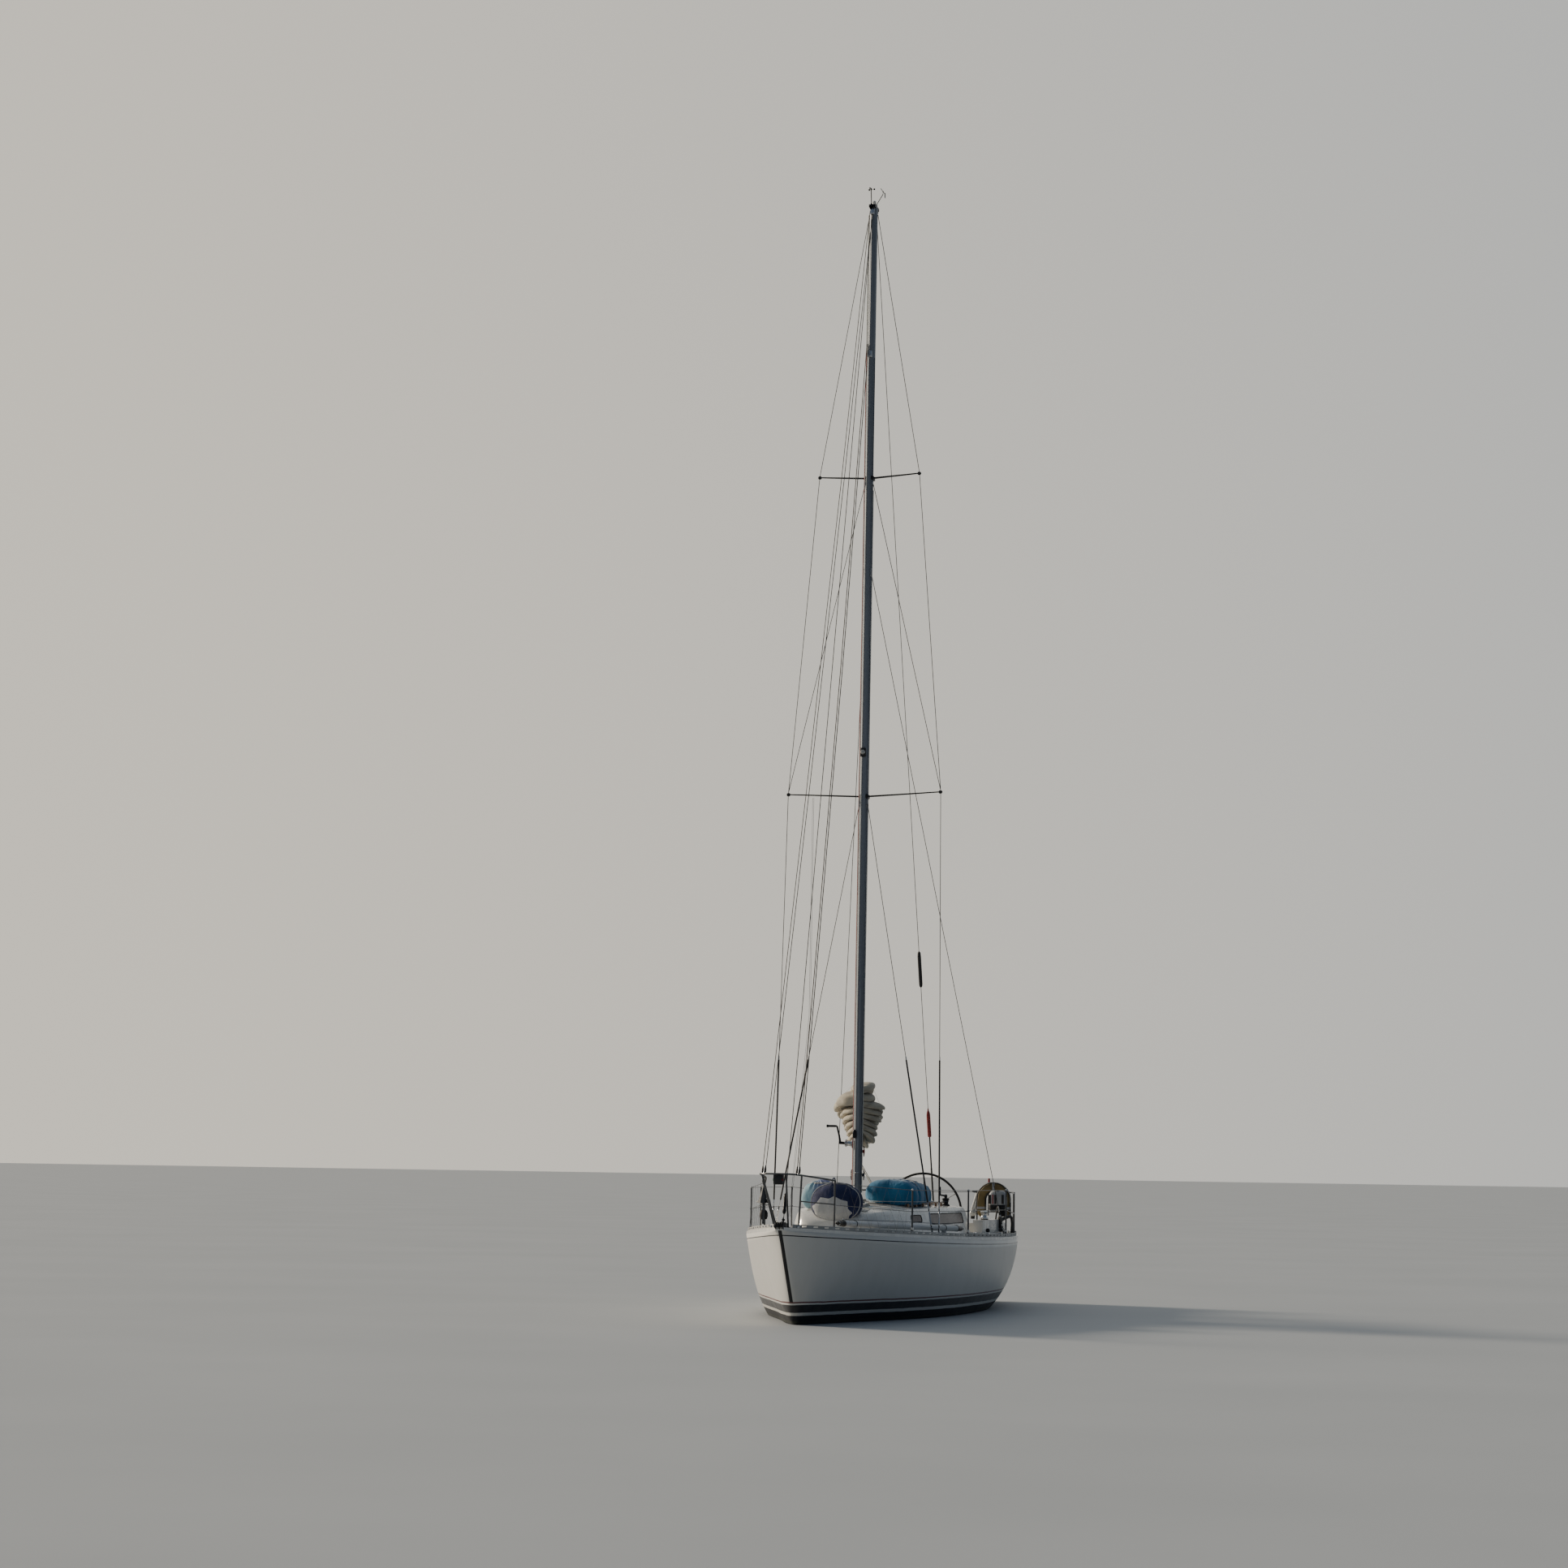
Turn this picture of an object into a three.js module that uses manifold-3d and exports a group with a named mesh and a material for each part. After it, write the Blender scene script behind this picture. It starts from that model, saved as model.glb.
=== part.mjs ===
// A ten-metre sailing yacht afloat: masthead sloop, two pairs of spreaders, fin keel, wheel steering.
// Millimetres. +X forward, +Y to port, +Z up. The origin is on the waterline, on the centreline, amidships.
import * as THREE from 'three';
import { mergeVertices } from 'three/addons/utils/BufferGeometryUtils.js';
import Module from 'manifold-3d';

const wasm = await Module();
wasm.setup();
const { Manifold, Mesh: SolidMesh } = wasm;

// Driving sizes
const deckLength = 10000;
const deckThickness = 40;
const camberRatio = 0.035;
const gap = 0.3;
const sternAft = 9750;
const sternSlope = 0.25;

// Places along the boat are given as "aft": the distance behind the stem head.
const xAt = (aft) => deckLength / 2 - aft;

// Hull lines by station. keel: height of the bottom line. bilge, side, shoulder: where the curve of the
// half section is pulled, as shares of the half beam (bilge, side) and of the depth (shoulder).
const hullColumns = ['aft', 'beam', 'keel', 'bilge', 'side', 'shoulder'];
const hullLines = [
  [853, 480, 0, 0.20, 0.55, 0.36],
  [1300, 680, -265, 0.25, 0.60, 0.38],
  [2000, 960, -375, 0.35, 0.72, 0.36],
  [2750, 1203, -425, 0.50, 0.84, 0.29],
  [3500, 1385, -460, 0.66, 0.92, 0.26],
  [4500, 1565, -492, 0.74, 0.96, 0.28],
  [5500, 1675, -500, 0.72, 0.97, 0.31],
  [6300, 1712, -485, 0.70, 0.97, 0.32],
  [7000, 1700, -445, 0.69, 0.97, 0.33],
  [7800, 1635, -345, 0.67, 0.96, 0.32],
  [8800, 1463, -120, 0.65, 0.95, 0.27],
  [9750, 1225, 100, 0.62, 0.94, 0.20],
];
const stemHeight = 1270;
const stemFoot = 853;
const bowLines = [
  [0, 45, 0, 0.20, 0.50, 0.42],
  [400, 260, 0, 0.20, 0.50, 0.38],
];

// Coachroof: half width at the deck, half width and height of the roof's edge.
const roofColumns = ['aft', 'base', 'roof', 'height'];
const roofLines = [
  [2720, 400, 330, 1262],
  [2800, 500, 430, 1345],
  [2950, 590, 515, 1420],
  [3200, 670, 590, 1450],
  [3800, 800, 715, 1470],
  [4500, 900, 812, 1485],
  [5500, 985, 895, 1492],
  [6500, 1010, 920, 1492],
  [7350, 1000, 910, 1490],
];
const roofCamber = 60;
const roofSkin = 35;
const coachroofFront = 2720;
const coachroofAft = 7350;

// Windows in the coachroof sides: from aft, to aft, lower and upper edge.
const windowTable = [
  { name: 'forward', from: 4150, to: 4600, low: 1300, high: 1395 },
  { name: 'main', from: 5000, to: 7000, low: 1265, high: 1410 },
];
const paneThickness = 10;

// Mast and standing rigging
const mastAft = 4230;
const mastRake = 0.0218;
const mastRakeFrom = 1440;
const mastheadHeight = 16200;
const mastLength = 170;
const mastWidth = 115;
const spreaderTable = [
  { name: 'lower', height: 7364, reach: 1131, rise: 50, root: 110, tip: 60 },
  { name: 'upper', height: 12083, reach: 752, rise: 45, root: 95, tip: 55 },
];
const capChainplate = { aft: 4150, out: 1205 };
const lowerChainplate = { aft: 4000, out: 1140 };
const runnerHeight = 10650;
const runnerFoot = { aft: 8300, out: 1330 };
const forestayAft = 200;
const backstayAft = 9500;
const wire = 5;
const thickWire = 14;

// Boom and sail
const goosenecks = { height: 2460, offset: 130 };
const boomAngle = 15;
const boomLength = 4300;
const boomDepth = 150;
const boomWidth = 100;

const sides = [
  { name: 'port', sign: 1 },
  { name: 'starboard', sign: -1 },
];

const finish = {
  gelcoat: { color: 0xe9e8e2, roughness: 0.25, metalness: 0 },
  deck: { color: 0xdcdad2, roughness: 0.6, metalness: 0 },
  castIron: { color: 0x23262b, roughness: 0.7, metalness: 0.2 },
  anodised: { color: 0x6c7074, roughness: 0.4, metalness: 0.8 },
  bronzeAnodised: { color: 0x3b3530, roughness: 0.45, metalness: 0.7 },
  stainless: { color: 0xb9bcc0, roughness: 0.25, metalness: 0.95 },
  black: { color: 0x17181a, roughness: 0.5, metalness: 0 },
  smokedGlass: { color: 0x2a201c, roughness: 0.1, metalness: 0 },
  sailcloth: { color: 0xd9d3bf, roughness: 0.85, metalness: 0 },
  navyCloth: { color: 0x2b3560, roughness: 0.8, metalness: 0 },
  turquoiseCloth: { color: 0x1f86a0, roughness: 0.8, metalness: 0 },
  tan: { color: 0xb88a3c, roughness: 0.7, metalness: 0 },
  enginePaint: { color: 0x6f7f78, roughness: 0.6, metalness: 0.1 },
  bronze: { color: 0x9a7a3c, roughness: 0.35, metalness: 0.9 },
  motorPaint: { color: 0xb3231f, roughness: 0.4, metalness: 0 },
};

const part = new THREE.Group();

// Solids from meshes and back
function solidFrom(geometry) {
  const bare = geometry.clone();
  bare.deleteAttribute('normal');
  bare.deleteAttribute('uv');
  const merged = mergeVertices(bare, 1e-4);
  const places = new Float32Array(merged.attributes.position.array);
  const corners = new Uint32Array(merged.index.array);
  return new Manifold(new SolidMesh({ numProp: 3, vertProperties: places, triVerts: corners }));
}

function geometryFrom(solid) {
  const mesh = solid.getMesh();
  const geometry = new THREE.BufferGeometry();
  geometry.setAttribute('position', new THREE.BufferAttribute(new Float32Array(mesh.vertProperties), 3));
  geometry.setIndex(new THREE.BufferAttribute(new Uint32Array(mesh.triVerts), 1));
  const flat = geometry.toNonIndexed();
  flat.computeVertexNormals();
  return flat;
}

function addPiece(name, solid, look) {
  const mesh = new THREE.Mesh(geometryFrom(solid), new THREE.MeshStandardMaterial(look));
  mesh.name = name;
  part.add(mesh);
  return mesh;
}

// A closed solid through rings of like point counts, in order.
function loft(rings) {
  const count = rings[0].length;
  const points = rings.flat();
  const places = new Float32Array(points.flatMap((point) => [point.x, point.y, point.z]));
  const corners = [];
  for (let row = 0; row + 1 < rings.length; row += 1) {
    for (let column = 0; column < count; column += 1) {
      const next = (column + 1) % count;
      const [a, b] = [row * count + column, row * count + next];
      const [c, d] = [a + count, b + count];
      corners.push(a, b, d, a, d, c);
    }
  }
  const lastStart = (rings.length - 1) * count;
  for (const [x, y, z] of capTriangles(rings[0])) {
    corners.push(z, y, x);
  }
  for (const [x, y, z] of capTriangles(rings[rings.length - 1])) {
    corners.push(lastStart + x, lastStart + y, lastStart + z);
  }
  const mesh = new SolidMesh({ numProp: 3, vertProperties: places, triVerts: new Uint32Array(corners) });
  mesh.merge();
  const solid = new Manifold(mesh);
  return solid.volume() > 0 ? solid : new Manifold(flipped(mesh));
}

function flipped(mesh) {
  const corners = Uint32Array.from(mesh.triVerts);
  for (let at = 0; at < corners.length; at += 3) {
    [corners[at], corners[at + 1]] = [corners[at + 1], corners[at]];
  }
  const turned = new SolidMesh({ numProp: 3, vertProperties: mesh.vertProperties, triVerts: corners });
  turned.merge();
  return turned;
}

// Triangles that fill a ring, turned to agree with the ring's own order.
function capTriangles(ring) {
  const normal = new THREE.Vector3();
  const centre = ring.reduce((sum, point) => sum.add(point), new THREE.Vector3()).divideScalar(ring.length);
  ring.forEach((point, index) => {
    const next = ring[(index + 1) % ring.length];
    normal.add(point.clone().sub(centre).cross(next.clone().sub(centre)));
  });
  normal.normalize();
  const across = new THREE.Vector3(1, 0, 0);
  if (Math.abs(normal.x) > 0.9) {
    across.set(0, 1, 0);
  }
  across.addScaledVector(normal, -across.dot(normal)).normalize();
  const up = normal.clone().cross(across);
  const flat = ring.map((point) => new THREE.Vector2(point.dot(across), point.dot(up)));
  return THREE.ShapeUtils.triangulateShape(flat, []);
}

// A box by its lowest and highest corners.
function box(low, high) {
  const size = [0, 1, 2].map((axis) => high[axis] - low[axis]);
  const middle = [0, 1, 2].map((axis) => (high[axis] + low[axis]) / 2);
  return solidFrom(new THREE.BoxGeometry(1, 1, 1)).scale(size).translate(middle);
}

// A box by stations, width out from the centreline and heights.
function boatBox(fromAft, toAft, lowY, highY, lowZ, highZ) {
  return box([xAt(toAft), lowY, lowZ], [xAt(fromAft), highY, highZ]);
}

function rounded(width, height, radius, steps = 3) {
  const corners = [[1, 1, 0], [-1, 1, 90], [-1, -1, 180], [1, -1, 270]];
  return corners.flatMap(([sx, sy, start]) => {
    return Array.from({ length: steps + 1 }, (unused, step) => {
      const angle = THREE.MathUtils.degToRad(start + (90 * step) / steps);
      const x = sx * (width / 2 - radius) + radius * Math.cos(angle);
      const y = sy * (height / 2 - radius) + radius * Math.sin(angle);
      return [x, y];
    });
  });
}

const vector = (x, y, z) => new THREE.Vector3(x, y, z);
const joined = (solids) => Manifold.union(solids);

// A round bar between two points.
function rod(from, to, radius, facets = 8, endRadius = radius) {
  const line = to.clone().sub(from);
  const turn = new THREE.Quaternion().setFromUnitVectors(vector(0, 0, 1), line.clone().normalize());
  const ring = (centre, size) => {
    return Array.from({ length: facets }, (unused, index) => {
      const angle = (2 * Math.PI * index) / facets;
      const spoke = vector(size * Math.cos(angle), size * Math.sin(angle), 0);
      return spoke.applyQuaternion(turn).add(centre);
    });
  };
  return loft([ring(from, radius), ring(to, endRadius)]);
}

// An upright round bar on the Z axis.
function upright(low, high, radius, facets, topRadius = radius) {
  return rod(vector(0, 0, low), vector(0, 0, high), radius, facets, topRadius);
}

// A bent tube through points, its corners mitred.
function tube(points, radius, facets = 8) {
  const rings = [];
  let side = null;
  points.forEach((point, index) => {
    const before = points[Math.max(index - 1, 0)];
    const after = points[Math.min(index + 1, points.length - 1)];
    const into = point.clone().sub(before).normalize();
    const out = after.clone().sub(point).normalize();
    const along = into.clone().add(out).normalize();
    if (side === null) {
      side = Math.abs(along.z) < 0.9 ? vector(0, 0, 1) : vector(0, 1, 0);
    }
    side.addScaledVector(along, -side.dot(along)).normalize();
    const other = along.clone().cross(side);
    const slant = index > 0 && index < points.length - 1 ? 1 / Math.max(0.5, into.dot(along)) : 1;
    const bend = out.clone().sub(into);
    const bent = bend.lengthSq() > 1e-9;
    const inPlane = bent ? bend.addScaledVector(along, -bend.dot(along)).normalize() : null;
    const ring = Array.from({ length: facets }, (unused, facet) => {
      const angle = (2 * Math.PI * facet) / facets;
      const spoke = side.clone().multiplyScalar(radius * Math.cos(angle));
      spoke.addScaledVector(other, radius * Math.sin(angle));
      if (inPlane) {
        spoke.addScaledVector(inPlane, spoke.dot(inPlane) * (slant - 1));
      }
      return spoke.add(point);
    });
    rings.push(ring);
  });
  return loft(rings);
}

// Points on a smooth curve through the given ones.
const smoothPath = (points, steps) => {
  return new THREE.CatmullRomCurve3(points, false, 'centripetal').getPoints(steps);
};

// Value of one column of a table at a station, on a smooth curve through the rows.
function lineValue(rows, column, aft) {
  const last = rows.length - 1;
  if (aft <= rows[0][0]) {
    return rows[0][column];
  }
  if (aft >= rows[last][0]) {
    return rows[last][column];
  }
  const at = rows.findIndex((row) => row[0] > aft) - 1;
  const slope = (index) => {
    const low = rows[Math.max(index - 1, 0)];
    const high = rows[Math.min(index + 1, last)];
    return (high[column] - low[column]) / (high[0] - low[0]);
  };
  const span = rows[at + 1][0] - rows[at][0];
  const t = (aft - rows[at][0]) / span;
  const [p, q] = [rows[at][column], rows[at + 1][column]];
  const [m, n] = [slope(at) * span, slope(at + 1) * span];
  const cubic = (2 * p - 2 * q + m + n) * t ** 3 + (3 * q - 3 * p - 2 * m - n) * t ** 2;
  return cubic + m * t + p;
}

function hullValue(name, aft) {
  const column = hullColumns.indexOf(name);
  if (name === 'keel' && aft < stemFoot) {
    return stemHeight * (1 - aft / stemFoot);
  }
  return lineValue([...bowLines, ...hullLines], column, aft);
}

const roofValue = (name, aft) => lineValue(roofLines, roofColumns.indexOf(name), aft);

// Height of the deck's edge: it falls from the bow to its lowest point and rises a little to the stern.
function sheer(aft) {
  const lowest = 7800;
  const ahead = (lowest - aft) / lowest;
  const behind = (aft - lowest) / (sternAft - lowest);
  return aft < lowest ? 1070 + 200 * ahead ** 2 : 1070 + 12 * behind ** 2;
}

function deckTop(aft, y) {
  const beam = hullValue('beam', aft);
  return sheer(aft) + camberRatio * beam * (1 - Math.min(1, (y / beam) ** 2));
}

function roofTop(aft, y) {
  const edge = roofValue('roof', aft);
  return roofValue('height', aft) + roofCamber * (1 - (y / edge) ** 2);
}

// One closed section of the hull, from the keel up the port side and down the starboard one.
function hullRing(aft, inset = 0, lid = -deckThickness) {
  const beam = hullValue('beam', aft) - inset;
  const bottom = hullValue('keel', aft) + inset;
  const top = sheer(aft) + lid;
  const height = top - bottom;
  const curve = new THREE.CubicBezierCurve(
    new THREE.Vector2(0, bottom),
    new THREE.Vector2(hullValue('bilge', aft) * beam, bottom),
    new THREE.Vector2(hullValue('side', aft) * beam, bottom + hullValue('shoulder', aft) * height),
    new THREE.Vector2(beam, top),
  );
  const half = curve.getPoints(12);
  const blend = Math.max(0, (aft - 8800) / (sternAft - 8800));
  const slope = sternSlope * blend ** 2;
  const place = (y, z) => vector(xAt(aft) - slope * (top - z), y, z);
  const port = half.map((point) => place(point.x, point.y));
  const starboard = half.slice(1).reverse().map((point) => place(-point.x, point.y));
  return [...port, ...starboard];
}

const hullStations = [45, 150, 400, 620, 853, 1050, 1300, 1650, 2000, 2400, 2800, 3250, 3700, 4200, 4700, 5200,
  5700, 6200, 6700, 7200, 7700, 8200, 8700, 9100, 9450, 9750];

function hullForm(inset = 0, lid = -deckThickness, stations = hullStations) {
  return loft(stations.map((aft) => hullRing(aft, inset, lid)));
}

// The deck as a slab between the hull's top and the cambered deck surface, or up to a lid above it.
function deckRing(aft, under, over) {
  const beam = hullValue('beam', aft);
  const shares = [1, 0.8, 0.55, 0.28, 0, -0.28, -0.55, -0.8, -1];
  const lower = [vector(xAt(aft), -beam, under(aft)), vector(xAt(aft), beam, under(aft))];
  const upper = shares.map((share) => vector(xAt(aft), share * beam, over + deckTop(aft, share * beam)));
  return [...lower, ...upper];
}

const deckStations = [15, ...hullStations];
const deckUnder = (aft) => sheer(aft) - deckThickness + gap;
const deckForm = (over = 0, under = deckUnder) => {
  return loft(deckStations.map((aft) => deckRing(aft, under, over)));
};
// Everything below the deck's surface, a hair above it, to trim what stands on the deck.
const deckGround = deckForm(gap, () => -900);

// One closed section of the coachroof.
function roofRing(aft, skin, foot) {
  const base = roofValue('base', aft) - skin;
  const edge = roofValue('roof', aft) - skin;
  const height = roofValue('height', aft) - skin;
  const slope = (base - edge) / (height - 1150);
  const half = [
    [base + slope * (1150 - foot), foot],
    [edge + slope * 60, height - 60],
    [edge - 4, height - 26],
    [edge - 22, height - 4],
    [edge - 55, height + 5],
    [edge * 0.62, height + roofCamber * (1 - 0.62 ** 2)],
    [edge * 0.3, height + roofCamber * (1 - 0.3 ** 2)],
  ];
  const port = half.map(([y, z]) => vector(xAt(aft), y, z));
  const starboard = [...half].reverse().map(([y, z]) => vector(xAt(aft), -y, z));
  return [...port, vector(xAt(aft), 0, height + roofCamber), ...starboard];
}

const roofStations = [coachroofFront, 2760, 2800, 2870, 2950, 3060, 3200, 3500, 3800, 4150, 4500, 5000, 5500,
  6000, 6500, 7000, coachroofAft];

function roofForm(skin = 0, foot = 1000, frontCut = 0, aftCut = 0) {
  const stations = roofStations.map((aft, index) => {
    const share = index / (roofStations.length - 1);
    return { aft, moved: aft + frontCut * (1 - share) - aftCut * share };
  });
  return loft(stations.map(({ aft, moved }) => {
    return roofRing(aft, skin, foot).map((point) => vector(xAt(moved), point.y, point.z));
  }));
}

const roofGround = roofForm(-gap, 1000, -gap, -gap);

// Hull, hollow at its cabin, its lockers, round the cockpit and for the engine, the drive leg and the stock
const cabin = { from: 3050, to: 7300, sole: -280, skin: 70 };
const well = { from: 7360, to: 9330, half: 420, sole: 400, wall: 30 };
const seat = { half: 1020, height: 800 };
const lockerLid = { from: 7560, to: 8360, near: 480, far: 940, thickness: 16, rebate: 40 };
const anchorLocker = { from: 480, to: 1180, skin: 45, bottom: 760, rebate: 40 };
const lockerFloor = 340;
const engineRoom = { from: 7250, to: 7800, half: 300, top: 400 };
const leg = { aft: 7560, length: 230, width: 76, depth: 930 };
const stock = { aft: 9000, radius: 30, top: 240, clearance: 0.6 };

function makeHull() {
  const body = hullForm();
  const inner = hullForm(cabin.skin, 60, hullStations.filter((aft) => aft >= 2800 && aft <= 9450));
  const cabinBox = boatBox(cabin.from, cabin.to, -1700, 1700, cabin.sole, 1400);
  const sternBox = boatBox(well.from - gap, well.to + well.wall + gap, -1700, 1700, lockerFloor, 1400);
  const engineBay = boatBox(engineRoom.from, engineRoom.to, -engineRoom.half, engineRoom.half,
    cabin.sole, engineRoom.top);
  const bow = hullForm(anchorLocker.skin, 60, hullStations.filter((aft) => aft >= 400 && aft <= 1300));
  const bowBox = boatBox(anchorLocker.from, anchorLocker.to, -600, 600, anchorLocker.bottom, 1400);
  const legHole = legForm(gap);
  const stockTop = stock.top + gap;
  const stockHole = upright(stockTop - 2000, stockTop, stock.radius + stock.clearance, 24)
    .translate([xAt(stock.aft), 0, 0]);
  const rooms = [inner.intersect(joined([cabinBox, sternBox])), bow.intersect(bowBox), engineBay];
  return body.subtract(joined([...rooms, legHole, stockHole]));
}

function anchorRoom(bottom) {
  const { rebate } = anchorLocker;
  const half = anchorLid.half - rebate;
  return boatBox(anchorLid.from + rebate, anchorLid.to - rebate, -half, half, bottom, 1400);
}

function seatLocker(side, bottom) {
  const { from, to, near, far, rebate } = lockerLid;
  const [low, high] = side.sign > 0 ? [near + rebate, far - rebate] : [rebate - far, -near - rebate];
  return boatBox(from + rebate, to - rebate, low, high, bottom, seat.height + 10);
}

function legForm(grow) {
  const outline = foil(leg.length + 2 * grow, leg.width + 2 * grow, 10);
  return prism(outline, -leg.depth, cabin.sole + 50).translate([xAt(leg.aft), 0, 0]);
}

// A streamlined outline, its nose forward, its length centred on zero.
function foil(length, thickness, count) {
  const half = Array.from({ length: count + 1 }, (unused, index) => {
    const t = (1 - Math.cos((Math.PI * index) / count)) / 2;
    const y = 5 * (0.2969 * Math.sqrt(t) - 0.126 * t - 0.3516 * t ** 2 + 0.2843 * t ** 3 - 0.1036 * t ** 4);
    return [length / 2 - t * length, y * thickness];
  });
  const back = half.slice(1, -1).reverse().map(([x, y]) => [x, -y]);
  return [...half.slice(0, -1), [-length / 2, 0], ...back];
}

// An upright prism over an outline in X and Y.
function prism(outline, low, high) {
  return loft([low, high].map((z) => outline.map(([x, y]) => vector(x, y, z))));
}

// A prism along Y over an outline in X and Z.
function crossPrism(outline, lowY, highY) {
  return loft([lowY, highY].map((y) => outline.map(([x, z]) => vector(x, y, z))));
}

const foreHatch = { from: 3330, to: 3850, half: 265, thickness: 26 };
const anchorLid = { from: 560, to: 1060, half: 170, thickness: 14 };
const slideHatch = { from: 6560, to: 7390, half: 350, slot: 300, thickness: 30, runner: 1556, travel: 560 };

function makeDeck() {
  const slab = deckForm();
  const opening = roofForm(60, 800, 240, 70).intersect(box([-9000, -2000, 800], [9000, 2000, 1240]));
  const tub = seat.half + well.wall + gap;
  const cockpit = boatBox(well.from - gap, well.to + well.wall + gap, -tub, tub, 800, 1400);
  return slab.subtract(joined([opening, cockpit, anchorRoom(1000)]));
}

function makeCoachroof() {
  const { from, half, runner, travel } = slideHatch;
  const runners = sides.map(({ sign }) => {
    const [near, far] = [sign * (half - 34), sign * (half - 16)];
    const [low, high] = [Math.min(near, far), Math.max(near, far)];
    return boatBox(from - travel - 40, coachroofAft, low, high, 1520, runner);
  });
  const shell = joined([roofForm(), ...runners]).subtract(roofForm(roofSkin, 900, 45, roofSkin));
  const cuts = [deckGround];
  cuts.push(...windowTable.flatMap((row) => sides.map((side) => windowPrism(row, side, 0))));
  cuts.push(boatBox(slideHatch.from + 60, 7500, -slideHatch.slot, slideHatch.slot, 900, 1700));
  const rebate = 30;
  const hatchHalf = foreHatch.half - rebate;
  cuts.push(boatBox(foreHatch.from + rebate, foreHatch.to - rebate, -hatchHalf, hatchHalf, 1300, 1700));
  return shell.subtract(joined(cuts));
}

function windowPrism(row, side, shrink) {
  const width = row.to - row.from - 2 * shrink;
  const height = row.high - row.low - 2 * shrink;
  const outline = rounded(width, height, 45).map(([x, z]) => {
    return [x + xAt((row.from + row.to) / 2), z + (row.low + row.high) / 2];
  });
  const [low, high] = side.sign > 0 ? [300, 1300] : [-1300, -300];
  return crossPrism(outline, low, high);
}

function makePane(row, side) {
  const skin = roofForm().subtract(roofForm(paneThickness, 900, 0, 0));
  return skin.intersect(windowPrism(row, side, gap));
}

// Cockpit moulding: seats, foot well and the coamings that stand on the deck
const coaming = { out: 1170, height: 1300, aftHeight: 1220 };

function makeCockpit() {
  const [from, to] = [well.from, well.to + well.wall];
  const seatOuter = seat.half + well.wall;
  const wellOuter = well.half + well.wall;
  const tub = joined([
    boatBox(from, to, -wellOuter, wellOuter, well.sole - well.wall, 1150),
    boatBox(from, to, -seatOuter, seatOuter, seat.height - well.wall, 1150),
  ]);
  const above = deckForm(400, (aft) => sheer(aft) - 5);
  const profile = [[xAt(from), 1000], [xAt(from), coaming.height], [xAt(8900), coaming.height],
    [xAt(to), coaming.aftHeight], [xAt(to), 1000]];
  const rim = crossPrism(profile, -coaming.out, coaming.out).intersect(above).subtract(deckGround);
  const room = joined([
    boatBox(from + well.wall, well.to, -well.half, well.half, well.sole, 1500),
    boatBox(from + well.wall, well.to, -seat.half, seat.half, seat.height, 1500),
  ]);
  const frontGap = boatBox(from - 50, from + 120, -1400, 1400, 1120, 1500);
  const lockers = sides.map((side) => seatLocker(side, seat.height - well.wall - 10));
  return joined([tub, rim]).subtract(joined([room, frontGap, ...lockers]));
}

// Toe rail: a slotted strip along the deck's edge
const toeRail = { inset: 22, thickness: 10, height: 45, from: 200, to: 9650 };
const railSlots = { every: 200, length: 90, height: 18, foot: 16, ends: 150 };

function makeToeRail(side) {
  const stations = hullStations.filter((aft) => aft > toeRail.from && aft < toeRail.to);
  const rings = [toeRail.from, ...stations, toeRail.to].map((aft) => {
    const outer = hullValue('beam', aft) - toeRail.inset;
    const inner = outer - toeRail.thickness;
    const foot = deckTop(aft, inner) + gap;
    const top = foot + toeRail.height;
    const corners = [[outer, foot], [outer, top], [inner, top], [inner, foot]];
    return corners.map(([y, z]) => vector(xAt(aft), side.sign * y, z));
  });
  const strip = loft(rings).subtract(deckGround);
  const slots = [];
  for (let aft = toeRail.from + railSlots.ends; aft < toeRail.to - railSlots.ends; aft += railSlots.every) {
    const y = side.sign * (hullValue('beam', aft) - toeRail.inset);
    const low = sheer(aft) + railSlots.foot;
    slots.push(boatBox(aft, aft + railSlots.length, y - 60, y + 60, low, low + railSlots.height));
  }
  return strip.subtract(joined(slots));
}

// Keel: a tapered fin with a bulb
const fin = { topAft: 4850, topLength: 1750, tipAft: 5050, tipLength: 1100, top: -420, tip: -1700 };
const bulb = { aft: 5080, length: 1700, radius: 150, height: -1690 };

function makeKeel(hull) {
  const section = (aft, length, thickness, z) => {
    return foil(length, thickness, 8).map(([x, y]) => vector(xAt(aft) + x, y, z));
  };
  const blade = loft([
    section(fin.topAft, fin.topLength, 190, fin.top),
    section(fin.tipAft, fin.tipLength, 130, fin.tip),
  ]);
  const profile = foil(bulb.length, 2 * bulb.radius, 10).filter(([, y]) => y >= 0);
  const turned = profile.map(([x, y]) => new THREE.Vector2(Math.max(y, 0), x));
  turned[0].x = 0;
  turned[turned.length - 1].x = 0;
  const body = solidFrom(new THREE.LatheGeometry(turned.reverse(), 14));
  const lead = body.rotate([0, 0, -90]).scale([1, 1, 0.8]).translate([xAt(bulb.aft), 0, bulb.height]);
  const grown = joined([hull, hull.translate([0, 0, -gap])]);
  return joined([blade, lead]).subtract(grown);
}

function makeEngine() {
  const block = boatBox(6950, 7650, -240, 240, cabin.sole + gap, 220);
  const strut = legForm(0);
  const pod = rod(vector(xAt(7440), 0, -leg.depth), vector(xAt(7700), 0, -leg.depth), 60, 12, 50);
  const nose = rod(vector(xAt(7380), 0, -leg.depth), vector(xAt(7440), 0, -leg.depth), 20, 12, 60);
  return joined([block, strut, pod, nose]);
}

// Propeller: hub, boss and three blades, turning about a fore-and-aft axis
const propeller = { from: 7700.4, length: 110, hub: 46, radius: 210, blades: 3 };

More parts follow.
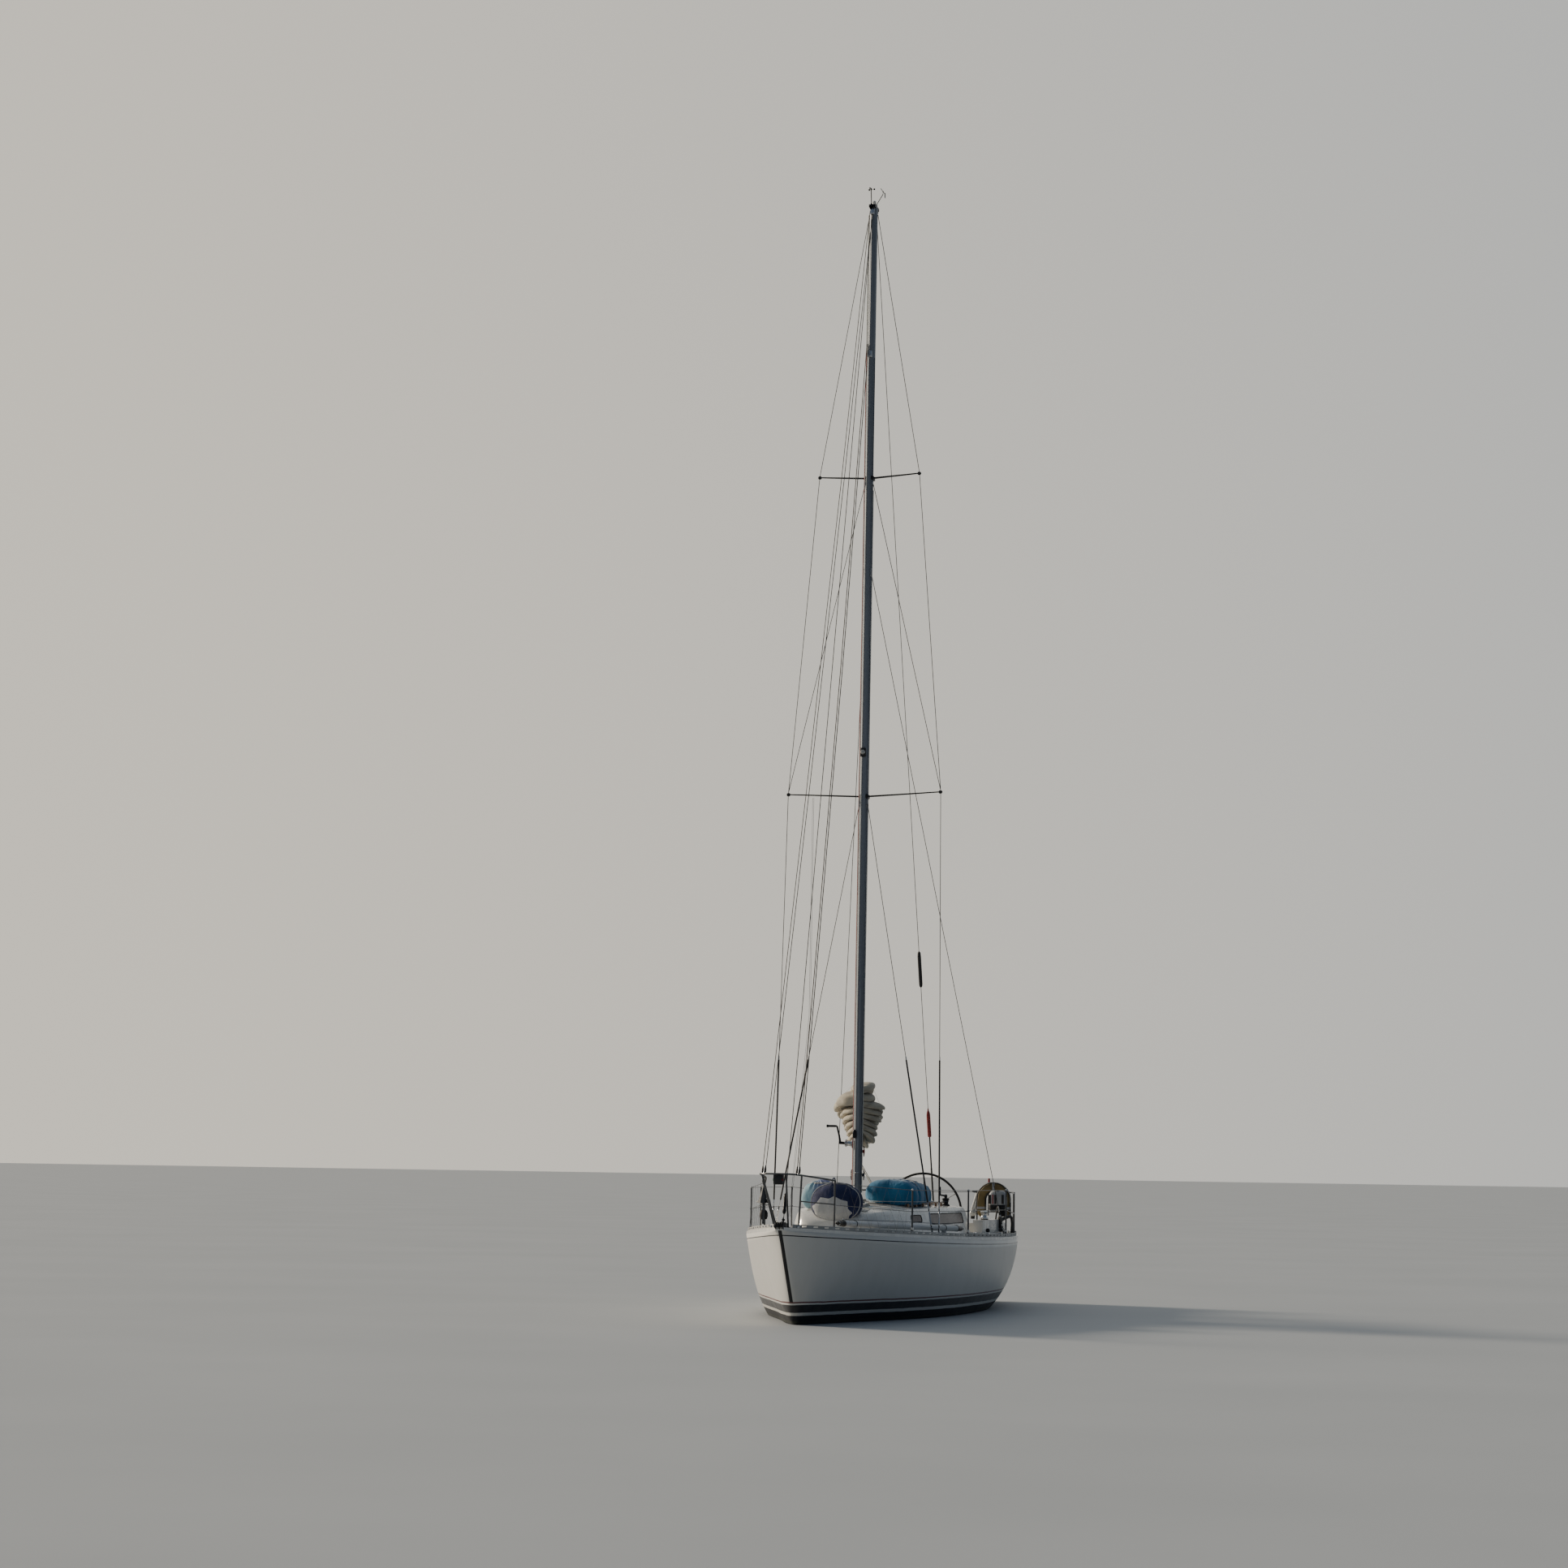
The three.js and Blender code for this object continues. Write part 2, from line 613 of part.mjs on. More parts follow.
function makePropeller() {
  const hub = rod(vector(-propeller.length, 0, 0), vector(0, 0, 0), 26, 12, propeller.hub);
  const blade = (index) => {
    const rings = [[30, 60, 26, 50], [110, 110, 12, 32], [170, 96, 8, 24], [propeller.radius, 40, 5, 20]];
    const solid = loft(rings.map(([z, chord, thick, twist]) => {
      return foil(chord, thick, 5).map(([x, y]) => {
        const turn = THREE.MathUtils.degToRad(90 - twist);
        return vector(x * Math.cos(turn) - y * Math.sin(turn), x * Math.sin(turn) + y * Math.cos(turn), z);
      });
    }));
    return solid.translate([-propeller.length / 2, 0, 0]).rotate([(360 * index) / propeller.blades, 0, 0]);
  };
  const blades = Array.from({ length: propeller.blades }, (unused, index) => blade(index));
  return joined([hub, ...blades]).translate([xAt(propeller.from), 0, -leg.depth]);
}

// Rudder: a balanced blade on its stock
const rudder = { top: -200, bottom: -1560, ahead: 150, topLength: 620, tipLength: 420 };

function makeRudder() {
  const section = (length, thickness, z) => {
    const shift = rudder.ahead - length / 2;
    return foil(length, thickness, 8).map(([x, y]) => vector(xAt(stock.aft) + shift + x, y, z));
  };
  const head = section(rudder.topLength, 90, rudder.top);
  const blade = loft([head, section(rudder.tipLength, 56, rudder.bottom)]);
  const shaft = upright(rudder.top - 300, stock.top, stock.radius, 24).translate([xAt(stock.aft), 0, 0]);
  return joined([blade, shaft]);
}

// Mast and what it carries. The mast leans aft, so places on it depend on the height.
const mastBackAt = (height) => mastAft + (height - mastRakeFrom) * mastRake;
const mastPoint = (height, ahead = 0, y = 0) => vector(xAt(mastBackAt(height)) + ahead, y, height);

const ovalFacets = 14;

function oval(length, width) {
  return Array.from({ length: ovalFacets }, (unused, index) => {
    const angle = (2 * Math.PI * (index + 0.5)) / ovalFacets;
    return [(length / 2) * Math.cos(angle), (width / 2) * Math.sin(angle)];
  });
}

const boomPivot = () => mastPoint(goosenecks.height, -goosenecks.offset);
const eye = { radius: 30, height: 50, hole: 8.5, pin: 8 };

function mastTube(grow = 0) {
  const outline = oval(mastLength + 2 * grow, mastWidth + 2 * grow);
  return loft([1500, mastheadHeight].map((height) => outline.map(([x, y]) => mastPoint(height, x, y))));
}

function makeMast() {
  const foot = boatBox(mastAft - 125, mastAft + 125, -85, 85, 1490, 1575);
  const pivot = boomPivot();
  const lug = (low, high) => box([pivot.x - 24, -22, low], [pivot.x + 60, 22, high]);
  const half = eye.height / 2 + 0.4;
  const [low, high] = [pivot.z - half - 14, pivot.z + half + 14];
  const pin = rod(vector(pivot.x, 0, low), vector(pivot.x, 0, high), eye.pin, 16);
  const lugs = [lug(low, low + 14), lug(high - 14, high), pin];
  return joined([mastTube(), foot, ...lugs]).subtract(roofGround);
}

function makeSpreader(row, side) {
  const root = mastPoint(row.height, 0, side.sign * (mastWidth / 2 - 12));
  const mastFace = mastPoint(row.height);
  const tip = vector(mastFace.x, side.sign * (row.reach - 2), row.height + row.rise);
  const section = (centre, length, thick) => {
    return foil(length, thick, 5).map(([x, z]) => vector(centre.x + x, centre.y, centre.z + z));
  };
  const arm = loft([section(root, row.root, 26), section(tip, row.tip, 18)]);
  return arm.subtract(joined([mastTube(gap), tube(capPath(side), wire + gap, 6)]));
}

function makeMasthead() {
  const base = mastheadHeight + gap;
  const x = mastPoint(base).x;
  const cap = box([x - 130, -50, base], [x + 120, 50, base + 40]);
  const crane = box([x - 190, -16, base + 2], [x - 100, 16, base + 38]);
  const hook = box([x + 110, -12, base + 4], [x + 175, 12, base + 34]);
  const pole = rod(vector(x + 55, -25, base + 20), vector(x + 70, -30, base + 275), 7, 8);
  const vaneArm = rod(vector(x + 20, 25, base + 30), vector(x + 60, 150, base + 200), 6, 8);
  const vanePin = rod(vector(x + 60, 150, base + 190), vector(x + 60, 150, base + 232), 4, 8);
  return joined([cap, crane, hook, pole, vaneArm, vanePin]);
}

const mastheadSolid = makeMasthead();

// Spinning wind gauges on top of the masthead fitting
function makeCups() {
  const x = mastPoint(mastheadHeight).x + 70;
  const base = mastheadHeight + gap + 275 + 0.8;
  const hub = upright(0, 26, 12, 10, 9);
  const arms = [0, 120, 240].map((angle) => {
    const arm = rod(vector(0, 0, 13), vector(46, 0, 13), 3, 6);
    const cup = rod(vector(46, -14, 13), vector(46, 12, 13), 15, 8, 5);
    return joined([arm, cup]).rotate([0, 0, angle]);
  });
  return joined([hub, ...arms]).translate([x, -30, base]);
}

function makeVane() {
  const x = mastPoint(mastheadHeight).x + 60;
  const base = mastheadHeight + gap + 232 + gap;
  const hub = upright(0, 18, 9, 10, 7);
  const bar = box([-110, -3, 5], [120, 3, 12]);
  const tail = crossPrism([[-105, -40], [-105, 28], [-150, 28], [-150, -50]], -2, 2);
  const point = crossPrism([[120, 0], [150, 8.5], [120, 17]], -3, 3);
  return joined([hub, bar, tail, point]).translate([x, 150, base]);
}

// A stay with a turnbuckle at its foot and a small plate on the deck
function stayFoot(foot, up, thick = 9) {
  const line = up.clone().sub(foot).normalize();
  const from = foot.clone().addScaledVector(line, 40);
  const to = foot.clone().addScaledVector(line, 330);
  const screw = rod(from, to, thick, 8);
  const plate = box([foot.x - 22, foot.y - 6, foot.z - 40], [foot.x + 22, foot.y + 6, foot.z + 60]);
  return joined([screw, plate]).subtract(deckGround);
}

function deckPoint(aft, y, lift = 0) {
  return vector(xAt(aft), y, deckTop(aft, y) + lift);
}

const spreaderTip = (row, side, out = 0) => {
  return vector(mastPoint(row.height).x, side.sign * (row.reach + out), row.height + row.rise);
};

const capFoot = (side) => deckPoint(capChainplate.aft, side.sign * capChainplate.out, 30);

function capPath(side) {
  const [lower, upper] = spreaderTable;
  const top = mastPoint(mastheadHeight - 90, 0, side.sign * (mastWidth / 2 + wire + gap));
  return [top, spreaderTip(upper, side), spreaderTip(lower, side), capFoot(side)];
}

function makeCapShroud(side) {
  const [lower, upper] = spreaderTable;
  const foot = capFoot(side);
  const cap = tube(capPath(side), wire, 6);
  const tang = mastPoint(upper.height - 90, 0, side.sign * (mastWidth / 2 + wire + gap));
  const diagonal = rod(tang, spreaderTip(lower, side, -3).add(vector(0, 0, 30)), wire, 6);
  return joined([cap, diagonal, stayFoot(foot, spreaderTip(lower, side))]);
}

function makeLowerShroud(side) {
  const [lower] = spreaderTable;
  const top = mastPoint(lower.height - 110, 20, side.sign * (mastWidth / 2 + wire + gap));
  const foot = deckPoint(lowerChainplate.aft, side.sign * lowerChainplate.out, 30);
  return joined([rod(foot, top, wire, 6), stayFoot(foot, top)]);
}

function makeRunner(side) {
  const top = mastPoint(runnerHeight, -mastLength / 2 - 2, side.sign * 40);
  const foot = deckPoint(runnerFoot.aft, side.sign * runnerFoot.out, 30);
  return joined([rod(foot, top, wire, 6), stayFoot(foot, top, 12)]);
}

function makeForestay() {
  const top = mastPoint(mastheadHeight - 70, mastLength / 2 + wire + gap);
  const foot = deckPoint(forestayAft, 0, 66);
  const line = top.clone().sub(foot).normalize();
  const screw = rod(foot.clone().addScaledVector(line, 110), foot.clone().addScaledVector(line, 380), 20, 10);
  const plate = box([foot.x - 20, -5, foot.z - 100], [foot.x + 20, 5, foot.z + 60]);
  return joined([rod(foot, top, wire, 6), screw, plate]).subtract(stemheadGround());
}

function makeBackstay() {
  const top = vector(mastPoint(mastheadHeight).x - 150, 0, mastheadHeight + 20);
  const foot = deckPoint(backstayAft, 0, 40);
  const line = top.clone().sub(foot).normalize();
  const at = (along) => foot.clone().addScaledVector(line, along);
  const thick = rod(at(30), at(900), thickWire, 8);
  const adjuster = rod(at(1450), at(1900), 24, 8);
  const sleeve = rod(at(3950), at(4500), 28, 8);
  const plate = box([foot.x - 24, -6, foot.z - 60], [foot.x + 24, 6, foot.z + 60]);
  const stay = joined([rod(foot, top, wire, 6), thick, adjuster, sleeve, plate]);
  return stay.subtract(joined([deckGround, mastheadSolid, mastheadSolid.translate([0, 0, -gap])]));
}

// Bow fitting with its two cheeks, and the roller's gap between them
const stemhead = { from: -40, to: 330, half: 55, base: 10 };

function makeStemhead() {
  const plate = boatBox(20, stemhead.to, -stemhead.half, stemhead.half, 1240, 1300);
  const outline = [[stemhead.from, 1262], [-10, 1330], [130, 1335], [200, 1290], [200, 1255], [10, 1240]]
    .map(([aft, z]) => [xAt(aft), z]);
  const cheek = (y) => crossPrism(outline, y, y + 5);
  const cheeks = [-stemhead.half, -3, stemhead.half - 5].map((y) => cheek(y));
  const nose = rod(vector(xAt(-5), -stemhead.half, 1285), vector(xAt(-5), stemhead.half, 1285), 18, 10);
  const topped = deckForm(stemhead.base, () => -900);
  const seated = plate.intersect(topped);
  return joined([seated, ...cheeks, nose]).subtract(joined([deckGround, hull.translate([gap, 0, 0])]));
}

const hull = makeHull();
const stemheadSolid = makeStemhead();
const stemheadGround = () => joined([deckGround, stemheadSolid, stemheadSolid.translate([0, 0, gap])]);

const cockpitSolid = makeCockpit();
const cockpitGround = () => joined([deckGround, cockpitSolid, cockpitSolid.translate([0, 0, gap])]);

// Rails round the bow and the stern
const railTube = 12.5;

function railLeg(aft, y, top) {
  return rod(vector(xAt(aft), y, deckTop(aft, y) - 20), top, railTube, 8);
}

function makePulpit() {
  const plan = [[1000, 480, 1868], [700, 385, 1895], [400, 315, 1915], [100, 262, 1932], [-180, 215, 1944],
    [-330, 130, 1946], [-375, 0, 1946]];
  const half = plan.map(([aft, y, z]) => vector(xAt(aft), y, z));
  const whole = [...half, ...half.slice(0, -1).reverse().map((point) => vector(point.x, -point.y, point.z))];
  const top = tube(smoothPath(whole, 26), railTube, 8);
  const legs = sides.flatMap(({ sign }) => [
    railLeg(1010, sign * 470, vector(xAt(1000), sign * 480, 1868)),
    railLeg(370, sign * 158, vector(xAt(100), sign * 262, 1932)),
    railLeg(170, sign * 75, vector(xAt(-300), sign * 160, 1945)),
    rod(vector(xAt(1005), sign * 475, 1560), vector(xAt(235), sign * 211, 1600), 9, 8),
  ]);
  return joined([top, ...legs]).subtract(stemheadGround());
}

const pulpitSolid = makePulpit();
const pushpit = { from: 8180, height: 1710, mid: 1400, portEnd: 580, starboardEnd: 400, wire: 4 };
const stanchions = { inset: 62, aft: [2730, 4640, 6850], height: 1765, radius: 12, base: 60 };
const railOut = (aft) => hullValue('beam', aft) - stanchions.inset;

// The stern rail: a frame round each quarter, and a gate of two wires between them
function makePushpit() {
  const sideAft = [pushpit.from, 8700, 9200];
  const plan = sideAft.map((aft) => [aft, railOut(aft)]);
  plan.push([9520, railOut(9520) - 12], [9650, 1030], [9690, 800]);
  const bar = (z, radius) => [[1, pushpit.portEnd], [-1, -pushpit.starboardEnd]].map(([sign, end]) => {
    const points = plan.map(([aft, y]) => vector(xAt(aft), sign * y, z));
    points.push(vector(xAt(9695), end, z));
    return tube(smoothPath(points, 18), radius, 8);
  });
  const wire = (z) => {
    const ends = [pushpit.portEnd, -pushpit.starboardEnd].map((y) => vector(xAt(9695), y, z));
    return tube([ends[0], vector(xAt(9695), 90, z - 14), ends[1]], pushpit.wire, 6);
  };
  const sideLegs = [[pushpit.from, railOut(pushpit.from)], [9000, railOut(9000)]];
  const sternLegs = [[9694, 640], [9690, -800], [9695, -pushpit.starboardEnd]];
  const legPlaces = [...sideLegs, ...sideLegs.map(([aft, y]) => [aft, -y]), ...sternLegs];
  const legs = legPlaces.map(([aft, y]) => railLeg(aft, y, vector(xAt(aft), y, pushpit.height)));
  const lugs = [ladder.y - 200, ladder.y + 200].map((y) => {
    const x = xAt(ladder.aft);
    return box([x - 26, y - 6, ladder.foot - 26], [xAt(9690), y + 6, ladder.foot + 26]);
  });
  const axleHole = rod(vector(xAt(ladder.aft), ladder.y - 260, ladder.foot),
    vector(xAt(ladder.aft), ladder.y + 260, ladder.foot), ladder.axle + 0.5, 16);
  const hangers = [[1710, 0.78], [1400, 0.5]].map(([z, share]) => {
    const x = xAt(buoy.aft) + 45;
    return rod(vector(x, buoy.y + buoy.radius * share, z), vector(x, railOut(9405), z), 8, 8);
  });
  const bars = [...bar(pushpit.height, railTube), ...bar(pushpit.mid, 9)];
  const wires = [wire(pushpit.height), wire(pushpit.mid)];
  const rail = joined([...bars, ...wires, ...legs, ...lugs, ...hangers]);
  return rail.subtract(joined([cockpitGround(), axleHole, buoyForm(gap)]));
}

// Stanchions of one side, joined by their two wires, which stop just short of the rails at both ends
function makeLifelines(side) {
  const posts = stanchions.aft.map((aft) => {
    const y = side.sign * railOut(aft);
    const top = vector(xAt(aft), y, stanchions.height);
    return rod(vector(xAt(aft), y, deckTop(aft, y) - 20), top, stanchions.radius, 8);
  });
  const line = (bowHeight, height, sternHeight) => {
    const points = [vector(xAt(1000 + 2 * railTube + 4), side.sign * 490, bowHeight)];
    points.push(...stanchions.aft.map((aft) => vector(xAt(aft), side.sign * railOut(aft), height)));
    points.push(vector(xAt(pushpit.from - railTube - 3), side.sign * railOut(pushpit.from), sternHeight));
    return tube(points, 4, 6);
  };
  const bases = stanchions.aft.map((aft) => {
    const y = side.sign * railOut(aft);
    const block = boatBox(aft - 30, aft + 30, y - 16, y + 16, 1000, 1400);
    return block.intersect(deckForm(stanchions.base, () => -900));
  });
  const wires = [line(1830, 1752, 1700), line(1550, 1465, 1400)];
  return joined([...posts, ...bases, ...wires]).subtract(deckGround);
}

// Boom, drawn along its own axis and then swung out; it turns about the gooseneck's pin
function swungOut(solid) {
  const pivot = boomPivot();
  return solid.rotate([0, 0, boomAngle]).translate([pivot.x, 0, 0]);
}

function makeBoom() {
  const height = goosenecks.height;
  const ring = (out, size) => {
    return oval(boomDepth * size, boomWidth * size).map(([z, y]) => vector(-out, y, height + z));
  };
  const spar = loft([ring(95, 0.9), ring(180, 1), ring(boomLength, 1)]);
  const neck = box([-120, -14, height - 18], [0, 14, height + 18]);
  const half = eye.height / 2;
  const hub = upright(height - half, height + half, eye.radius, 16);
  const hole = upright(height - half - 10, height + half + 10, eye.hole, 16);
  const end = loft([ring(boomLength, 1.06), ring(boomLength + 40, 1.06)]);
  return swungOut(joined([spar, neck, hub, end]).subtract(hole));
}

// Flaked mainsail: folds heaped on the boom and hanging over both its sides
const stackColumns = ['out', 'width', 'low', 'top'];
const stackRows = [
  [170, 190, 2370, 3200],
  [450, 350, 2310, 3310],
  [1200, 355, 2330, 3240],
  [2000, 275, 2350, 3120],
  [2800, 165, 2380, 2960],
  [3500, 125, 2400, 2830],
  [4150, 92, 2440, 2720],
];

function makeSailStack() {
  const inner = boomWidth / 2 + 6;
  const over = goosenecks.height + (boomDepth / 2) * Math.cos(Math.PI / ovalFacets) + gap;
  const rings = stackRows.map(([out, width, low, top]) => {
    const rise = top - over;
    const fold = Math.max(width * 0.55, inner + 14);
    const half = [[inner, over], [inner, low], [fold, low], [width * 0.78, low + 0.7 * (over - low)],
      [width, over + rise * 0.35], [width, over + rise * 0.62], [width * 0.84, over + rise * 0.8],
      [width * 0.6, top]];
    const port = half.map(([y, z]) => vector(-out, y, z));
    const starboard = [...half].reverse().map(([y, z]) => vector(-out, -y, z));
    return [...port, ...starboard];
  });
  return swungOut(loft(rings));
}

// Loose gear on deck
function makePole() {
  const [from, to] = [deckPoint(1400, 430, 90), deckPoint(5300, 1280, 90)];
  const line = to.clone().sub(from).normalize();
  const body = rod(from.clone().addScaledVector(line, 160), to.clone().addScaledVector(line, -160), 42, 12);
  const ends = [[0, 160], [-160, 0]].map(([start, stop], index) => {
    const base = index === 0 ? from : to;
    return rod(base.clone().addScaledVector(line, start), base.clone().addScaledVector(line, stop), 34, 10);
  });
  const chocks = [500, 3400].map((along) => {
    const at = from.clone().addScaledVector(line, along);
    return box([at.x - 30, at.y - 30, 1000], [at.x + 30, at.y + 30, at.z]);
  });
  return joined([body, ...ends, ...chocks]).subtract(deckGround);
}

function sack(aft, y, length, width, height, base) {
  const sphere = new THREE.SphereGeometry(1, 16, 12);
  const solid = solidFrom(sphere).rotate([90, 0, 0]).scale([length / 2, width / 2, height * 0.62]);
  return solid.translate([xAt(aft), y, base + height * 0.38]).subtract(joined([deckGround, roofGround]));
}

function makeBundle() {
  const bundle = { from: 4500, to: 5850, low: 10, high: 800, top: 1920 };
  const shape = rounded(bundle.high - bundle.low, bundle.top - 1480, 180, 4);
  const centre = [(bundle.high + bundle.low) / 2, (bundle.top + 1480) / 2];
  const ring = (aft, size) => shape.map(([y, z]) => {
    const height = z < 0 ? z : z * size;
    return vector(xAt(aft), centre[0] + y * (0.5 + size / 2), centre[1] + height);
  });
  const rows = [[bundle.from, 0.45], [bundle.from + 90, 0.85], [bundle.from + 260, 1],
    [bundle.to - 260, 0.97], [bundle.to - 90, 0.8], [bundle.to, 0.4]];
  return loft(rows.map(([aft, size]) => ring(aft, size))).subtract(roofGround);
}

// Winches: two on the coachroof, two on the cockpit coamings
const winchTable = [
  { name: 'coachroof', aft: 6900, out: 720, radius: 62, height: 150 },
  { name: 'cockpit', aft: 7950, out: 1098, radius: 66, height: 170 },
];

function makeWinch(row, side) {
  const base = row.name === 'coachroof' ? 1480 : coaming.height - 30;
  const points = [[0, 0], [row.radius, 0], [row.radius, 55], [row.radius * 0.62, 75], [row.radius * 0.62, 120],
    [row.radius * 0.85, 135], [row.radius * 0.85, row.height], [0, row.height]];
  const profile = points.map(([x, y]) => new THREE.Vector2(x, y));
  const drum = solidFrom(new THREE.LatheGeometry(profile, 14)).rotate([90, 0, 0]);
  const ground = row.name === 'coachroof' ? roofGround : cockpitSolid.translate([0, 0, gap]);
  return drum.translate([xAt(row.aft), side.sign * row.out, base]).subtract(ground);
}

// Steering pedestal and wheel
const wheel = { aft: 8640, height: 1385, radius: 600, tube: 17, hub: 44 };
const pedestal = { aft: 8490, half: 70 };

function makePedestal() {
  const ring = (z, length, width) => {
    return rounded(length, width, 30, 2).map(([x, y]) => vector(xAt(pedestal.aft) + x, y, z));
  };
  const column = loft([ring(well.sole + gap, 200, 220), ring(900, 130, 150), ring(1290, 130, 150),
    ring(1330, 190, 200), ring(1500, 190, 200)]);
  const hood = rod(vector(xAt(pedestal.aft), 0, 1500), vector(xAt(pedestal.aft), 0, 1580), 80, 12, 60);
  const shaft = rod(vector(xAt(pedestal.aft) - 80, 0, wheel.height),
    vector(xAt(wheel.aft) + 30 + gap, 0, wheel.height), 30, 12);
  return joined([column, hood, shaft]);
}

function makeWheel() {
  const rim = solidFrom(new THREE.TorusGeometry(wheel.radius, wheel.tube, 8, 40)).rotate([0, 90, 0]);
  const hub = rod(vector(-30, 0, 0), vector(30, 0, 0), wheel.hub, 14);
  const spokes = Array.from({ length: 6 }, (unused, index) => {
    const angle = (2 * Math.PI * (index + 0.5)) / 6;
    const end = vector(0, Math.cos(angle), Math.sin(angle)).multiplyScalar(wheel.radius);
    return rod(vector(0, 0, 0), end, 7, 6);
  });
  return joined([rim, hub, ...spokes]).translate([xAt(wheel.aft), 0, wheel.height]);
}

// Lids and hatches
function makeSlideHatch() {
  const { from, to, half, thickness, runner } = slideHatch;
  const [low, high] = [runner + gap, runner + gap + thickness];
  const outline = [[-half, low], [half, low], [half, high - 8], [half * 0.5, high + 6], [0, high + 10],
    [-half * 0.5, high + 6], [-half, high - 8]];
  return loft([from, to].map((aft) => outline.map(([y, z]) => vector(xAt(aft), y, z))));
}

function makeWashboard() {
  const half = slideHatch.slot + 35;
  const low = deckTop(coachroofAft, 0) + gap;
  const board = boatBox(coachroofAft + gap, coachroofAft + gap + 16, -half, half, low, 1530);
  return board.intersect(roofForm(10, 900, 0, -60)).subtract(deckGround);
}

function makeForeHatch() {
  const { from, to, half, thickness } = foreHatch;
  return boatBox(from, to, -half, half, 1400, 1800).intersect(roofForm(-thickness - gap)).subtract(roofGround);
}

function makeAnchorLid() {
  const { from, to, half, thickness } = anchorLid;
  return boatBox(from, to, -half, half, 1100, 1500).intersect(deckForm(thickness + gap, () => -900))
    .subtract(deckGround);
}

function makeLockerLid(side) {
  const [low, high] = side.sign > 0 ? [lockerLid.near, lockerLid.far] : [-lockerLid.far, -lockerLid.near];
  const base = seat.height + gap;
  return boatBox(lockerLid.from, lockerLid.to, low, high, base, base + lockerLid.thickness);
}

// Boarding ladder, folded up outside the pushpit
const ladder = { aft: 9800, y: -600, width: 300, foot: 1130, top: 1790, radius: 11, axle: 14,
  rungs: [1190, 1410, 1610] };

function makeLadder() {
  const x = xAt(ladder.aft);
  const [near, far] = [ladder.y + ladder.width / 2, ladder.y - ladder.width / 2];
  const rail = tube([vector(x, near, ladder.foot), vector(x, near, ladder.top), vector(x, far, ladder.top),
    vector(x, far, ladder.foot)], ladder.radius, 8);
  const rungs = ladder.rungs.map((z) => rod(vector(x, near, z), vector(x, far, z), 13, 8));
  const hinge = rod(vector(x, near + 64, ladder.foot), vector(x, far - 64, ladder.foot), ladder.axle, 16);
  return joined([rail, hinge, ...rungs]);
}

// Plough anchor hung on the starboard side of the pulpit, the horseshoe buoy and the outboard on the pushpit
function makeAnchor() {
  const x = xAt(430);
  const y = -330;
  const shank = crossPrism([[x - 20, 1300], [x + 24, 1300], [x + 30, 1640], [x - 26, 1640]], y - 10, y + 10);
  const ring = (z, reach) => {
    const outline = [[0, -1], [0.9, -0.35], [0.9, 0.35], [0, 1]];
    return outline.map(([ahead, out]) => vector(x + ahead * reach - 20, y + out * reach, z));
  };
  const blade = loft([ring(1570, 84), ring(1600, 78), ring(1810, 12)]);
  const hook = rod(vector(x, y, 1589), vector(x, y + 60, 1589), 8, 8);
  return joined([shank, blade, hook]).subtract(joined([pulpitSolid, pulpitSolid.translate([0, -gap, 0])]));
}

const buoy = { aft: 9450, y: 965, height: 1592, radius: 272, hole: 122, depth: 90, foot: 265 };

function buoyForm(grow = 0) {
  const arc = new THREE.Shape();
  const outer = buoy.radius + grow;
  const inner = buoy.hole - grow;
  const middle = (outer + inner) / 2;
  const turn = (outer - inner) / 2;
  const foot = turn - buoy.foot - grow;
  arc.absarc(0, 0, outer, 0, Math.PI, false);
  arc.absarc(-middle, foot, turn, Math.PI, 2 * Math.PI, false);
  arc.absarc(0, 0, inner, Math.PI, 0, true);
  arc.absarc(middle, foot, turn, Math.PI, 2 * Math.PI, false);
  const depth = buoy.depth + 2 * grow;
  const shape = new THREE.ExtrudeGeometry(arc, { depth, bevelEnabled: false, curveSegments: 20 });
  const solid = solidFrom(shape).rotate([90, 0, 90]);
  return solid.translate([xAt(buoy.aft) - grow, buoy.y, buoy.height]);
}

const motor = { aft: 8780, out: 1190, head: 1150, low: 1420, high: 1740 };

function makeMotor() {
  const out = motor.out;
  const centre = [xAt(motor.aft), motor.head];
  const ring = (z, length, width) => rounded(length, width, 40, 2)
    .map(([x, y]) => vector(centre[0] + x, centre[1] + y, z));
  const { low, high } = motor;
  const head = loft([ring(low, 150, 220), ring(low + 40, 190, 290), ring(high - 60, 190, 280),
    ring(high, 140, 205)]);
  const shaft = boatBox(motor.aft - 30, motor.aft + 30, out - 25, out + 25, 1000, low + 20);
  const clamp = boatBox(motor.aft - 50, motor.aft + 50, out, railOut(motor.aft) - 26, low - 80, low + 20);
  return joined([head, shaft, clamp]).subtract(cockpitGround());
}

// Everything in its place
addPiece('hull', hull, finish.gelcoat);
addPiece('deck', makeDeck(), finish.deck);
addPiece('coachroof', makeCoachroof(), finish.gelcoat);
addPiece('cockpit_moulding', cockpitSolid, finish.deck);
addPiece('keel', makeKeel(hull), finish.castIron);
addPiece('engine_with_drive_leg', makeEngine(), finish.enginePaint);
addPiece('propeller', makePropeller(), finish.bronze);
addPiece('rudder', makeRudder(), finish.castIron);
addPiece('stemhead_fitting', stemheadSolid, finish.black);
addPiece('pulpit', pulpitSolid, finish.stainless);
addPiece('pushpit', makePushpit(), finish.stainless);
addPiece('mast', makeMast(), finish.anodised);
addPiece('masthead_fitting', mastheadSolid, finish.black);
addPiece('anemometer', makeCups(), finish.black);
addPiece('wind_vane', makeVane(), finish.black);
addPiece('forestay', makeForestay(), finish.stainless);
addPiece('backstay', makeBackstay(), finish.stainless);
addPiece('boom', makeBoom(), finish.anodised);
addPiece('flaked_mainsail', makeSailStack(), finish.sailcloth);
addPiece('spinnaker_pole', makePole(), finish.anodised);
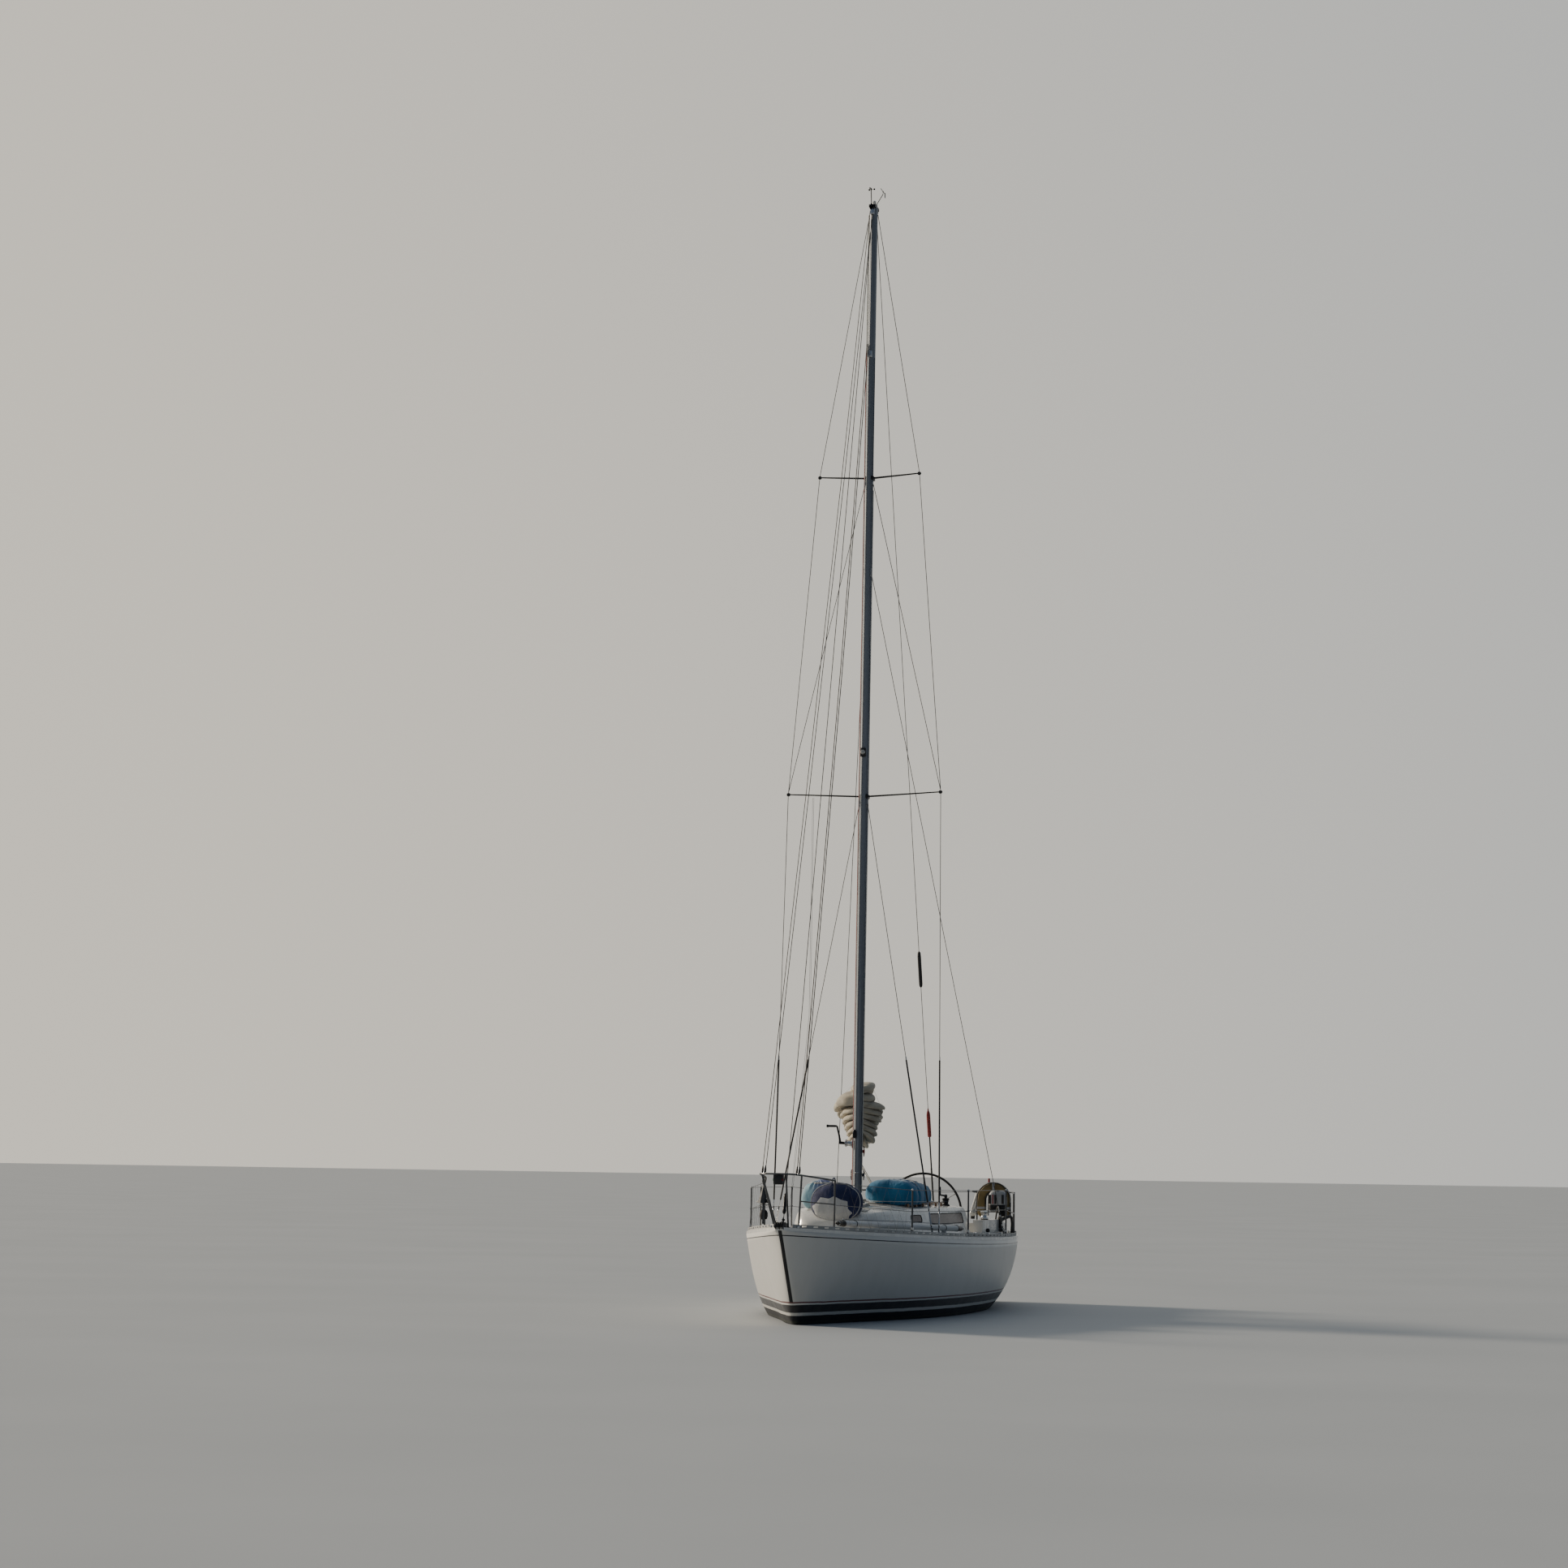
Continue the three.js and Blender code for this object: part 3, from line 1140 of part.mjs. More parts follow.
addPiece('sail_bag_navy', sack(2840, 53, 420, 756, 480, 1378), finish.navyCloth);
addPiece('sail_bag_turquoise', sack(3168, -290, 225, 500, 387, 1513), finish.turquoiseCloth);
addPiece('covered_dinghy', makeBundle(), finish.turquoiseCloth);
addPiece('steering_pedestal', makePedestal(), finish.gelcoat);
addPiece('steering_wheel', makeWheel(), finish.black);
addPiece('companionway_hatch', makeSlideHatch(), finish.gelcoat);
addPiece('washboard', makeWashboard(), finish.smokedGlass);
addPiece('forehatch', makeForeHatch(), finish.smokedGlass);
addPiece('anchor_locker_lid', makeAnchorLid(), finish.deck);
addPiece('boarding_ladder', makeLadder(), finish.stainless);
addPiece('plough_anchor', makeAnchor(), finish.castIron);
addPiece('lifebuoy', buoyForm(), finish.tan);
addPiece('outboard_motor', makeMotor(), finish.motorPaint);
for (const side of sides) {
  addPiece(`toe_rail_${side.name}`, makeToeRail(side), finish.bronzeAnodised);
  addPiece(`lifelines_${side.name}`, makeLifelines(side), finish.stainless);
  addPiece(`cap_shroud_${side.name}`, makeCapShroud(side), finish.stainless);
  addPiece(`lower_shroud_${side.name}`, makeLowerShroud(side), finish.stainless);
  addPiece(`running_backstay_${side.name}`, makeRunner(side), finish.stainless);
  addPiece(`locker_lid_${side.name}`, makeLockerLid(side), finish.deck);
  for (const row of windowTable) {
    addPiece(`window_${side.name}_${row.name}`, makePane(row, side), finish.smokedGlass);
  }
  for (const row of spreaderTable) {
    addPiece(`spreader_${side.name}_${row.name}`, makeSpreader(row, side), finish.anodised);
  }
  for (const row of winchTable) {
    addPiece(`winch_${row.name}_${side.name}`, makeWinch(row, side), finish.stainless);
  }
}

part.updateMatrixWorld(true);

export default part;
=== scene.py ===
"""A ten-metre sailing yacht afloat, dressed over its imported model.

Metres. +X forward, +Y to port, +Z up. The origin is on the waterline, on the centreline, amidships.
Boat lines are worked in millimetres, with "aft" the distance behind the stem head.
"""
from math import atan2, copysign, cos, exp, hypot, pi, radians, sin

import bmesh
import bpy
from mathutils import Matrix, Vector, noise
from mathutils.bvhtree import BVHTree


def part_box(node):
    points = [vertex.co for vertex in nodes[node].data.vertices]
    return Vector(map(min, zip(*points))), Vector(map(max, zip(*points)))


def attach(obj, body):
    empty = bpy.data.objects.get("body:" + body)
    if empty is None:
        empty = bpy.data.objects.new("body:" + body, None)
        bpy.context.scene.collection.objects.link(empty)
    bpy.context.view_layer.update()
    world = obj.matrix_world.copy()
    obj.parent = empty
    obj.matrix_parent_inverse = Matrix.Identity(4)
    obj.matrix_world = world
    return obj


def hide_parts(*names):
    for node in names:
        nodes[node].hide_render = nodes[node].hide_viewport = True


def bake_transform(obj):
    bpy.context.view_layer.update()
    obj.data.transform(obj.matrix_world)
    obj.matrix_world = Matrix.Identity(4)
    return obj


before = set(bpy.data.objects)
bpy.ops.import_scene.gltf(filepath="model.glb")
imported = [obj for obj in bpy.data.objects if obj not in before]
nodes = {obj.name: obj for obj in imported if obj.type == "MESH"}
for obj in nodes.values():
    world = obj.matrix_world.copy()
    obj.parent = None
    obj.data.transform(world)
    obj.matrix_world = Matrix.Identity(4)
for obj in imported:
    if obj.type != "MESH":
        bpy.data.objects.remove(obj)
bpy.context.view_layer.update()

# Camera: place, heading off the -X axis, pitch up, roll and lens
EYE = Vector((42.488, 10.046, 1.956))
HEADING = 0.2625
PITCH = 0.1289
ROLL = 0.0154
LENS = 68.93

SIDES = (("port", 1), ("starboard", -1))


def add_camera():
    ahead = Vector((-cos(HEADING) * cos(PITCH), -sin(HEADING) * cos(PITCH), sin(PITCH)))
    level = ahead.cross(Vector((0, 0, 1))).normalized()
    upright = level.cross(ahead)
    right = level * cos(ROLL) + upright * sin(ROLL)
    up = upright * cos(ROLL) - level * sin(ROLL)
    camera = bpy.data.objects.new("camera", bpy.data.cameras.new("camera"))
    camera.data.lens = LENS
    camera.data.sensor_width = 36
    camera.data.clip_end = 6000
    turn = Matrix((right, up, -ahead)).transposed()
    camera.matrix_world = Matrix.Translation(EYE) @ turn.to_4x4()
    bpy.context.scene.collection.objects.link(camera)
    bpy.context.scene.camera = camera


add_camera()

# Boat lines in millimetres, the same as the part's own
HULL_COLUMNS = ("aft", "beam", "keel", "bilge", "side", "shoulder")
HULL_LINES = (
    (0, 45, 0, 0.20, 0.50, 0.42),
    (400, 260, 0, 0.20, 0.50, 0.38),
    (853, 480, 0, 0.20, 0.55, 0.36),
    (1300, 680, -265, 0.25, 0.60, 0.38),
    (2000, 960, -375, 0.35, 0.72, 0.36),
    (2750, 1203, -425, 0.50, 0.84, 0.29),
    (3500, 1385, -460, 0.66, 0.92, 0.26),
    (4500, 1565, -492, 0.74, 0.96, 0.28),
    (5500, 1675, -500, 0.72, 0.97, 0.31),
    (6300, 1712, -485, 0.70, 0.97, 0.32),
    (7000, 1700, -445, 0.69, 0.97, 0.33),
    (7800, 1635, -345, 0.67, 0.96, 0.32),
    (8800, 1463, -120, 0.65, 0.95, 0.27),
    (9750, 1225, 100, 0.62, 0.94, 0.20),
)
ROOF_COLUMNS = ("aft", "base", "roof", "height")
ROOF_LINES = (
    (2720, 400, 330, 1262),
    (2800, 500, 430, 1345),
    (2950, 590, 515, 1420),
    (3200, 670, 590, 1450),
    (3800, 800, 715, 1470),
    (4500, 900, 812, 1485),
    (5500, 985, 895, 1492),
    (6500, 1010, 920, 1492),
    (7350, 1000, 910, 1490),
)
STEM_HEIGHT = 1270
STEM_FOOT = 853
STERN_AFT = 9750
DECK_THICKNESS = 40
CAMBER = 0.035
ROOF_CAMBER = 60
MAST_AFT = 4230
MAST_RAKE = 0.0218
MAST_RAKE_FROM = 1440
MASTHEAD = 16.2


def line_value(rows, column, aft):
    """One column of a table at a station, on a smooth curve through the rows."""
    last = len(rows) - 1
    if aft <= rows[0][0]:
        return rows[0][column]
    if aft >= rows[last][0]:
        return rows[last][column]
    at = next(i for i, row in enumerate(rows) if row[0] > aft) - 1

    def slope(index):
        low, high = rows[max(index - 1, 0)], rows[min(index + 1, last)]
        return (high[column] - low[column]) / (high[0] - low[0])

    span = rows[at + 1][0] - rows[at][0]
    t = (aft - rows[at][0]) / span
    p, q = rows[at][column], rows[at + 1][column]
    m, n = slope(at) * span, slope(at + 1) * span
    return (2 * p - 2 * q + m + n) * t**3 + (3 * q - 3 * p - 2 * m - n) * t**2 + m * t + p


def hull_value(name, aft):
    if name == "keel" and aft < STEM_FOOT:
        return STEM_HEIGHT * (1 - aft / STEM_FOOT)
    return line_value(HULL_LINES, HULL_COLUMNS.index(name), aft)


def roof_value(name, aft):
    return line_value(ROOF_LINES, ROOF_COLUMNS.index(name), aft)


def sheer(aft):
    lowest = 7800
    if aft < lowest:
        return 1070 + 200 * ((lowest - aft) / lowest) ** 2
    return 1070 + 12 * ((aft - lowest) / (STERN_AFT - lowest)) ** 2


def deck_top(aft, y):
    beam = hull_value("beam", aft)
    return sheer(aft) + CAMBER * beam * (1 - min(1, (y / beam) ** 2))


def roof_top(aft, y):
    return roof_value("height", aft) + ROOF_CAMBER * (1 - (y / roof_value("roof", aft)) ** 2)


def place(aft, y, z):
    """A point in metres from millimetres: aft of the stem head, to port, above the water."""
    return Vector((5 - aft / 1000, y / 1000, z / 1000))


def on_deck(aft, y, lift=0):
    return place(aft, y, deck_top(aft, y) + lift)


def on_roof(aft, y, lift=0):
    return place(aft, y, roof_top(aft, y) + lift)


def on_mast(z, ahead=0.0, y=0.0):
    """A point in metres by its height, its distance ahead of the mast's axis and to port of it."""
    return Vector((5 - (MAST_AFT + (z * 1000 - MAST_RAKE_FROM) * MAST_RAKE) / 1000 + ahead, y, z))


def up(z):
    return Vector((0, 0, z))


def boxy(value, power):
    """A cosine or sine made flatter at its ends, for rounded-square sections."""
    return copysign(abs(value) ** power, value)


def smooth_line(points, steps):
    """Points on a smooth curve through the given ones."""
    points = [Vector(p) for p in points]
    ends = [2 * points[0] - points[1], *points, 2 * points[-1] - points[-2]]
    line = []
    for index in range(len(points) - 1):
        a, b, c, d = ends[index : index + 4]
        for step in range(steps):
            t = step / steps
            curve = (2 * a - 5 * b + 4 * c - d) * t**2 + (3 * b - a - 3 * c + d) * t**3
            line.append(0.5 * (2 * b + (c - a) * t + curve))
    return [*line, points[-1]]


class Look:
    """One procedural material, its nodes wired by short calls."""

    def __init__(self, name, roughness=0.5, metallic=0.0, fixed=()):
        self.material = bpy.data.materials.new(name)
        self.material.use_nodes = True
        self.tree = self.material.node_tree
        self.shader = self.tree.nodes["Principled BSDF"]
        self.shader.inputs["Roughness"].default_value = roughness
        self.shader.inputs["Metallic"].default_value = metallic
        for socket, value in dict(fixed).items():
            self.shader.inputs[socket].default_value = value

    def node(self, kind, inputs=(), **settings):
        made = self.tree.nodes.new("ShaderNode" + kind)
        for key, value in settings.items():
            setattr(made, key, value)
        for key, value in dict(inputs).items():
            if isinstance(value, bpy.types.NodeSocket):
                self.tree.links.new(value, made.inputs[key])
            else:
                made.inputs[key].default_value = value
        return made

    def spot(self, stretch=(1, 1, 1)):
        here = self.node("TexCoord").outputs["Object"]
        return self.node("Mapping", {"Vector": here, "Scale": stretch}).outputs[0]

    def axes(self):
        here = self.node("TexCoord").outputs["Object"]
        return self.node("SeparateXYZ", {"Vector": here}).outputs

    def noise(self, scale, detail=5.0, stretch=(1, 1, 1), warp=0.0):
        inputs = {"Vector": self.spot(stretch), "Scale": scale, "Detail": detail, "Distortion": warp}
        return self.node("TexNoise", inputs).outputs[0]

    def wave(self, scale, axis):
        inputs = {"Vector": self.spot(), "Scale": scale}
        return self.node("TexWave", inputs, bands_direction=axis).outputs["Fac"]

    def cells(self, scale, feature="F1"):
        inputs = {"Vector": self.spot(), "Scale": scale}
        return self.node("TexVoronoi", inputs, feature=feature).outputs["Distance"]

    def ramp(self, source, stops, steps=False):
        made = self.node("ValToRGB", {"Fac": source})
        ramp = made.color_ramp
        ramp.interpolation = "CONSTANT" if steps else "LINEAR"
        while len(ramp.elements) < len(stops):
            ramp.elements.new(0.5)
        for element, (at, colour) in zip(ramp.elements, stops):
            element.position = at
            element.color = (*colour, 1)
        return made.outputs["Color"]

    def math(self, operation, first, second=0.0):
        return self.node("Math", {0: first, 1: second}, operation=operation).outputs[0]

    def span(self, source, low, high, out_low=0.0, out_high=1.0):
        inputs = {"Value": source, "From Min": low, "From Max": high, "To Min": out_low, "To Max": out_high}
        return self.node("MapRange", inputs).outputs[0]

    def mix(self, share, low, high, blend="MIX"):
        made = self.node("Mix", data_type="RGBA", blend_type=blend)
        for key, value in ((0, share), (6, low), (7, high)):
            if isinstance(value, bpy.types.NodeSocket):
                self.tree.links.new(value, made.inputs[key])
            else:
                made.inputs[key].default_value = value if key == 0 else (*value, 1)
        return made.outputs[2]

    def weave(self, scale, first="Z", second="Y"):
        return self.math("MULTIPLY", self.wave(scale, first), self.wave(scale, second))

    def colour(self, source):
        self.tree.links.new(source, self.shader.inputs["Base Color"])
        return self

    def gloss(self, source, low, high):
        self.tree.links.new(self.span(source, 0.3, 0.7, low, high), self.shader.inputs["Roughness"])
        return self

    def bump(self, height, strength, distance=0.002):
        made = self.node("Bump", {"Strength": strength, "Distance": distance, "Height": height})
        normal = self.shader.inputs["Normal"]
        if normal.is_linked:
            self.tree.links.new(normal.links[0].from_socket, made.inputs["Normal"])
        self.tree.links.new(made.outputs[0], normal)
        return self


# Finishes that differ only in their numbers. Columns: name, dark and light colour, mottle (size of the
# colour's patches), gloss (roughness from and to), metallic, grain (fineness of the bump), bump, and where
# needed pull (how the grain is stretched along X, Y and Z) and fixed values of the shader.
FINISHES = (
    (
        "gelcoat", (0.66, 0.65, 0.61), (0.78, 0.77, 0.73), 2.2, (0.18, 0.34), 0, 240, 0.04, (1, 1, 1),
        {"Coat Weight": 0.3},
    ),
    ("liner", (0.55, 0.53, 0.48), (0.68, 0.66, 0.60), 3, (0.45, 0.6), 0, 160, 0.1),
    ("wood", (0.16, 0.075, 0.03), (0.34, 0.17, 0.075), 5, (0.35, 0.55), 0, 60, 0.15, (0.12, 1, 1)),
    ("teak", (0.20, 0.13, 0.075), (0.36, 0.25, 0.15), 6, (0.6, 0.8), 0, 90, 0.3, (0.1, 1, 1)),
    ("bottom_paint", (0.010, 0.013, 0.020), (0.026, 0.032, 0.044), 4, (0.6, 0.85), 0, 70, 0.3),
    ("engine_paint", (0.10, 0.14, 0.125), (0.18, 0.23, 0.205), 7, (0.4, 0.6), 0.1, 90, 0.15),
    ("bronze", (0.30, 0.18, 0.065), (0.52, 0.34, 0.14), 12, (0.22, 0.42), 1, 160, 0.1),
    ("black_metal", (0.006, 0.006, 0.007), (0.018, 0.018, 0.020), 9, (0.3, 0.5), 0.4, 200, 0.08),
    ("black_plastic", (0.008, 0.008, 0.009), (0.022, 0.022, 0.024), 9, (0.45, 0.65), 0, 260, 0.12),
    ("stainless", (0.42, 0.43, 0.44), (0.66, 0.67, 0.68), 14, (0.12, 0.30), 1, 300, 0.05, (1, 1, 0.2)),
    ("mast_metal", (0.18, 0.20, 0.225), (0.29, 0.31, 0.34), 5, (0.42, 0.58), 0.35, 220, 0.06, (1, 1, 0.02)),
    ("pole_metal", (0.40, 0.42, 0.44), (0.56, 0.58, 0.60), 5, (0.40, 0.55), 0.2, 220, 0.06, (0.03, 1, 1)),
    (
        "boom_metal", (0.24, 0.255, 0.27), (0.36, 0.375, 0.39), 5, (0.40, 0.55), 0.35, 220, 0.06,
        (0.03, 1, 1),
    ),
    ("rail_metal", (0.30, 0.30, 0.29), (0.42, 0.42, 0.41), 8, (0.45, 0.6), 0.15, 150, 0.08, (0.1, 1, 1)),
    ("rope_white", (0.48, 0.47, 0.43), (0.74, 0.73, 0.68), 60, (0.75, 0.9), 0, 420, 0.5),
    ("rope_dark", (0.020, 0.024, 0.040), (0.07, 0.08, 0.11), 60, (0.75, 0.9), 0, 420, 0.5),
    ("rope_brown", (0.050, 0.040, 0.034), (0.13, 0.11, 0.09), 60, (0.8, 0.95), 0, 420, 0.5),
    ("wire", (0.035, 0.036, 0.038), (0.085, 0.087, 0.090), 30, (0.5, 0.7), 0.6, 420, 0.5, (1, 1, 0.1)),
    ("cord_grey", (0.13, 0.13, 0.125), (0.22, 0.22, 0.21), 60, (0.75, 0.9), 0, 420, 0.5),
    (
        "rail_tube", (0.055, 0.057, 0.060), (0.14, 0.143, 0.147), 14, (0.28, 0.42), 0.85, 260, 0.05,
        (1, 1, 0.2),
    ),
    ("rope_red", (0.28, 0.02, 0.02), (0.42, 0.10, 0.08), 60, (0.75, 0.9), 0, 420, 0.5),
    ("leather", (0.006, 0.006, 0.006), (0.020, 0.018, 0.017), 25, (0.5, 0.7), 0, 380, 0.4),
    (
        "red_paint", (0.22, 0.010, 0.010), (0.36, 0.022, 0.018), 6, (0.25, 0.42), 0, 160, 0.05, (1, 1, 1),
        {"Coat Weight": 0.3},
    ),
    ("pale_plastic", (0.34, 0.34, 0.34), (0.46, 0.46, 0.455), 8, (0.4, 0.55), 0, 220, 0.06),
    ("white_plastic", (0.60, 0.60, 0.58), (0.74, 0.74, 0.71), 8, (0.35, 0.5), 0, 220, 0.06),
    ("galvanised", (0.035, 0.037, 0.040), (0.095, 0.098, 0.102), 16, (0.5, 0.72), 0.7, 110, 0.3),
    ("rubber", (0.008, 0.008, 0.008), (0.018, 0.018, 0.018), 20, (0.65, 0.85), 0, 260, 0.2),
)


def plain_finish(name, dark, light, mottle, gloss, metallic, grain, bump, pull=(1, 1, 1), fixed=()):
    look = Look(name, metallic=metallic, fixed=fixed)
    patches = look.noise(mottle, 6.0, pull)
    look.colour(look.ramp(patches, ((0.3, dark), (0.7, light))))
    look.gloss(look.noise(mottle * 2.7, 4.0, pull), *gloss)
    look.bump(look.noise(grain, 3.0, pull), bump, 0.001)
    return look.material


looks = {row[0]: plain_finish(*row) for row in FINISHES}

# Hull stripes by height above the water: height up to which the colour above it starts
WATER_LOW = -0.1
WATER_HIGH = 0.4
STRIPES = (
    (-0.1, (0.010, 0.013, 0.019)),
    (0.012, (0.022, 0.026, 0.020)),
    (0.045, (0.008, 0.009, 0.013)),
    (0.12, (0.62, 0.61, 0.57)),
    (0.16, (0.003, 0.004, 0.012)),
    (0.26, (0.66, 0.65, 0.61)),
    (0.283, (0.12, 0.014, 0.018)),
    (0.302, (0.66, 0.65, 0.61)),
)
COVE = {"below_deck": 0.1, "half": 0.0065}


def hull_finish():
    look = Look(
        "hull_gelcoat", fixed={"Coat Weight": 0.12, "Coat Roughness": 0.2, "Specular IOR Level": 0.35},
    )
    x, y, z = look.axes()
    wobble = look.span(look.noise(3.0, 3.0), 0.3, 0.7, -0.003, 0.003)
    height = look.span(look.math("ADD", z, wobble), WATER_LOW, WATER_HIGH)
    stops = [((at - WATER_LOW) / (WATER_HIGH - WATER_LOW), colour) for at, colour in STRIPES]
    bands = look.ramp(height, stops, steps=True)
    ahead = look.math("MAXIMUM", look.math("MULTIPLY", look.math("ADD", x, 2.8), 1 / 7.8), 0.0)
    edge = look.math("ADD", look.math("MULTIPLY", look.math("MULTIPLY", ahead, ahead), 0.2), 1.07)
    line = look.math("ABSOLUTE", look.math("SUBTRACT", look.math("SUBTRACT", edge, z), COVE["below_deck"]))
    cove = look.math("LESS_THAN", line, COVE["half"])
    stem = look.math("LESS_THAN", look.math("ABSOLUTE", y), 0.024)
    stem = look.math("MULTIPLY", stem, look.math("GREATER_THAN", x, 4.0))
    stem = look.math("MULTIPLY", stem, look.math("GREATER_THAN", z, 0.30))
    dark = look.math("MAXIMUM", cove, stem)
    streaks = look.ramp(look.noise(5.0, 6.0, (1, 1, 0.12)), ((0.35, (0.93, 0.93, 0.92)), (0.6, (1, 1, 1))))
    soiled = look.mix(0.5, bands, streaks, "MULTIPLY")
    low_dirt = look.math("MULTIPLY", look.span(z, 0.75, 0.3), look.noise(9.0, 6.0, (1, 1, 0.3)))
    stained = look.mix(look.math("MULTIPLY", low_dirt, 0.14), soiled, (0.36, 0.33, 0.26))
    paint = look.math("LESS_THAN", z, 0.12)
    stained = look.mix(paint, stained, bands)
    look.colour(look.mix(dark, stained, (0.008, 0.008, 0.010)))
    rough = look.math(
        "ADD", look.math("MULTIPLY", paint, 0.4), look.span(look.noise(6.0), 0.3, 0.7, 0.30, 0.40),
    )
    look.tree.links.new(rough, look.shader.inputs["Roughness"])
    look.bump(look.noise(1.6, 3.0), 0.05, 0.01)
    look.bump(look.math("MULTIPLY", look.noise(90.0), paint), 0.3, 0.002)
    return look.material


def nonskid_finish():
    look = Look("nonskid")
    patches = look.noise(1.8, 6.0)
    look.colour(look.ramp(patches, ((0.3, (0.47, 0.46, 0.42)), (0.7, (0.57, 0.56, 0.52)))))
    look.gloss(look.noise(7.0), 0.68, 0.86)
    look.bump(look.cells(210.0), 0.6, 0.0015)
    look.bump(look.noise(3.0), 0.1, 0.003)
    return look.material


CANVAS = {"Sheen Weight": 0.35, "Sheen Roughness": 0.4, "Specular IOR Level": 0.25}


def cloth_finish(name, dark, light, worn):
    look = Look(name, fixed=CANVAS)
    patches = look.noise(3.5, 7.0, warp=0.6)
    base = look.ramp(patches, ((0.28, dark), (0.72, light)))
    faded = look.span(look.noise(1.3, 4.0), 0.45, 0.75)
    look.colour(look.mix(look.math("MULTIPLY", faded, 0.35), base, worn))
    look.gloss(look.noise(11.0), 0.72, 0.92)
    look.bump(look.noise(9.0, 5.0, warp=1.2), 0.35, 0.02)
    look.bump(look.weave(340.0), 0.3, 0.0008)
    return look.material


def sail_finish():
    look = Look("sailcloth", fixed={"Sheen Weight": 0.15, "Specular IOR Level": 0.3})
    patches = look.noise(2.2, 7.0, warp=0.5)
    base = look.ramp(patches, ((0.28, (0.42, 0.375, 0.285)), (0.72, (0.54, 0.49, 0.385))))
    # Painted shade between the folds: noise bands stretched along the boom mix the cloth toward a darker
    # colour
    folds = look.span(look.noise(6.0, 5.0, (0.35, 1, 2.2)), 0.35, 0.5)
    look.colour(look.mix(folds, (0.34, 0.30, 0.235), base))
    look.gloss(look.noise(9.0), 0.6, 0.85)
    look.bump(look.noise(5.0, 5.0, (0.5, 1, 1.6), warp=1.0), 0.35, 0.02)
    look.bump(look.cells(16.0, "DISTANCE_TO_EDGE"), 0.12, 0.006)
    look.bump(look.noise(320.0), 0.15, 0.0008)
    return look.material


def acrylic_finish():
    fixed = {"Transmission Weight": 0.22, "IOR": 1.40, "Specular IOR Level": 0.15}
    look = Look("smoked_acrylic", fixed=fixed)
    look.colour(look.ramp(look.noise(4.0, 4.0), ((0.3, (0.085, 0.050, 0.042)), (0.7, (0.140, 0.085, 0.072)))))
    look.gloss(look.noise(16.0), 0.14, 0.26)
    look.bump(look.noise(2.5), 0.03, 0.004)
    return look.material


def foam_cover_finish():
    look = Look("tan_cover", fixed={"Sheen Weight": 0.3, "Specular IOR Level": 0.3})
    patches = look.noise(7.0, 6.0, warp=0.4)
    base = look.ramp(patches, ((0.28, (0.155, 0.110, 0.042)), (0.72, (0.27, 0.195, 0.075))))
    grime = look.span(look.noise(3.0, 6.0), 0.5, 0.72)
    look.colour(look.mix(look.math("MULTIPLY", grime, 0.5), base, (0.10, 0.082, 0.045)))
    look.gloss(look.noise(13.0), 0.55, 0.8)
    look.bump(look.weave(260.0), 0.3, 0.0008)
    look.bump(look.noise(14.0, 5.0, warp=1.0), 0.4, 0.012)
    return look.material


def lamp_finish(name, tint):
    look = Look(name, roughness=0.1, fixed={"Transmission Weight": 0.35, "IOR": 1.46})
    dark = tuple(c * 0.7 for c in tint)
    look.colour(look.ramp(look.noise(40.0), ((0.3, dark), (0.7, tint))))
    look.bump(look.wave(160.0, "Z"), 0.3, 0.001)
    return look.material


looks["hull"] = hull_finish()
looks["nonskid"] = nonskid_finish()
looks["navy"] = cloth_finish("navy_canvas", (0.014, 0.022, 0.070), (0.030, 0.044, 0.125), (0.06, 0.075, 0.16))
looks["turquoise"] = cloth_finish(
    "turquoise_canvas", (0.018, 0.120, 0.245), (0.036, 0.205, 0.375), (0.11, 0.30, 0.42),
)
looks["pale_canvas"] = cloth_finish("pale_canvas", (0.30, 0.31, 0.33), (0.48, 0.49, 0.50), (0.4, 0.4, 0.39))
looks["cushion"] = cloth_finish("cushion_cloth", (0.05, 0.08, 0.16), (0.08, 0.12, 0.22), (0.12, 0.15, 0.24))
looks["sail"] = sail_finish()
looks["acrylic"] = acrylic_finish()
looks["tan"] = foam_cover_finish()
looks["lamp_white"] = lamp_finish("lamp_white", (0.80, 0.80, 0.76))
looks["lamp_red"] = lamp_finish("lamp_red", (0.26, 0.02, 0.02))
looks["lamp_green"] = lamp_finish("lamp_green", (0.015, 0.17, 0.08))


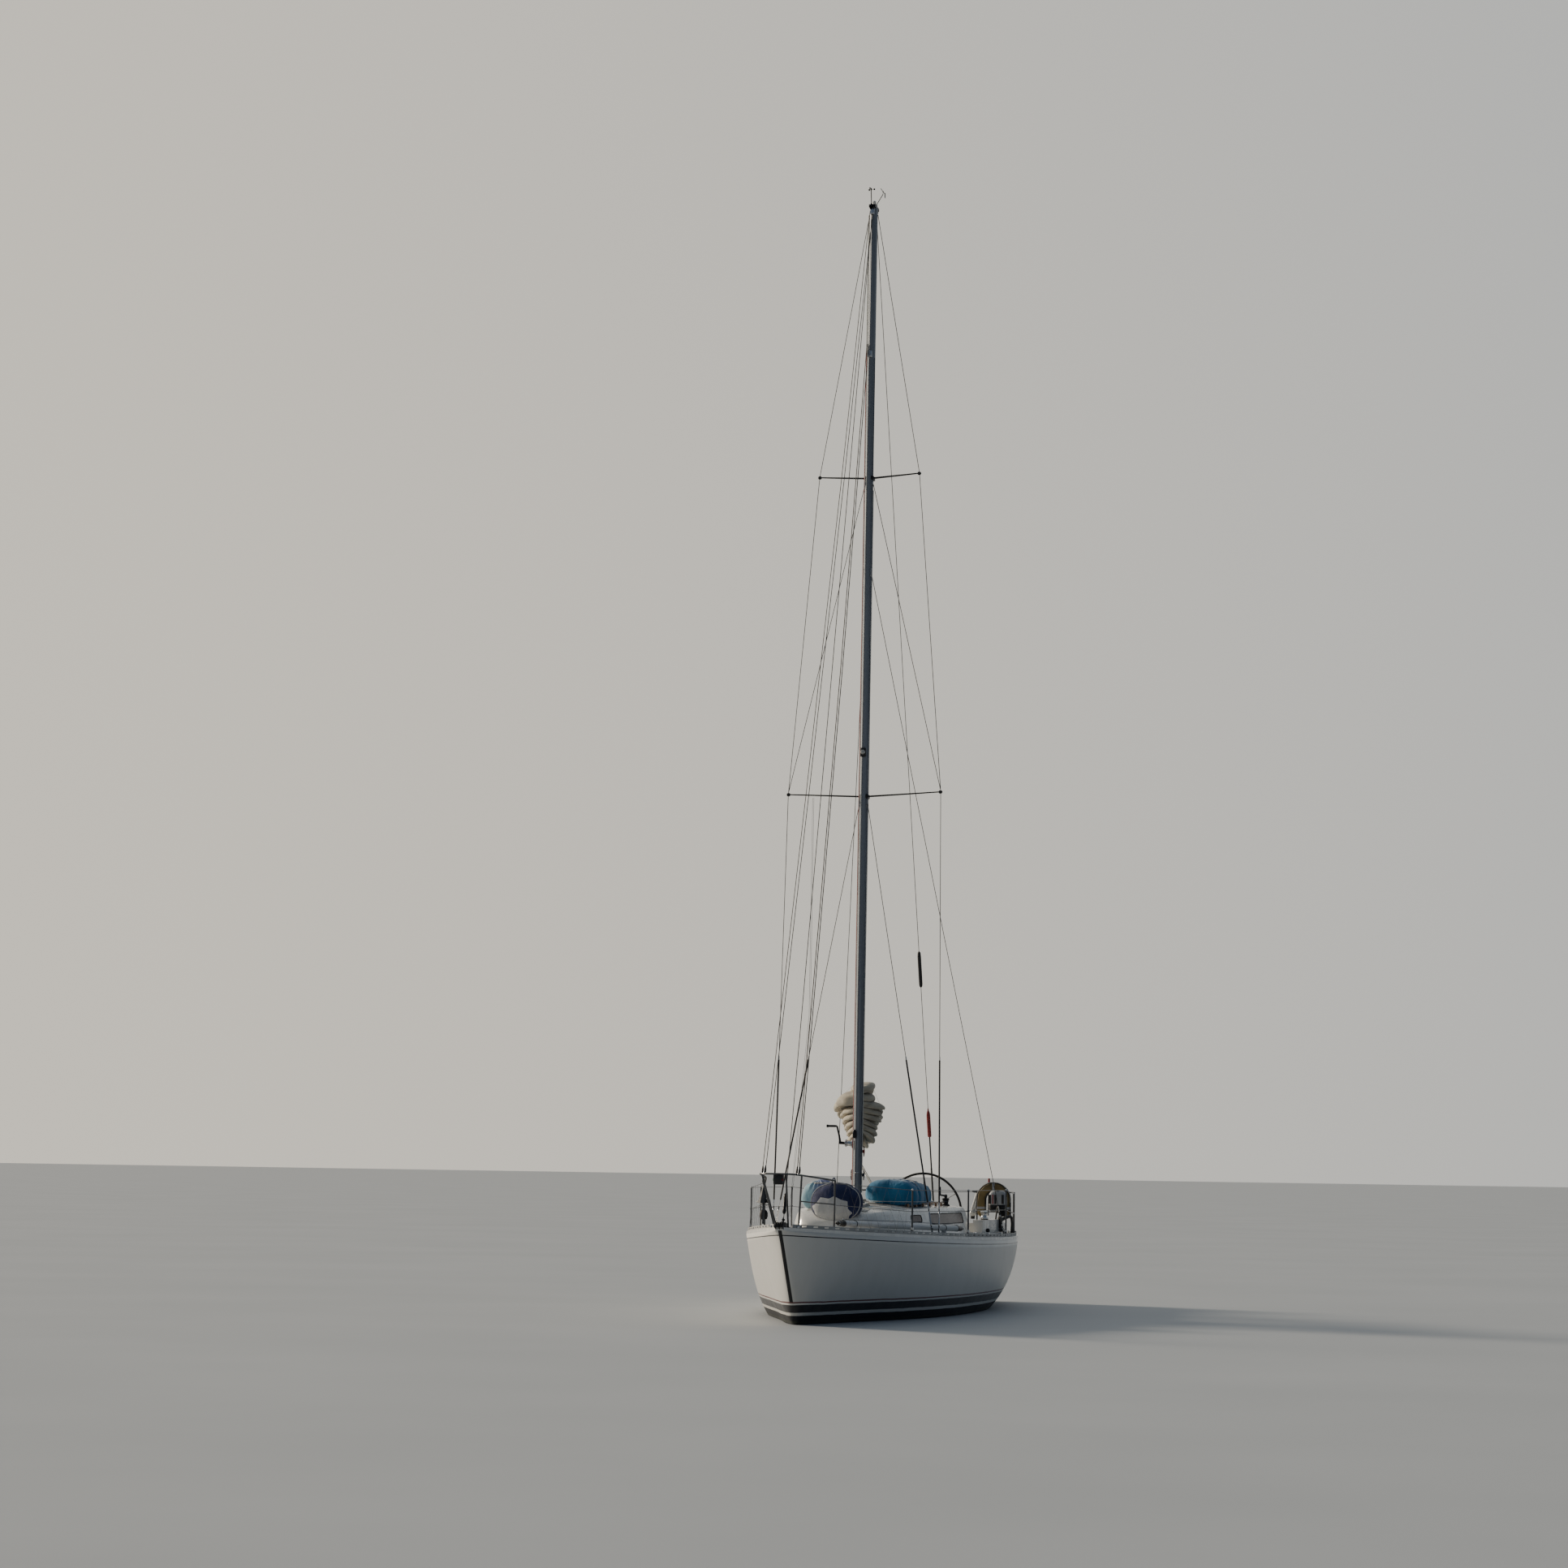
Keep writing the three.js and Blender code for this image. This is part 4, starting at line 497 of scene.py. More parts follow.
class Shape:
    """Gathers closed forms into one mesh. Each form takes the look chosen last with use()."""

    def __init__(self, *names):
        self.names = list(names)
        self.points = []
        self.faces = []
        self.marks = []
        self.look = 0

    def use(self, name):
        if name not in self.names:
            self.names.append(name)
        self.look = self.names.index(name)
        return self

    def face(self, corners):
        self.faces.append(tuple(corners))
        self.marks.append(self.look)

    def loft(self, rings, caps=True, ring_closed=True, loop=False):
        start = len(self.points)
        count = len(rings[0])
        rows = len(rings)
        for ring in rings:
            self.points.extend(tuple(p) for p in ring)
        for row in range(rows if loop else rows - 1):
            a = start + row * count
            b = start + ((row + 1) % rows) * count
            for column in range(count if ring_closed else count - 1):
                after = (column + 1) % count
                self.face((a + column, a + after, b + after, b + column))
        if caps and not loop:
            self.face(range(start + count - 1, start - 1, -1))
            self.face(range(start + (rows - 1) * count, start + rows * count))
        return self

    def tube(self, line, radius, sides=10, loop=False):
        """A tube along points. radius is one size, or a list with one for each point."""
        line = [Vector(p) for p in line]
        last = len(line) - 1
        sizes = radius if isinstance(radius, (list, tuple)) else [radius] * len(line)
        rings = []
        side = None
        for index, point in enumerate(line):
            before = line[index - 1] if index or loop else point
            after = line[(index + 1) % len(line)] if index < last or loop else point
            along = (after - before).normalized()
            if side is None:
                side = along.orthogonal()
            side = (side - along * side.dot(along)).normalized()
            other = along.cross(side)
            turns = [2 * pi * k / sides for k in range(sides)]
            rings.append([point + (side * cos(t) + other * sin(t)) * sizes[index] for t in turns])
        return self.loft(rings, loop=loop)

    def lathe(self, foot, axis, profile, sides=20):
        """A turned form. The profile's rows are (radius, height along the axis from the foot)."""
        foot, axis = Vector(foot), Vector(axis).normalized()
        side = axis.orthogonal().normalized()
        other = axis.cross(side)
        turns = [2 * pi * k / sides for k in range(sides)]
        spokes = [side * cos(t) + other * sin(t) for t in turns]
        return self.loft(
            [[foot + axis * high + spoke * max(size, 0.0003) for spoke in spokes] for size, high in profile]
        )

    def block(self, low, high, soft=0.004, at=(0, 0, 0)):
        """A box with rounded edges between two corners, given from a place."""
        low, high = Vector(at) + Vector(low), Vector(at) + Vector(high)
        soft = min(soft, min(high - low) * 0.49)
        corners = (
            (high.x - soft, high.y - soft, 0),
            (low.x + soft, high.y - soft, 90),
            (low.x + soft, low.y + soft, 180),
            (high.x - soft, low.y + soft, 270),
        )
        levels = (
            (low.z, 0.96),
            (low.z + soft * 0.3, 0.3),
            (low.z + soft, 0),
            (high.z - soft, 0),
            (high.z - soft * 0.3, 0.3),
            (high.z, 0.96),
        )
        rings = []
        for z, inset in levels:
            reach = soft * (1 - inset)
            ring = []
            for x, y, start in corners:
                for step in (0, 45, 90):
                    angle = radians(start + step)
                    ring.append(Vector((x + reach * cos(angle), y + reach * sin(angle), z)))
            rings.append(ring)
        return self.loft(rings)

    def object(self, name, sharp=38):
        mesh = bpy.data.meshes.new(name)
        mesh.from_pydata(self.points, [], self.faces)
        form = bmesh.new()
        form.from_mesh(mesh)
        bmesh.ops.recalc_face_normals(form, faces=form.faces)
        form.to_mesh(mesh)
        form.free()
        for look in self.names:
            mesh.materials.append(looks[look])
        mesh.polygons.foreach_set("material_index", self.marks)
        mesh.polygons.foreach_set("use_smooth", [True] * len(mesh.polygons))
        mesh.set_sharp_from_angle(angle=radians(sharp))
        thing = bpy.data.objects.new(name, mesh)
        bpy.context.scene.collection.objects.link(thing)
        return thing

    def piece(self, name, body="yacht", replaces=(), sharp=38):
        thing = self.object(name, sharp)
        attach(thing, body)
        if replaces:
            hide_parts(*replaces)
        return thing


EDGE_ANGLE = 33


def edge_smoothing():
    """A node group that joins a CAD mesh's facets and shades them smooth, apart from real edges."""
    group = bpy.data.node_groups.new("edge_smoothing", "GeometryNodeTree")
    group.interface.new_socket("Geometry", in_out="INPUT", socket_type="NodeSocketGeometry")
    group.interface.new_socket("Geometry", in_out="OUTPUT", socket_type="NodeSocketGeometry")
    start = group.nodes.new("NodeGroupInput")
    end = group.nodes.new("NodeGroupOutput")
    weld = group.nodes.new("GeometryNodeMergeByDistance")
    weld.inputs["Distance"].default_value = 0.00002
    faces = group.nodes.new("GeometryNodeSetShadeSmooth")
    edges = group.nodes.new("GeometryNodeSetShadeSmooth")
    edges.domain = "EDGE"
    edges.inputs["Shade Smooth"].default_value = False
    angle = group.nodes.new("GeometryNodeInputMeshEdgeAngle")
    over = group.nodes.new("FunctionNodeCompare")
    over.operation = "GREATER_THAN"
    over.inputs[1].default_value = radians(EDGE_ANGLE)
    group.links.new(start.outputs[0], weld.inputs["Geometry"])
    group.links.new(weld.outputs["Geometry"], faces.inputs["Geometry"])
    group.links.new(faces.outputs["Geometry"], edges.inputs["Geometry"])
    group.links.new(angle.outputs["Unsigned Angle"], over.inputs[0])
    group.links.new(over.outputs[0], edges.inputs["Selection"])
    group.links.new(edges.outputs["Geometry"], end.inputs[0])
    return group


smoothing = edge_smoothing()

# CAD nodes that stay as they are, with the look that each takes
KEPT = {
    "deck": "gelcoat", "coachroof": "gelcoat", "cockpit_moulding": "gelcoat", "keel": "bottom_paint",
    "engine_with_drive_leg": "engine_paint", "propeller": "bronze", "rudder": "bottom_paint",
    "stemhead_fitting": "black_metal", "pulpit": "rail_tube", "pushpit": "rail_tube", "mast": "mast_metal",
    "masthead_fitting": "black_metal", "anemometer": "black_plastic", "wind_vane": "black_plastic",
    "forestay": "stainless", "backstay": "stainless", "boom": "boom_metal", "spinnaker_pole": "pole_metal",
    "steering_pedestal": "gelcoat", "companionway_hatch": "gelcoat", "washboard": "acrylic",
    "forehatch": "acrylic", "anchor_locker_lid": "gelcoat", "boarding_ladder": "stainless",
    "plough_anchor": "galvanised",
}
for side_name, _sign in SIDES:
    KEPT[f"toe_rail_{side_name}"] = "rail_metal"
    KEPT[f"lifelines_{side_name}"] = "rail_tube"
    KEPT[f"cap_shroud_{side_name}"] = "wire"
    KEPT[f"lower_shroud_{side_name}"] = "wire"
    KEPT[f"running_backstay_{side_name}"] = "wire"
    KEPT[f"locker_lid_{side_name}"] = "gelcoat"
    for part_name in ("forward", "main"):
        KEPT[f"window_{side_name}_{part_name}"] = "acrylic"
    for part_name in ("lower", "upper"):
        KEPT[f"spreader_{side_name}_{part_name}"] = "black_metal"


def dress_kept_nodes():
    for name, look in KEPT.items():
        mesh = nodes[name].data
        mesh.materials.clear()
        mesh.materials.append(looks[look])
        facets = mesh.attributes.get("custom_normal")
        if facets:
            mesh.attributes.remove(facets)
        nodes[name].modifiers.new("edge_smoothing", "NODES").node_group = smoothing


def hull_half(aft, steps=26):
    """Half a section, from the keel up the port side, in millimetres: a cubic curve through four points."""
    beam = hull_value("beam", aft)
    bottom = hull_value("keel", aft)
    top = sheer(aft) - DECK_THICKNESS
    pull = (
        (0, bottom),
        (hull_value("bilge", aft) * beam, bottom),
        (hull_value("side", aft) * beam, bottom + hull_value("shoulder", aft) * (top - bottom)),
        (beam, top),
    )
    slope = 0.25 * max(0, (aft - 8800) / (STERN_AFT - 8800)) ** 2
    half = []
    for step in range(steps + 1):
        t = step / steps
        weights = ((1 - t) ** 3, 3 * t * (1 - t) ** 2, 3 * t**2 * (1 - t), t**3)
        y = sum(w * p[0] for w, p in zip(weights, pull))
        z = sum(w * p[1] for w, p in zip(weights, pull))
        half.append(place(aft + slope * (top - z), y, z))
    return half


def add_hull():
    stations = [18, 45, 90, *range(150, 1300, 75), *range(1300, STERN_AFT, 130), STERN_AFT]
    shape = Shape("hull", "liner")
    rings = []
    for aft in stations:
        port = hull_half(aft)
        rings.append([*reversed(port), *(Vector((p.x, -p.y, p.z)) for p in port[1:])])
    shape.loft(rings, caps=False, ring_closed=False)
    count = len(rings[0])
    last = (len(rings) - 1) * count
    shape.face(range(last, last + count))
    shape.face(range(count - 1, -1, -1))
    hull = shape.piece("hull_shell", replaces=["hull"], sharp=50)
    hull.data.flip_normals()
    skin = hull.modifiers.new("laminate", "SOLIDIFY")
    skin.thickness = 0.022
    skin.offset = -1
    skin.material_offset = 1
    return hull


# Non-slip panels of one side: surface, ends aft, inner and outer edge (a distance out, along the deck's
# edge or along the coachroof), and steps along it
PANELS = (
    (on_deck, 1130, 1880, 22, "rail", 14),
    (on_deck, 1920, 2660, 22, "rail", 14),
    (on_deck, 2700, 3900, "house", "rail", 14),
    (on_deck, 4330, 5600, "house", "rail", 14),
    (on_deck, 5640, 7280, "house", "rail", 14),
    (on_deck, 7420, 9330, 1225, "rail", 14),
    (on_deck, 9420, 9660, 40, 980, 6),
    (on_roof, 2990, 3290, 20, 430, 6),
    (on_roof, 3900, 4090, 20, 560, 5),
    (on_roof, 4400, 5920, 20, 640, 14),
    (on_roof, 5960, 7300, 385, 640, 14),
)
# On the cockpit's seats: ends aft, inner and outer edge, underside and top
SEAT_PANELS = (
    (7410, 7540, 470, 975, 799, 802), (8385, 9290, 470, 975, 799, 802), (7595, 8325, 515, 905, 816, 818.5),
)


def panel_edge(edge, aft):
    if edge == "rail":
        return hull_value("beam", aft) - 95
    if edge == "house":
        return roof_value("base", aft) + 55
    return edge


def panel(shape, sign, surface, fore, back, inner, outer, steps, thick=0.0022, across=5):
    """A thin panel laid on the deck or the roof, its corners cut off."""
    rings = []
    for step in range(steps + 1):
        aft = fore + (back - fore) * step / steps
        cut = 26 if step in (0, steps) else 0
        low, high = sorted(sign * panel_edge(edge, aft) for edge in (inner, outer))
        low, high = low + cut, high - cut
        row = [surface(aft, low + (high - low) * k / across) for k in range(across + 1)]
        rings.append([*row, *reversed([p + up(thick) for p in row])])
    shape.loft(rings)


def add_nonskid():
    """Matt panels on the decks, the coachroof and the cockpit seats."""
    shape = Shape("nonskid")
    for _name, sign in SIDES:
        for surface, fore, back, inner, outer, steps in PANELS:
            panel(shape, sign, surface, fore, back, inner, outer, steps)
        for fore, back, inner, outer, low, high in SEAT_PANELS:
            near, far = sorted((sign * inner, sign * outer))
            shape.block(place(back, near, low), place(fore, far, high), 0.001)
    return shape.piece("nonskid_panels")


# Standing rigging feet and tops, in the part's own places
CAP_FOOT = (4150, 1205)
LOWER_FOOT = (4000, 1140)
RUNNER_FOOT = (8300, 1330)
SPREADERS = (("lower", 7.364, 1.131, 0.05), ("upper", 12.083, 0.752, 0.045))
SLEEVE_TOP = 3.57
RUNNER_TOP = 10.65


def along(start, end, distance):
    return start + (end - start).normalized() * distance


def at_height(start, end, z):
    return start + (end - start) * ((z - start.z) / (end.z - start.z))


def turnbuckle(shape, foot, top, low=0.05, high=0.33):
    """A bottle screw on a stay: fork, threads and an open body."""
    shape.use("stainless").tube([along(foot, top, low - 0.045), along(foot, top, low + 0.02)], 0.013, 8)
    shape.tube([along(foot, top, low), along(foot, top, high)], 0.007, 8)
    middle = (low + high) / 2
    profile = [
        (0.007, 0), (0.013, 0.01), (0.013, 0.03), (0.0105, 0.05), (0.0105, 0.15), (0.013, 0.17),
        (0.013, 0.19), (0.007, 0.2),
    ]
    shape.lathe(along(foot, top, middle - 0.1), top - foot, profile, 14)
    shape.tube([along(foot, top, high), along(foot, top, high + 0.09)], 0.0085, 8)


def add_shroud_fittings():
    """Bottle screws, black sleeves on the lower ends, tangs at the mast and boots on the spreader tips."""
    shape = Shape()
    for _name, sign in SIDES:
        tip = Vector((on_mast(SPREADERS[0][1]).x, sign * SPREADERS[0][2], SPREADERS[0][1] + SPREADERS[0][3]))
        cap = on_deck(CAP_FOOT[0], sign * CAP_FOOT[1], 30)
        lower = on_deck(LOWER_FOOT[0], sign * LOWER_FOOT[1], 30)
        lower_top = on_mast(7.254, 0.02, sign * 0.063)
        runner = on_deck(RUNNER_FOOT[0], sign * RUNNER_FOOT[1], 30)
        runner_top = on_mast(RUNNER_TOP, -0.087, sign * 0.04)
        for foot, top in ((cap, tip), (lower, lower_top), (runner, runner_top)):
            turnbuckle(shape, foot, top)
            shape.use("stainless").block((-0.045, -0.016, -0.036), (0.045, 0.016, -0.026), 0.003, at=foot)
        for foot, top in ((cap, tip), (lower, lower_top)):
            shape.use("black_plastic")
            shape.tube([along(foot, top, 0.42), at_height(foot, top, SLEEVE_TOP)], 0.0125, 10)
            shape.use("white_plastic")
            shape.tube([at_height(foot, top, SLEEVE_TOP), at_height(foot, top, SLEEVE_TOP + 0.05)], 0.010, 10)
        shape.use("stainless")
        for z in (12.0, 7.254, 10.65):
            plate = on_mast(z, 0.02, sign * 0.0575)
            shape.block((-0.03, -0.005, -0.05), (0.03, 0.005, 0.08), 0.002, at=plate)
        for _row, z, reach, rise in SPREADERS:
            root = on_mast(z, 0, sign * 0.045)
            shape.use("black_metal").block((-0.066, -0.022, -0.03), (0.066, 0.03, 0.03), 0.008, at=root)
            end = Vector((on_mast(z).x, sign * (reach + 0.004), z + rise))
            shape.use("black_plastic")
            shape.lathe(end - Vector((0, sign * 0.034, 0)), (0, sign, 0),
                        [(0.004, 0), (0.022, 0.006), (0.026, 0.026), (0.022, 0.046), (0.006, 0.056)], 14)
    return shape.piece("shroud_fittings")


BACKSTAY = {"foot_aft": 9500, "red_from": 2.55, "red_to": 3.0, "sleeve_from": 4.86, "sleeve_to": 5.44}


def add_backstay():
    """The backstay with its black foot, red adjuster and black sleeve."""
    shape = Shape()
    foot = on_deck(BACKSTAY["foot_aft"], 0, 40)
    top = Vector((on_mast(MASTHEAD).x - 0.15, 0, MASTHEAD + 0.02))
    shape.use("wire").tube([foot, top], 0.005, 8)
    shape.use("stainless").block((-0.024, -0.006, -0.06), (0.024, 0.006, 0.05), 0.003, at=foot)
    shape.block((-0.05, -0.03, -0.042), (0.05, 0.03, -0.034), 0.003, at=foot)
    turnbuckle(shape, foot, top, 0.06, 0.34)
    shape.use("black_plastic").tube([along(foot, top, 0.4), along(foot, top, 0.95)], 0.014, 12)
    low, high = (at_height(foot, top, BACKSTAY[key]) for key in ("red_from", "red_to"))
    shape.use("red_paint")
    rows = [
        (0.008, 0), (0.028, 0.012), (0.031, 0.03), (0.031, 0.36), (0.026, 0.40), (0.012, 0.44),
        (0.008, 0.47),
    ]
    shape.lathe(low, high - low, rows, 16)
    shape.use("black_plastic").tube([along(foot, top, 0.4), low], 0.012, 10)
    low, high = (at_height(foot, top, BACKSTAY[key]) for key in ("sleeve_from", "sleeve_to"))
    shape.use("black_plastic")
    rows = [(0.007, 0), (0.024, 0.02), (0.029, 0.06), (0.029, 0.50), (0.024, 0.56), (0.007, 0.58)]
    shape.lathe(low, high - low, rows, 14)
    return shape.piece("backstay_with_adjuster", replaces=["backstay"])


def add_forestay():
    shape = Shape()
    foot = on_deck(200, 0, 66)
    top = on_mast(MASTHEAD - 0.07, 0.0903)
    shape.use("wire").tube([along(foot, top, 0.02), top], 0.0055, 8)
    shape.use("black_metal")
    rows = [
        (0.006, 0), (0.022, 0.02), (0.026, 0.05), (0.021, 0.08), (0.021, 0.2), (0.026, 0.23), (0.022, 0.26),
        (0.007, 0.28),
    ]
    shape.lathe(along(foot, top, 0.105), top - foot, rows, 16)
    shape.block((-0.022, -0.006, -0.09), (0.022, 0.006, 0.06), 0.004, at=foot)
    shape.lathe(
        foot + Vector((0, -0.02, 0.03)), (0, 1, 0),
        [(0.008, 0), (0.012, 0.003), (0.012, 0.037), (0.008, 0.04)], 12,
    )
    return shape.piece("forestay_with_bottle_screw", replaces=["forestay"])


# Running lines. Each runs through its points; lines of one row lie side by side.
LINES = (
    ("rope_brown", 0.0050, 2, (0, 0.040, 0),
     ((5.318, -0.150, 1.958), (3.1, -0.225, 7.08), (2.0, -0.055, 11.758), (0.545, -0.035, 16.15))),
    ("rope_brown", 0.0060, 2, (0, 0.026, 0),
     ((5.05, 0.238, 1.95), (2.437, 0.080, 9.0), (0.600, -0.046, 14.1))),
    ("rope_dark", 0.0022, 2, (0, 0.018, 0),
     ((0.64, -0.764, 7.363), (0.75, -0.743, 4.217), (0.86, -0.97, 1.35))),
)
MAST_LINES = (
    ("rope_white", 0.0062, 0.098, -0.020, 1.72, 16.1),
    ("rope_white", 0.0062, 0.088, -0.044, 1.72, 16.1),
    ("rope_red", 0.0055, 0.072, -0.058, 1.75, 14.1),
    ("rope_white", 0.0062, 0.030, -0.0685, 1.70, 16.1),
    ("rope_dark", 0.0055, 0.050, 0.0635, 1.72, 13.9),
    ("rope_white", 0.0050, 0.012, 0.0685, 1.70, 11.9),
)


def add_halyards():
    shape = Shape()
    for look, radius, copies, step, points in LINES:
        for copy in range(copies):
            shape.use(look).tube([Vector(p) + Vector(step) * copy for p in points], radius, 7)
    for look, radius, ahead, out, low, high in MAST_LINES:
        heights = [low + (high - low) * k / 14 for k in range(15)]
        shape.use(look).tube([on_mast(z, ahead + 0.003 * sin(3 * z), out) for z in heights], radius, 7)
    for foot in (Vector((5.318, -0.130, 1.958)), Vector((5.05, 0.251, 1.95))):
        shape.use("black_metal")
        for shift in (-0.018, 0.018):
            spot = foot + Vector((0, shift, 0))
            shape.lathe(
                spot, (-0.3, 0, 1), [(0.004, 0), (0.013, 0.01), (0.014, 0.05), (0.009, 0.08), (0.004, 0.1)],
                10,
            )
        shape.use("stainless")
        ring = [foot + Vector((0.018 * cos(t), 0, 0.018 * sin(t) - 0.004)) for t in turns_of(12)]
        shape.tube(ring, 0.0035, 6, loop=True)
    return shape.piece("halyards")


def turns_of(count, start=0.0):
    return [start + 2 * pi * k / count for k in range(count)]


def cleat(shape, spot, ahead):
    """A horn cleat on two feet."""
    length, height = 0.2, 0.05
    ahead = Vector(ahead).normalized()
    for share in (-0.14, 0.14):
        foot = spot + ahead * (length * share)
        shape.lathe(
            foot, (0, 0, 1), [(length * 0.07, 0), (length * 0.045, 0.008), (length * 0.04, height * 0.8)],
            12,
        )
    sag = [(-0.5, 0.92), (-0.34, 1.0), (-0.16, 0.86), (0, 0.82), (0.16, 0.86), (0.34, 1.0), (0.5, 0.92)]
    line = [spot + ahead * (length * share) + up(height * high) for share, high in sag]
    sizes = [length * size for size in (0.018, 0.032, 0.045, 0.05, 0.045, 0.032, 0.018)]
    shape.tube(line, sizes, 10)


def add_mast_fittings():
    """Sail and pole tracks, exits, winch with its handle, cleats with turns of line, lights and collars."""
    shape = Shape()
    heights = [2.62 + (16.05 - 2.62) * k / 12 for k in range(13)]
    shape.use("black_metal")
    shape.loft(
        [
            [
                on_mast(z, -0.0855 + dx, dy)
                for dx, dy in ((0.004, -0.011), (0.004, 0.011), (-0.004, 0.011), (-0.004, -0.011))
            ]
            for z in heights
        ]
    )
    heights = [1.75 + (4.6 - 1.75) * k / 8 for k in range(9)]
    shape.use("mast_metal")
    shape.loft(
        [
            [
                on_mast(z, 0.086 + dx, 0.014 + dy)
                for dx, dy in ((-0.004, -0.013), (0.004, -0.013), (0.004, 0.013), (-0.004, 0.013))
            ]
            for z in heights
        ]
    )
    ring = [on_mast(1.98, 0.108 + 0.028 * cos(t), 0.014 + 0.028 * sin(t)) for t in turns_of(14)]
    shape.use("stainless").tube(ring, 0.006, 8, loop=True)
    for z, y in ((2.9, -0.058), (2.75, 0.056), (3.3, -0.056)):
        spot = on_mast(z, 0.02, y)
        shape.block((-0.016, -0.004, -0.09), (0.016, 0.004, 0.09), 0.003, at=spot)
    mast_winch(shape)
    for z, y, look, out in (
        (1.95, -0.06, "rope_white", -1), (1.95, 0.06, "rope_dark", 1), (2.28, 0.058, "rope_red", 1),
    ):
        spot = on_mast(z, 0.0, y)
        shape.use("black_metal")
        shape.tube([spot + Vector((0, out * 0.028, -0.075)), spot + Vector((0, out * 0.034, 0)),
                    spot + Vector((0, out * 0.028, 0.075))], [0.006, 0.011, 0.006], 8)
        shape.tube([spot, spot + Vector((0, out * 0.034, 0))], 0.012, 8)
        shape.use(look)
        for turn in range(3):
            lift = spot + Vector((0, out * 0.026, 0.016 * (turn - 1)))
            shape.tube([lift + Vector((0.019 * cos(t), 0.013 * sin(t), 0)) for t in turns_of(14)], 0.0062, 7,
                       loop=True)
    lamp = on_mast(8.013, 0.1, 0.0)
    shape.use("black_plastic").block((-0.03, -0.04, -0.075), (0.02, 0.04, 0.055), 0.012, at=lamp)
    shape.use("lamp_white").lathe(
        lamp + Vector((0.02, 0, -0.01)), (1, 0, 0),
        [(0.034, -0.01), (0.034, 0.012), (0.028, 0.03), (0.012, 0.038)], 14,
    )
    spot = on_mast(2.525, 0.105, -0.028)
    shape.use("black_metal").lathe(
        spot + up(-0.06), (0.1, 0, 1), [(0.02, 0), (0.028, 0.02), (0.028, 0.09), (0.014, 0.12)], 12,
    )
    for z in (1.53, 1.6):
        collar = [on_mast(z, 0.094 * cos(t), 0.066 * sin(t)) for t in turns_of(24)]
        shape.use("black_plastic").tube(collar, 0.009, 8, loop=True)
    for z, reach in ((16.14, 0.098), (13.95, 0.09)):
        cage = on_mast(z, reach, 0)
        shape.use("stainless").block((-0.03, -0.03, -0.05), (0.02, 0.03, 0.05), 0.008, at=cage)
    return shape.piece("mast_fittings")


def mast_winch(shape):
    """The halyard winch on the mast's starboard face, with its handle standing out ahead of it."""
    axis = Vector((0.12, -1, 0.05)).normalized()
    foot = on_mast(2.387, 0.0, -0.056)
    shape.use("stainless")
    profile = [
        (0.064, 0), (0.064, 0.03), (0.040, 0.045), (0.037, 0.09), (0.050, 0.105), (0.052, 0.125),
        (0.03, 0.135), (0.014, 0.15),
    ]
    shape.lathe(foot, axis, profile, 20)
    shape.use("black_metal")
    shape.lathe(foot + axis * 0.002, axis, [(0.072, 0), (0.072, 0.012), (0.066, 0.02)], 20)
    hub = foot + axis * 0.15
    shape.use("black_metal").tube([hub - axis * 0.01, hub + axis * 0.07], 0.021, 12)
    hub = hub + axis * 0.05
    grip = Vector((hub.x + 0.02, hub.y - 0.045, hub.z + 0.235))
    shape.tube([hub, hub + Vector((0, -0.016, 0.1)), grip], [0.018, 0.014, 0.014], 10)
    end = grip + Vector((0.01, -0.15, 0.0))
    shape.use("black_plastic")
    shape.tube([grip, grip.lerp(end, 0.2), grip.lerp(end, 0.8), grip.lerp(end, 0.88), end],
               [0.014, 0.017, 0.017, 0.022, 0.020], 12)


def add_masthead_gear():
    """Sheaves, the all-round light and a whip aerial on the masthead, beside the wind gauges."""
    shape = Shape()
    top = on_mast(MASTHEAD)
    shape.use("black_metal")
    for ahead in (0.125, -0.125):
        for y in (-0.025, 0.025):
            centre = top + Vector((ahead, y - 0.008, 0.002))
            shape.lathe(
                centre, (0, 1, 0),
                [(0.034, 0), (0.036, 0.003), (0.026, 0.008), (0.036, 0.013), (0.034, 0.016)], 18,
            )
    spot = top + Vector((-0.02, 0.0, 0.0403))
    shape.use("black_plastic").lathe(spot, (0, 0, 1), [(0.03, 0), (0.03, 0.022), (0.022, 0.03)], 16)
    shape.use("lamp_white").lathe(
        spot + up(0.03), (0, 0, 1),
        [(0.026, 0), (0.028, 0.006), (0.028, 0.045), (0.02, 0.06), (0.008, 0.065)], 16,
    )
    spot = top + Vector((-0.09, 0.02, 0.0403))
    shape.use("white_plastic").lathe(spot, (0, 0, 1), [(0.012, 0), (0.012, 0.05), (0.006, 0.06)], 10)
    return shape.piece("masthead_gear")


GOOSENECK = {"height": 2.46, "behind_mast": 0.13}
BOOM_ANGLE = radians(15)


def boom_point(out, y=0.0, z=0.0):
    """A point on the boom at rest: out along it from the gooseneck, across it and above its axis."""
    angle = BOOM_ANGLE
    pivot = on_mast(GOOSENECK["height"], -GOOSENECK["behind_mast"])
    flat = Vector((-out * cos(angle) - y * sin(angle), -out * sin(angle) + y * cos(angle), z))
    return Vector((pivot.x, 0, GOOSENECK["height"])) + flat


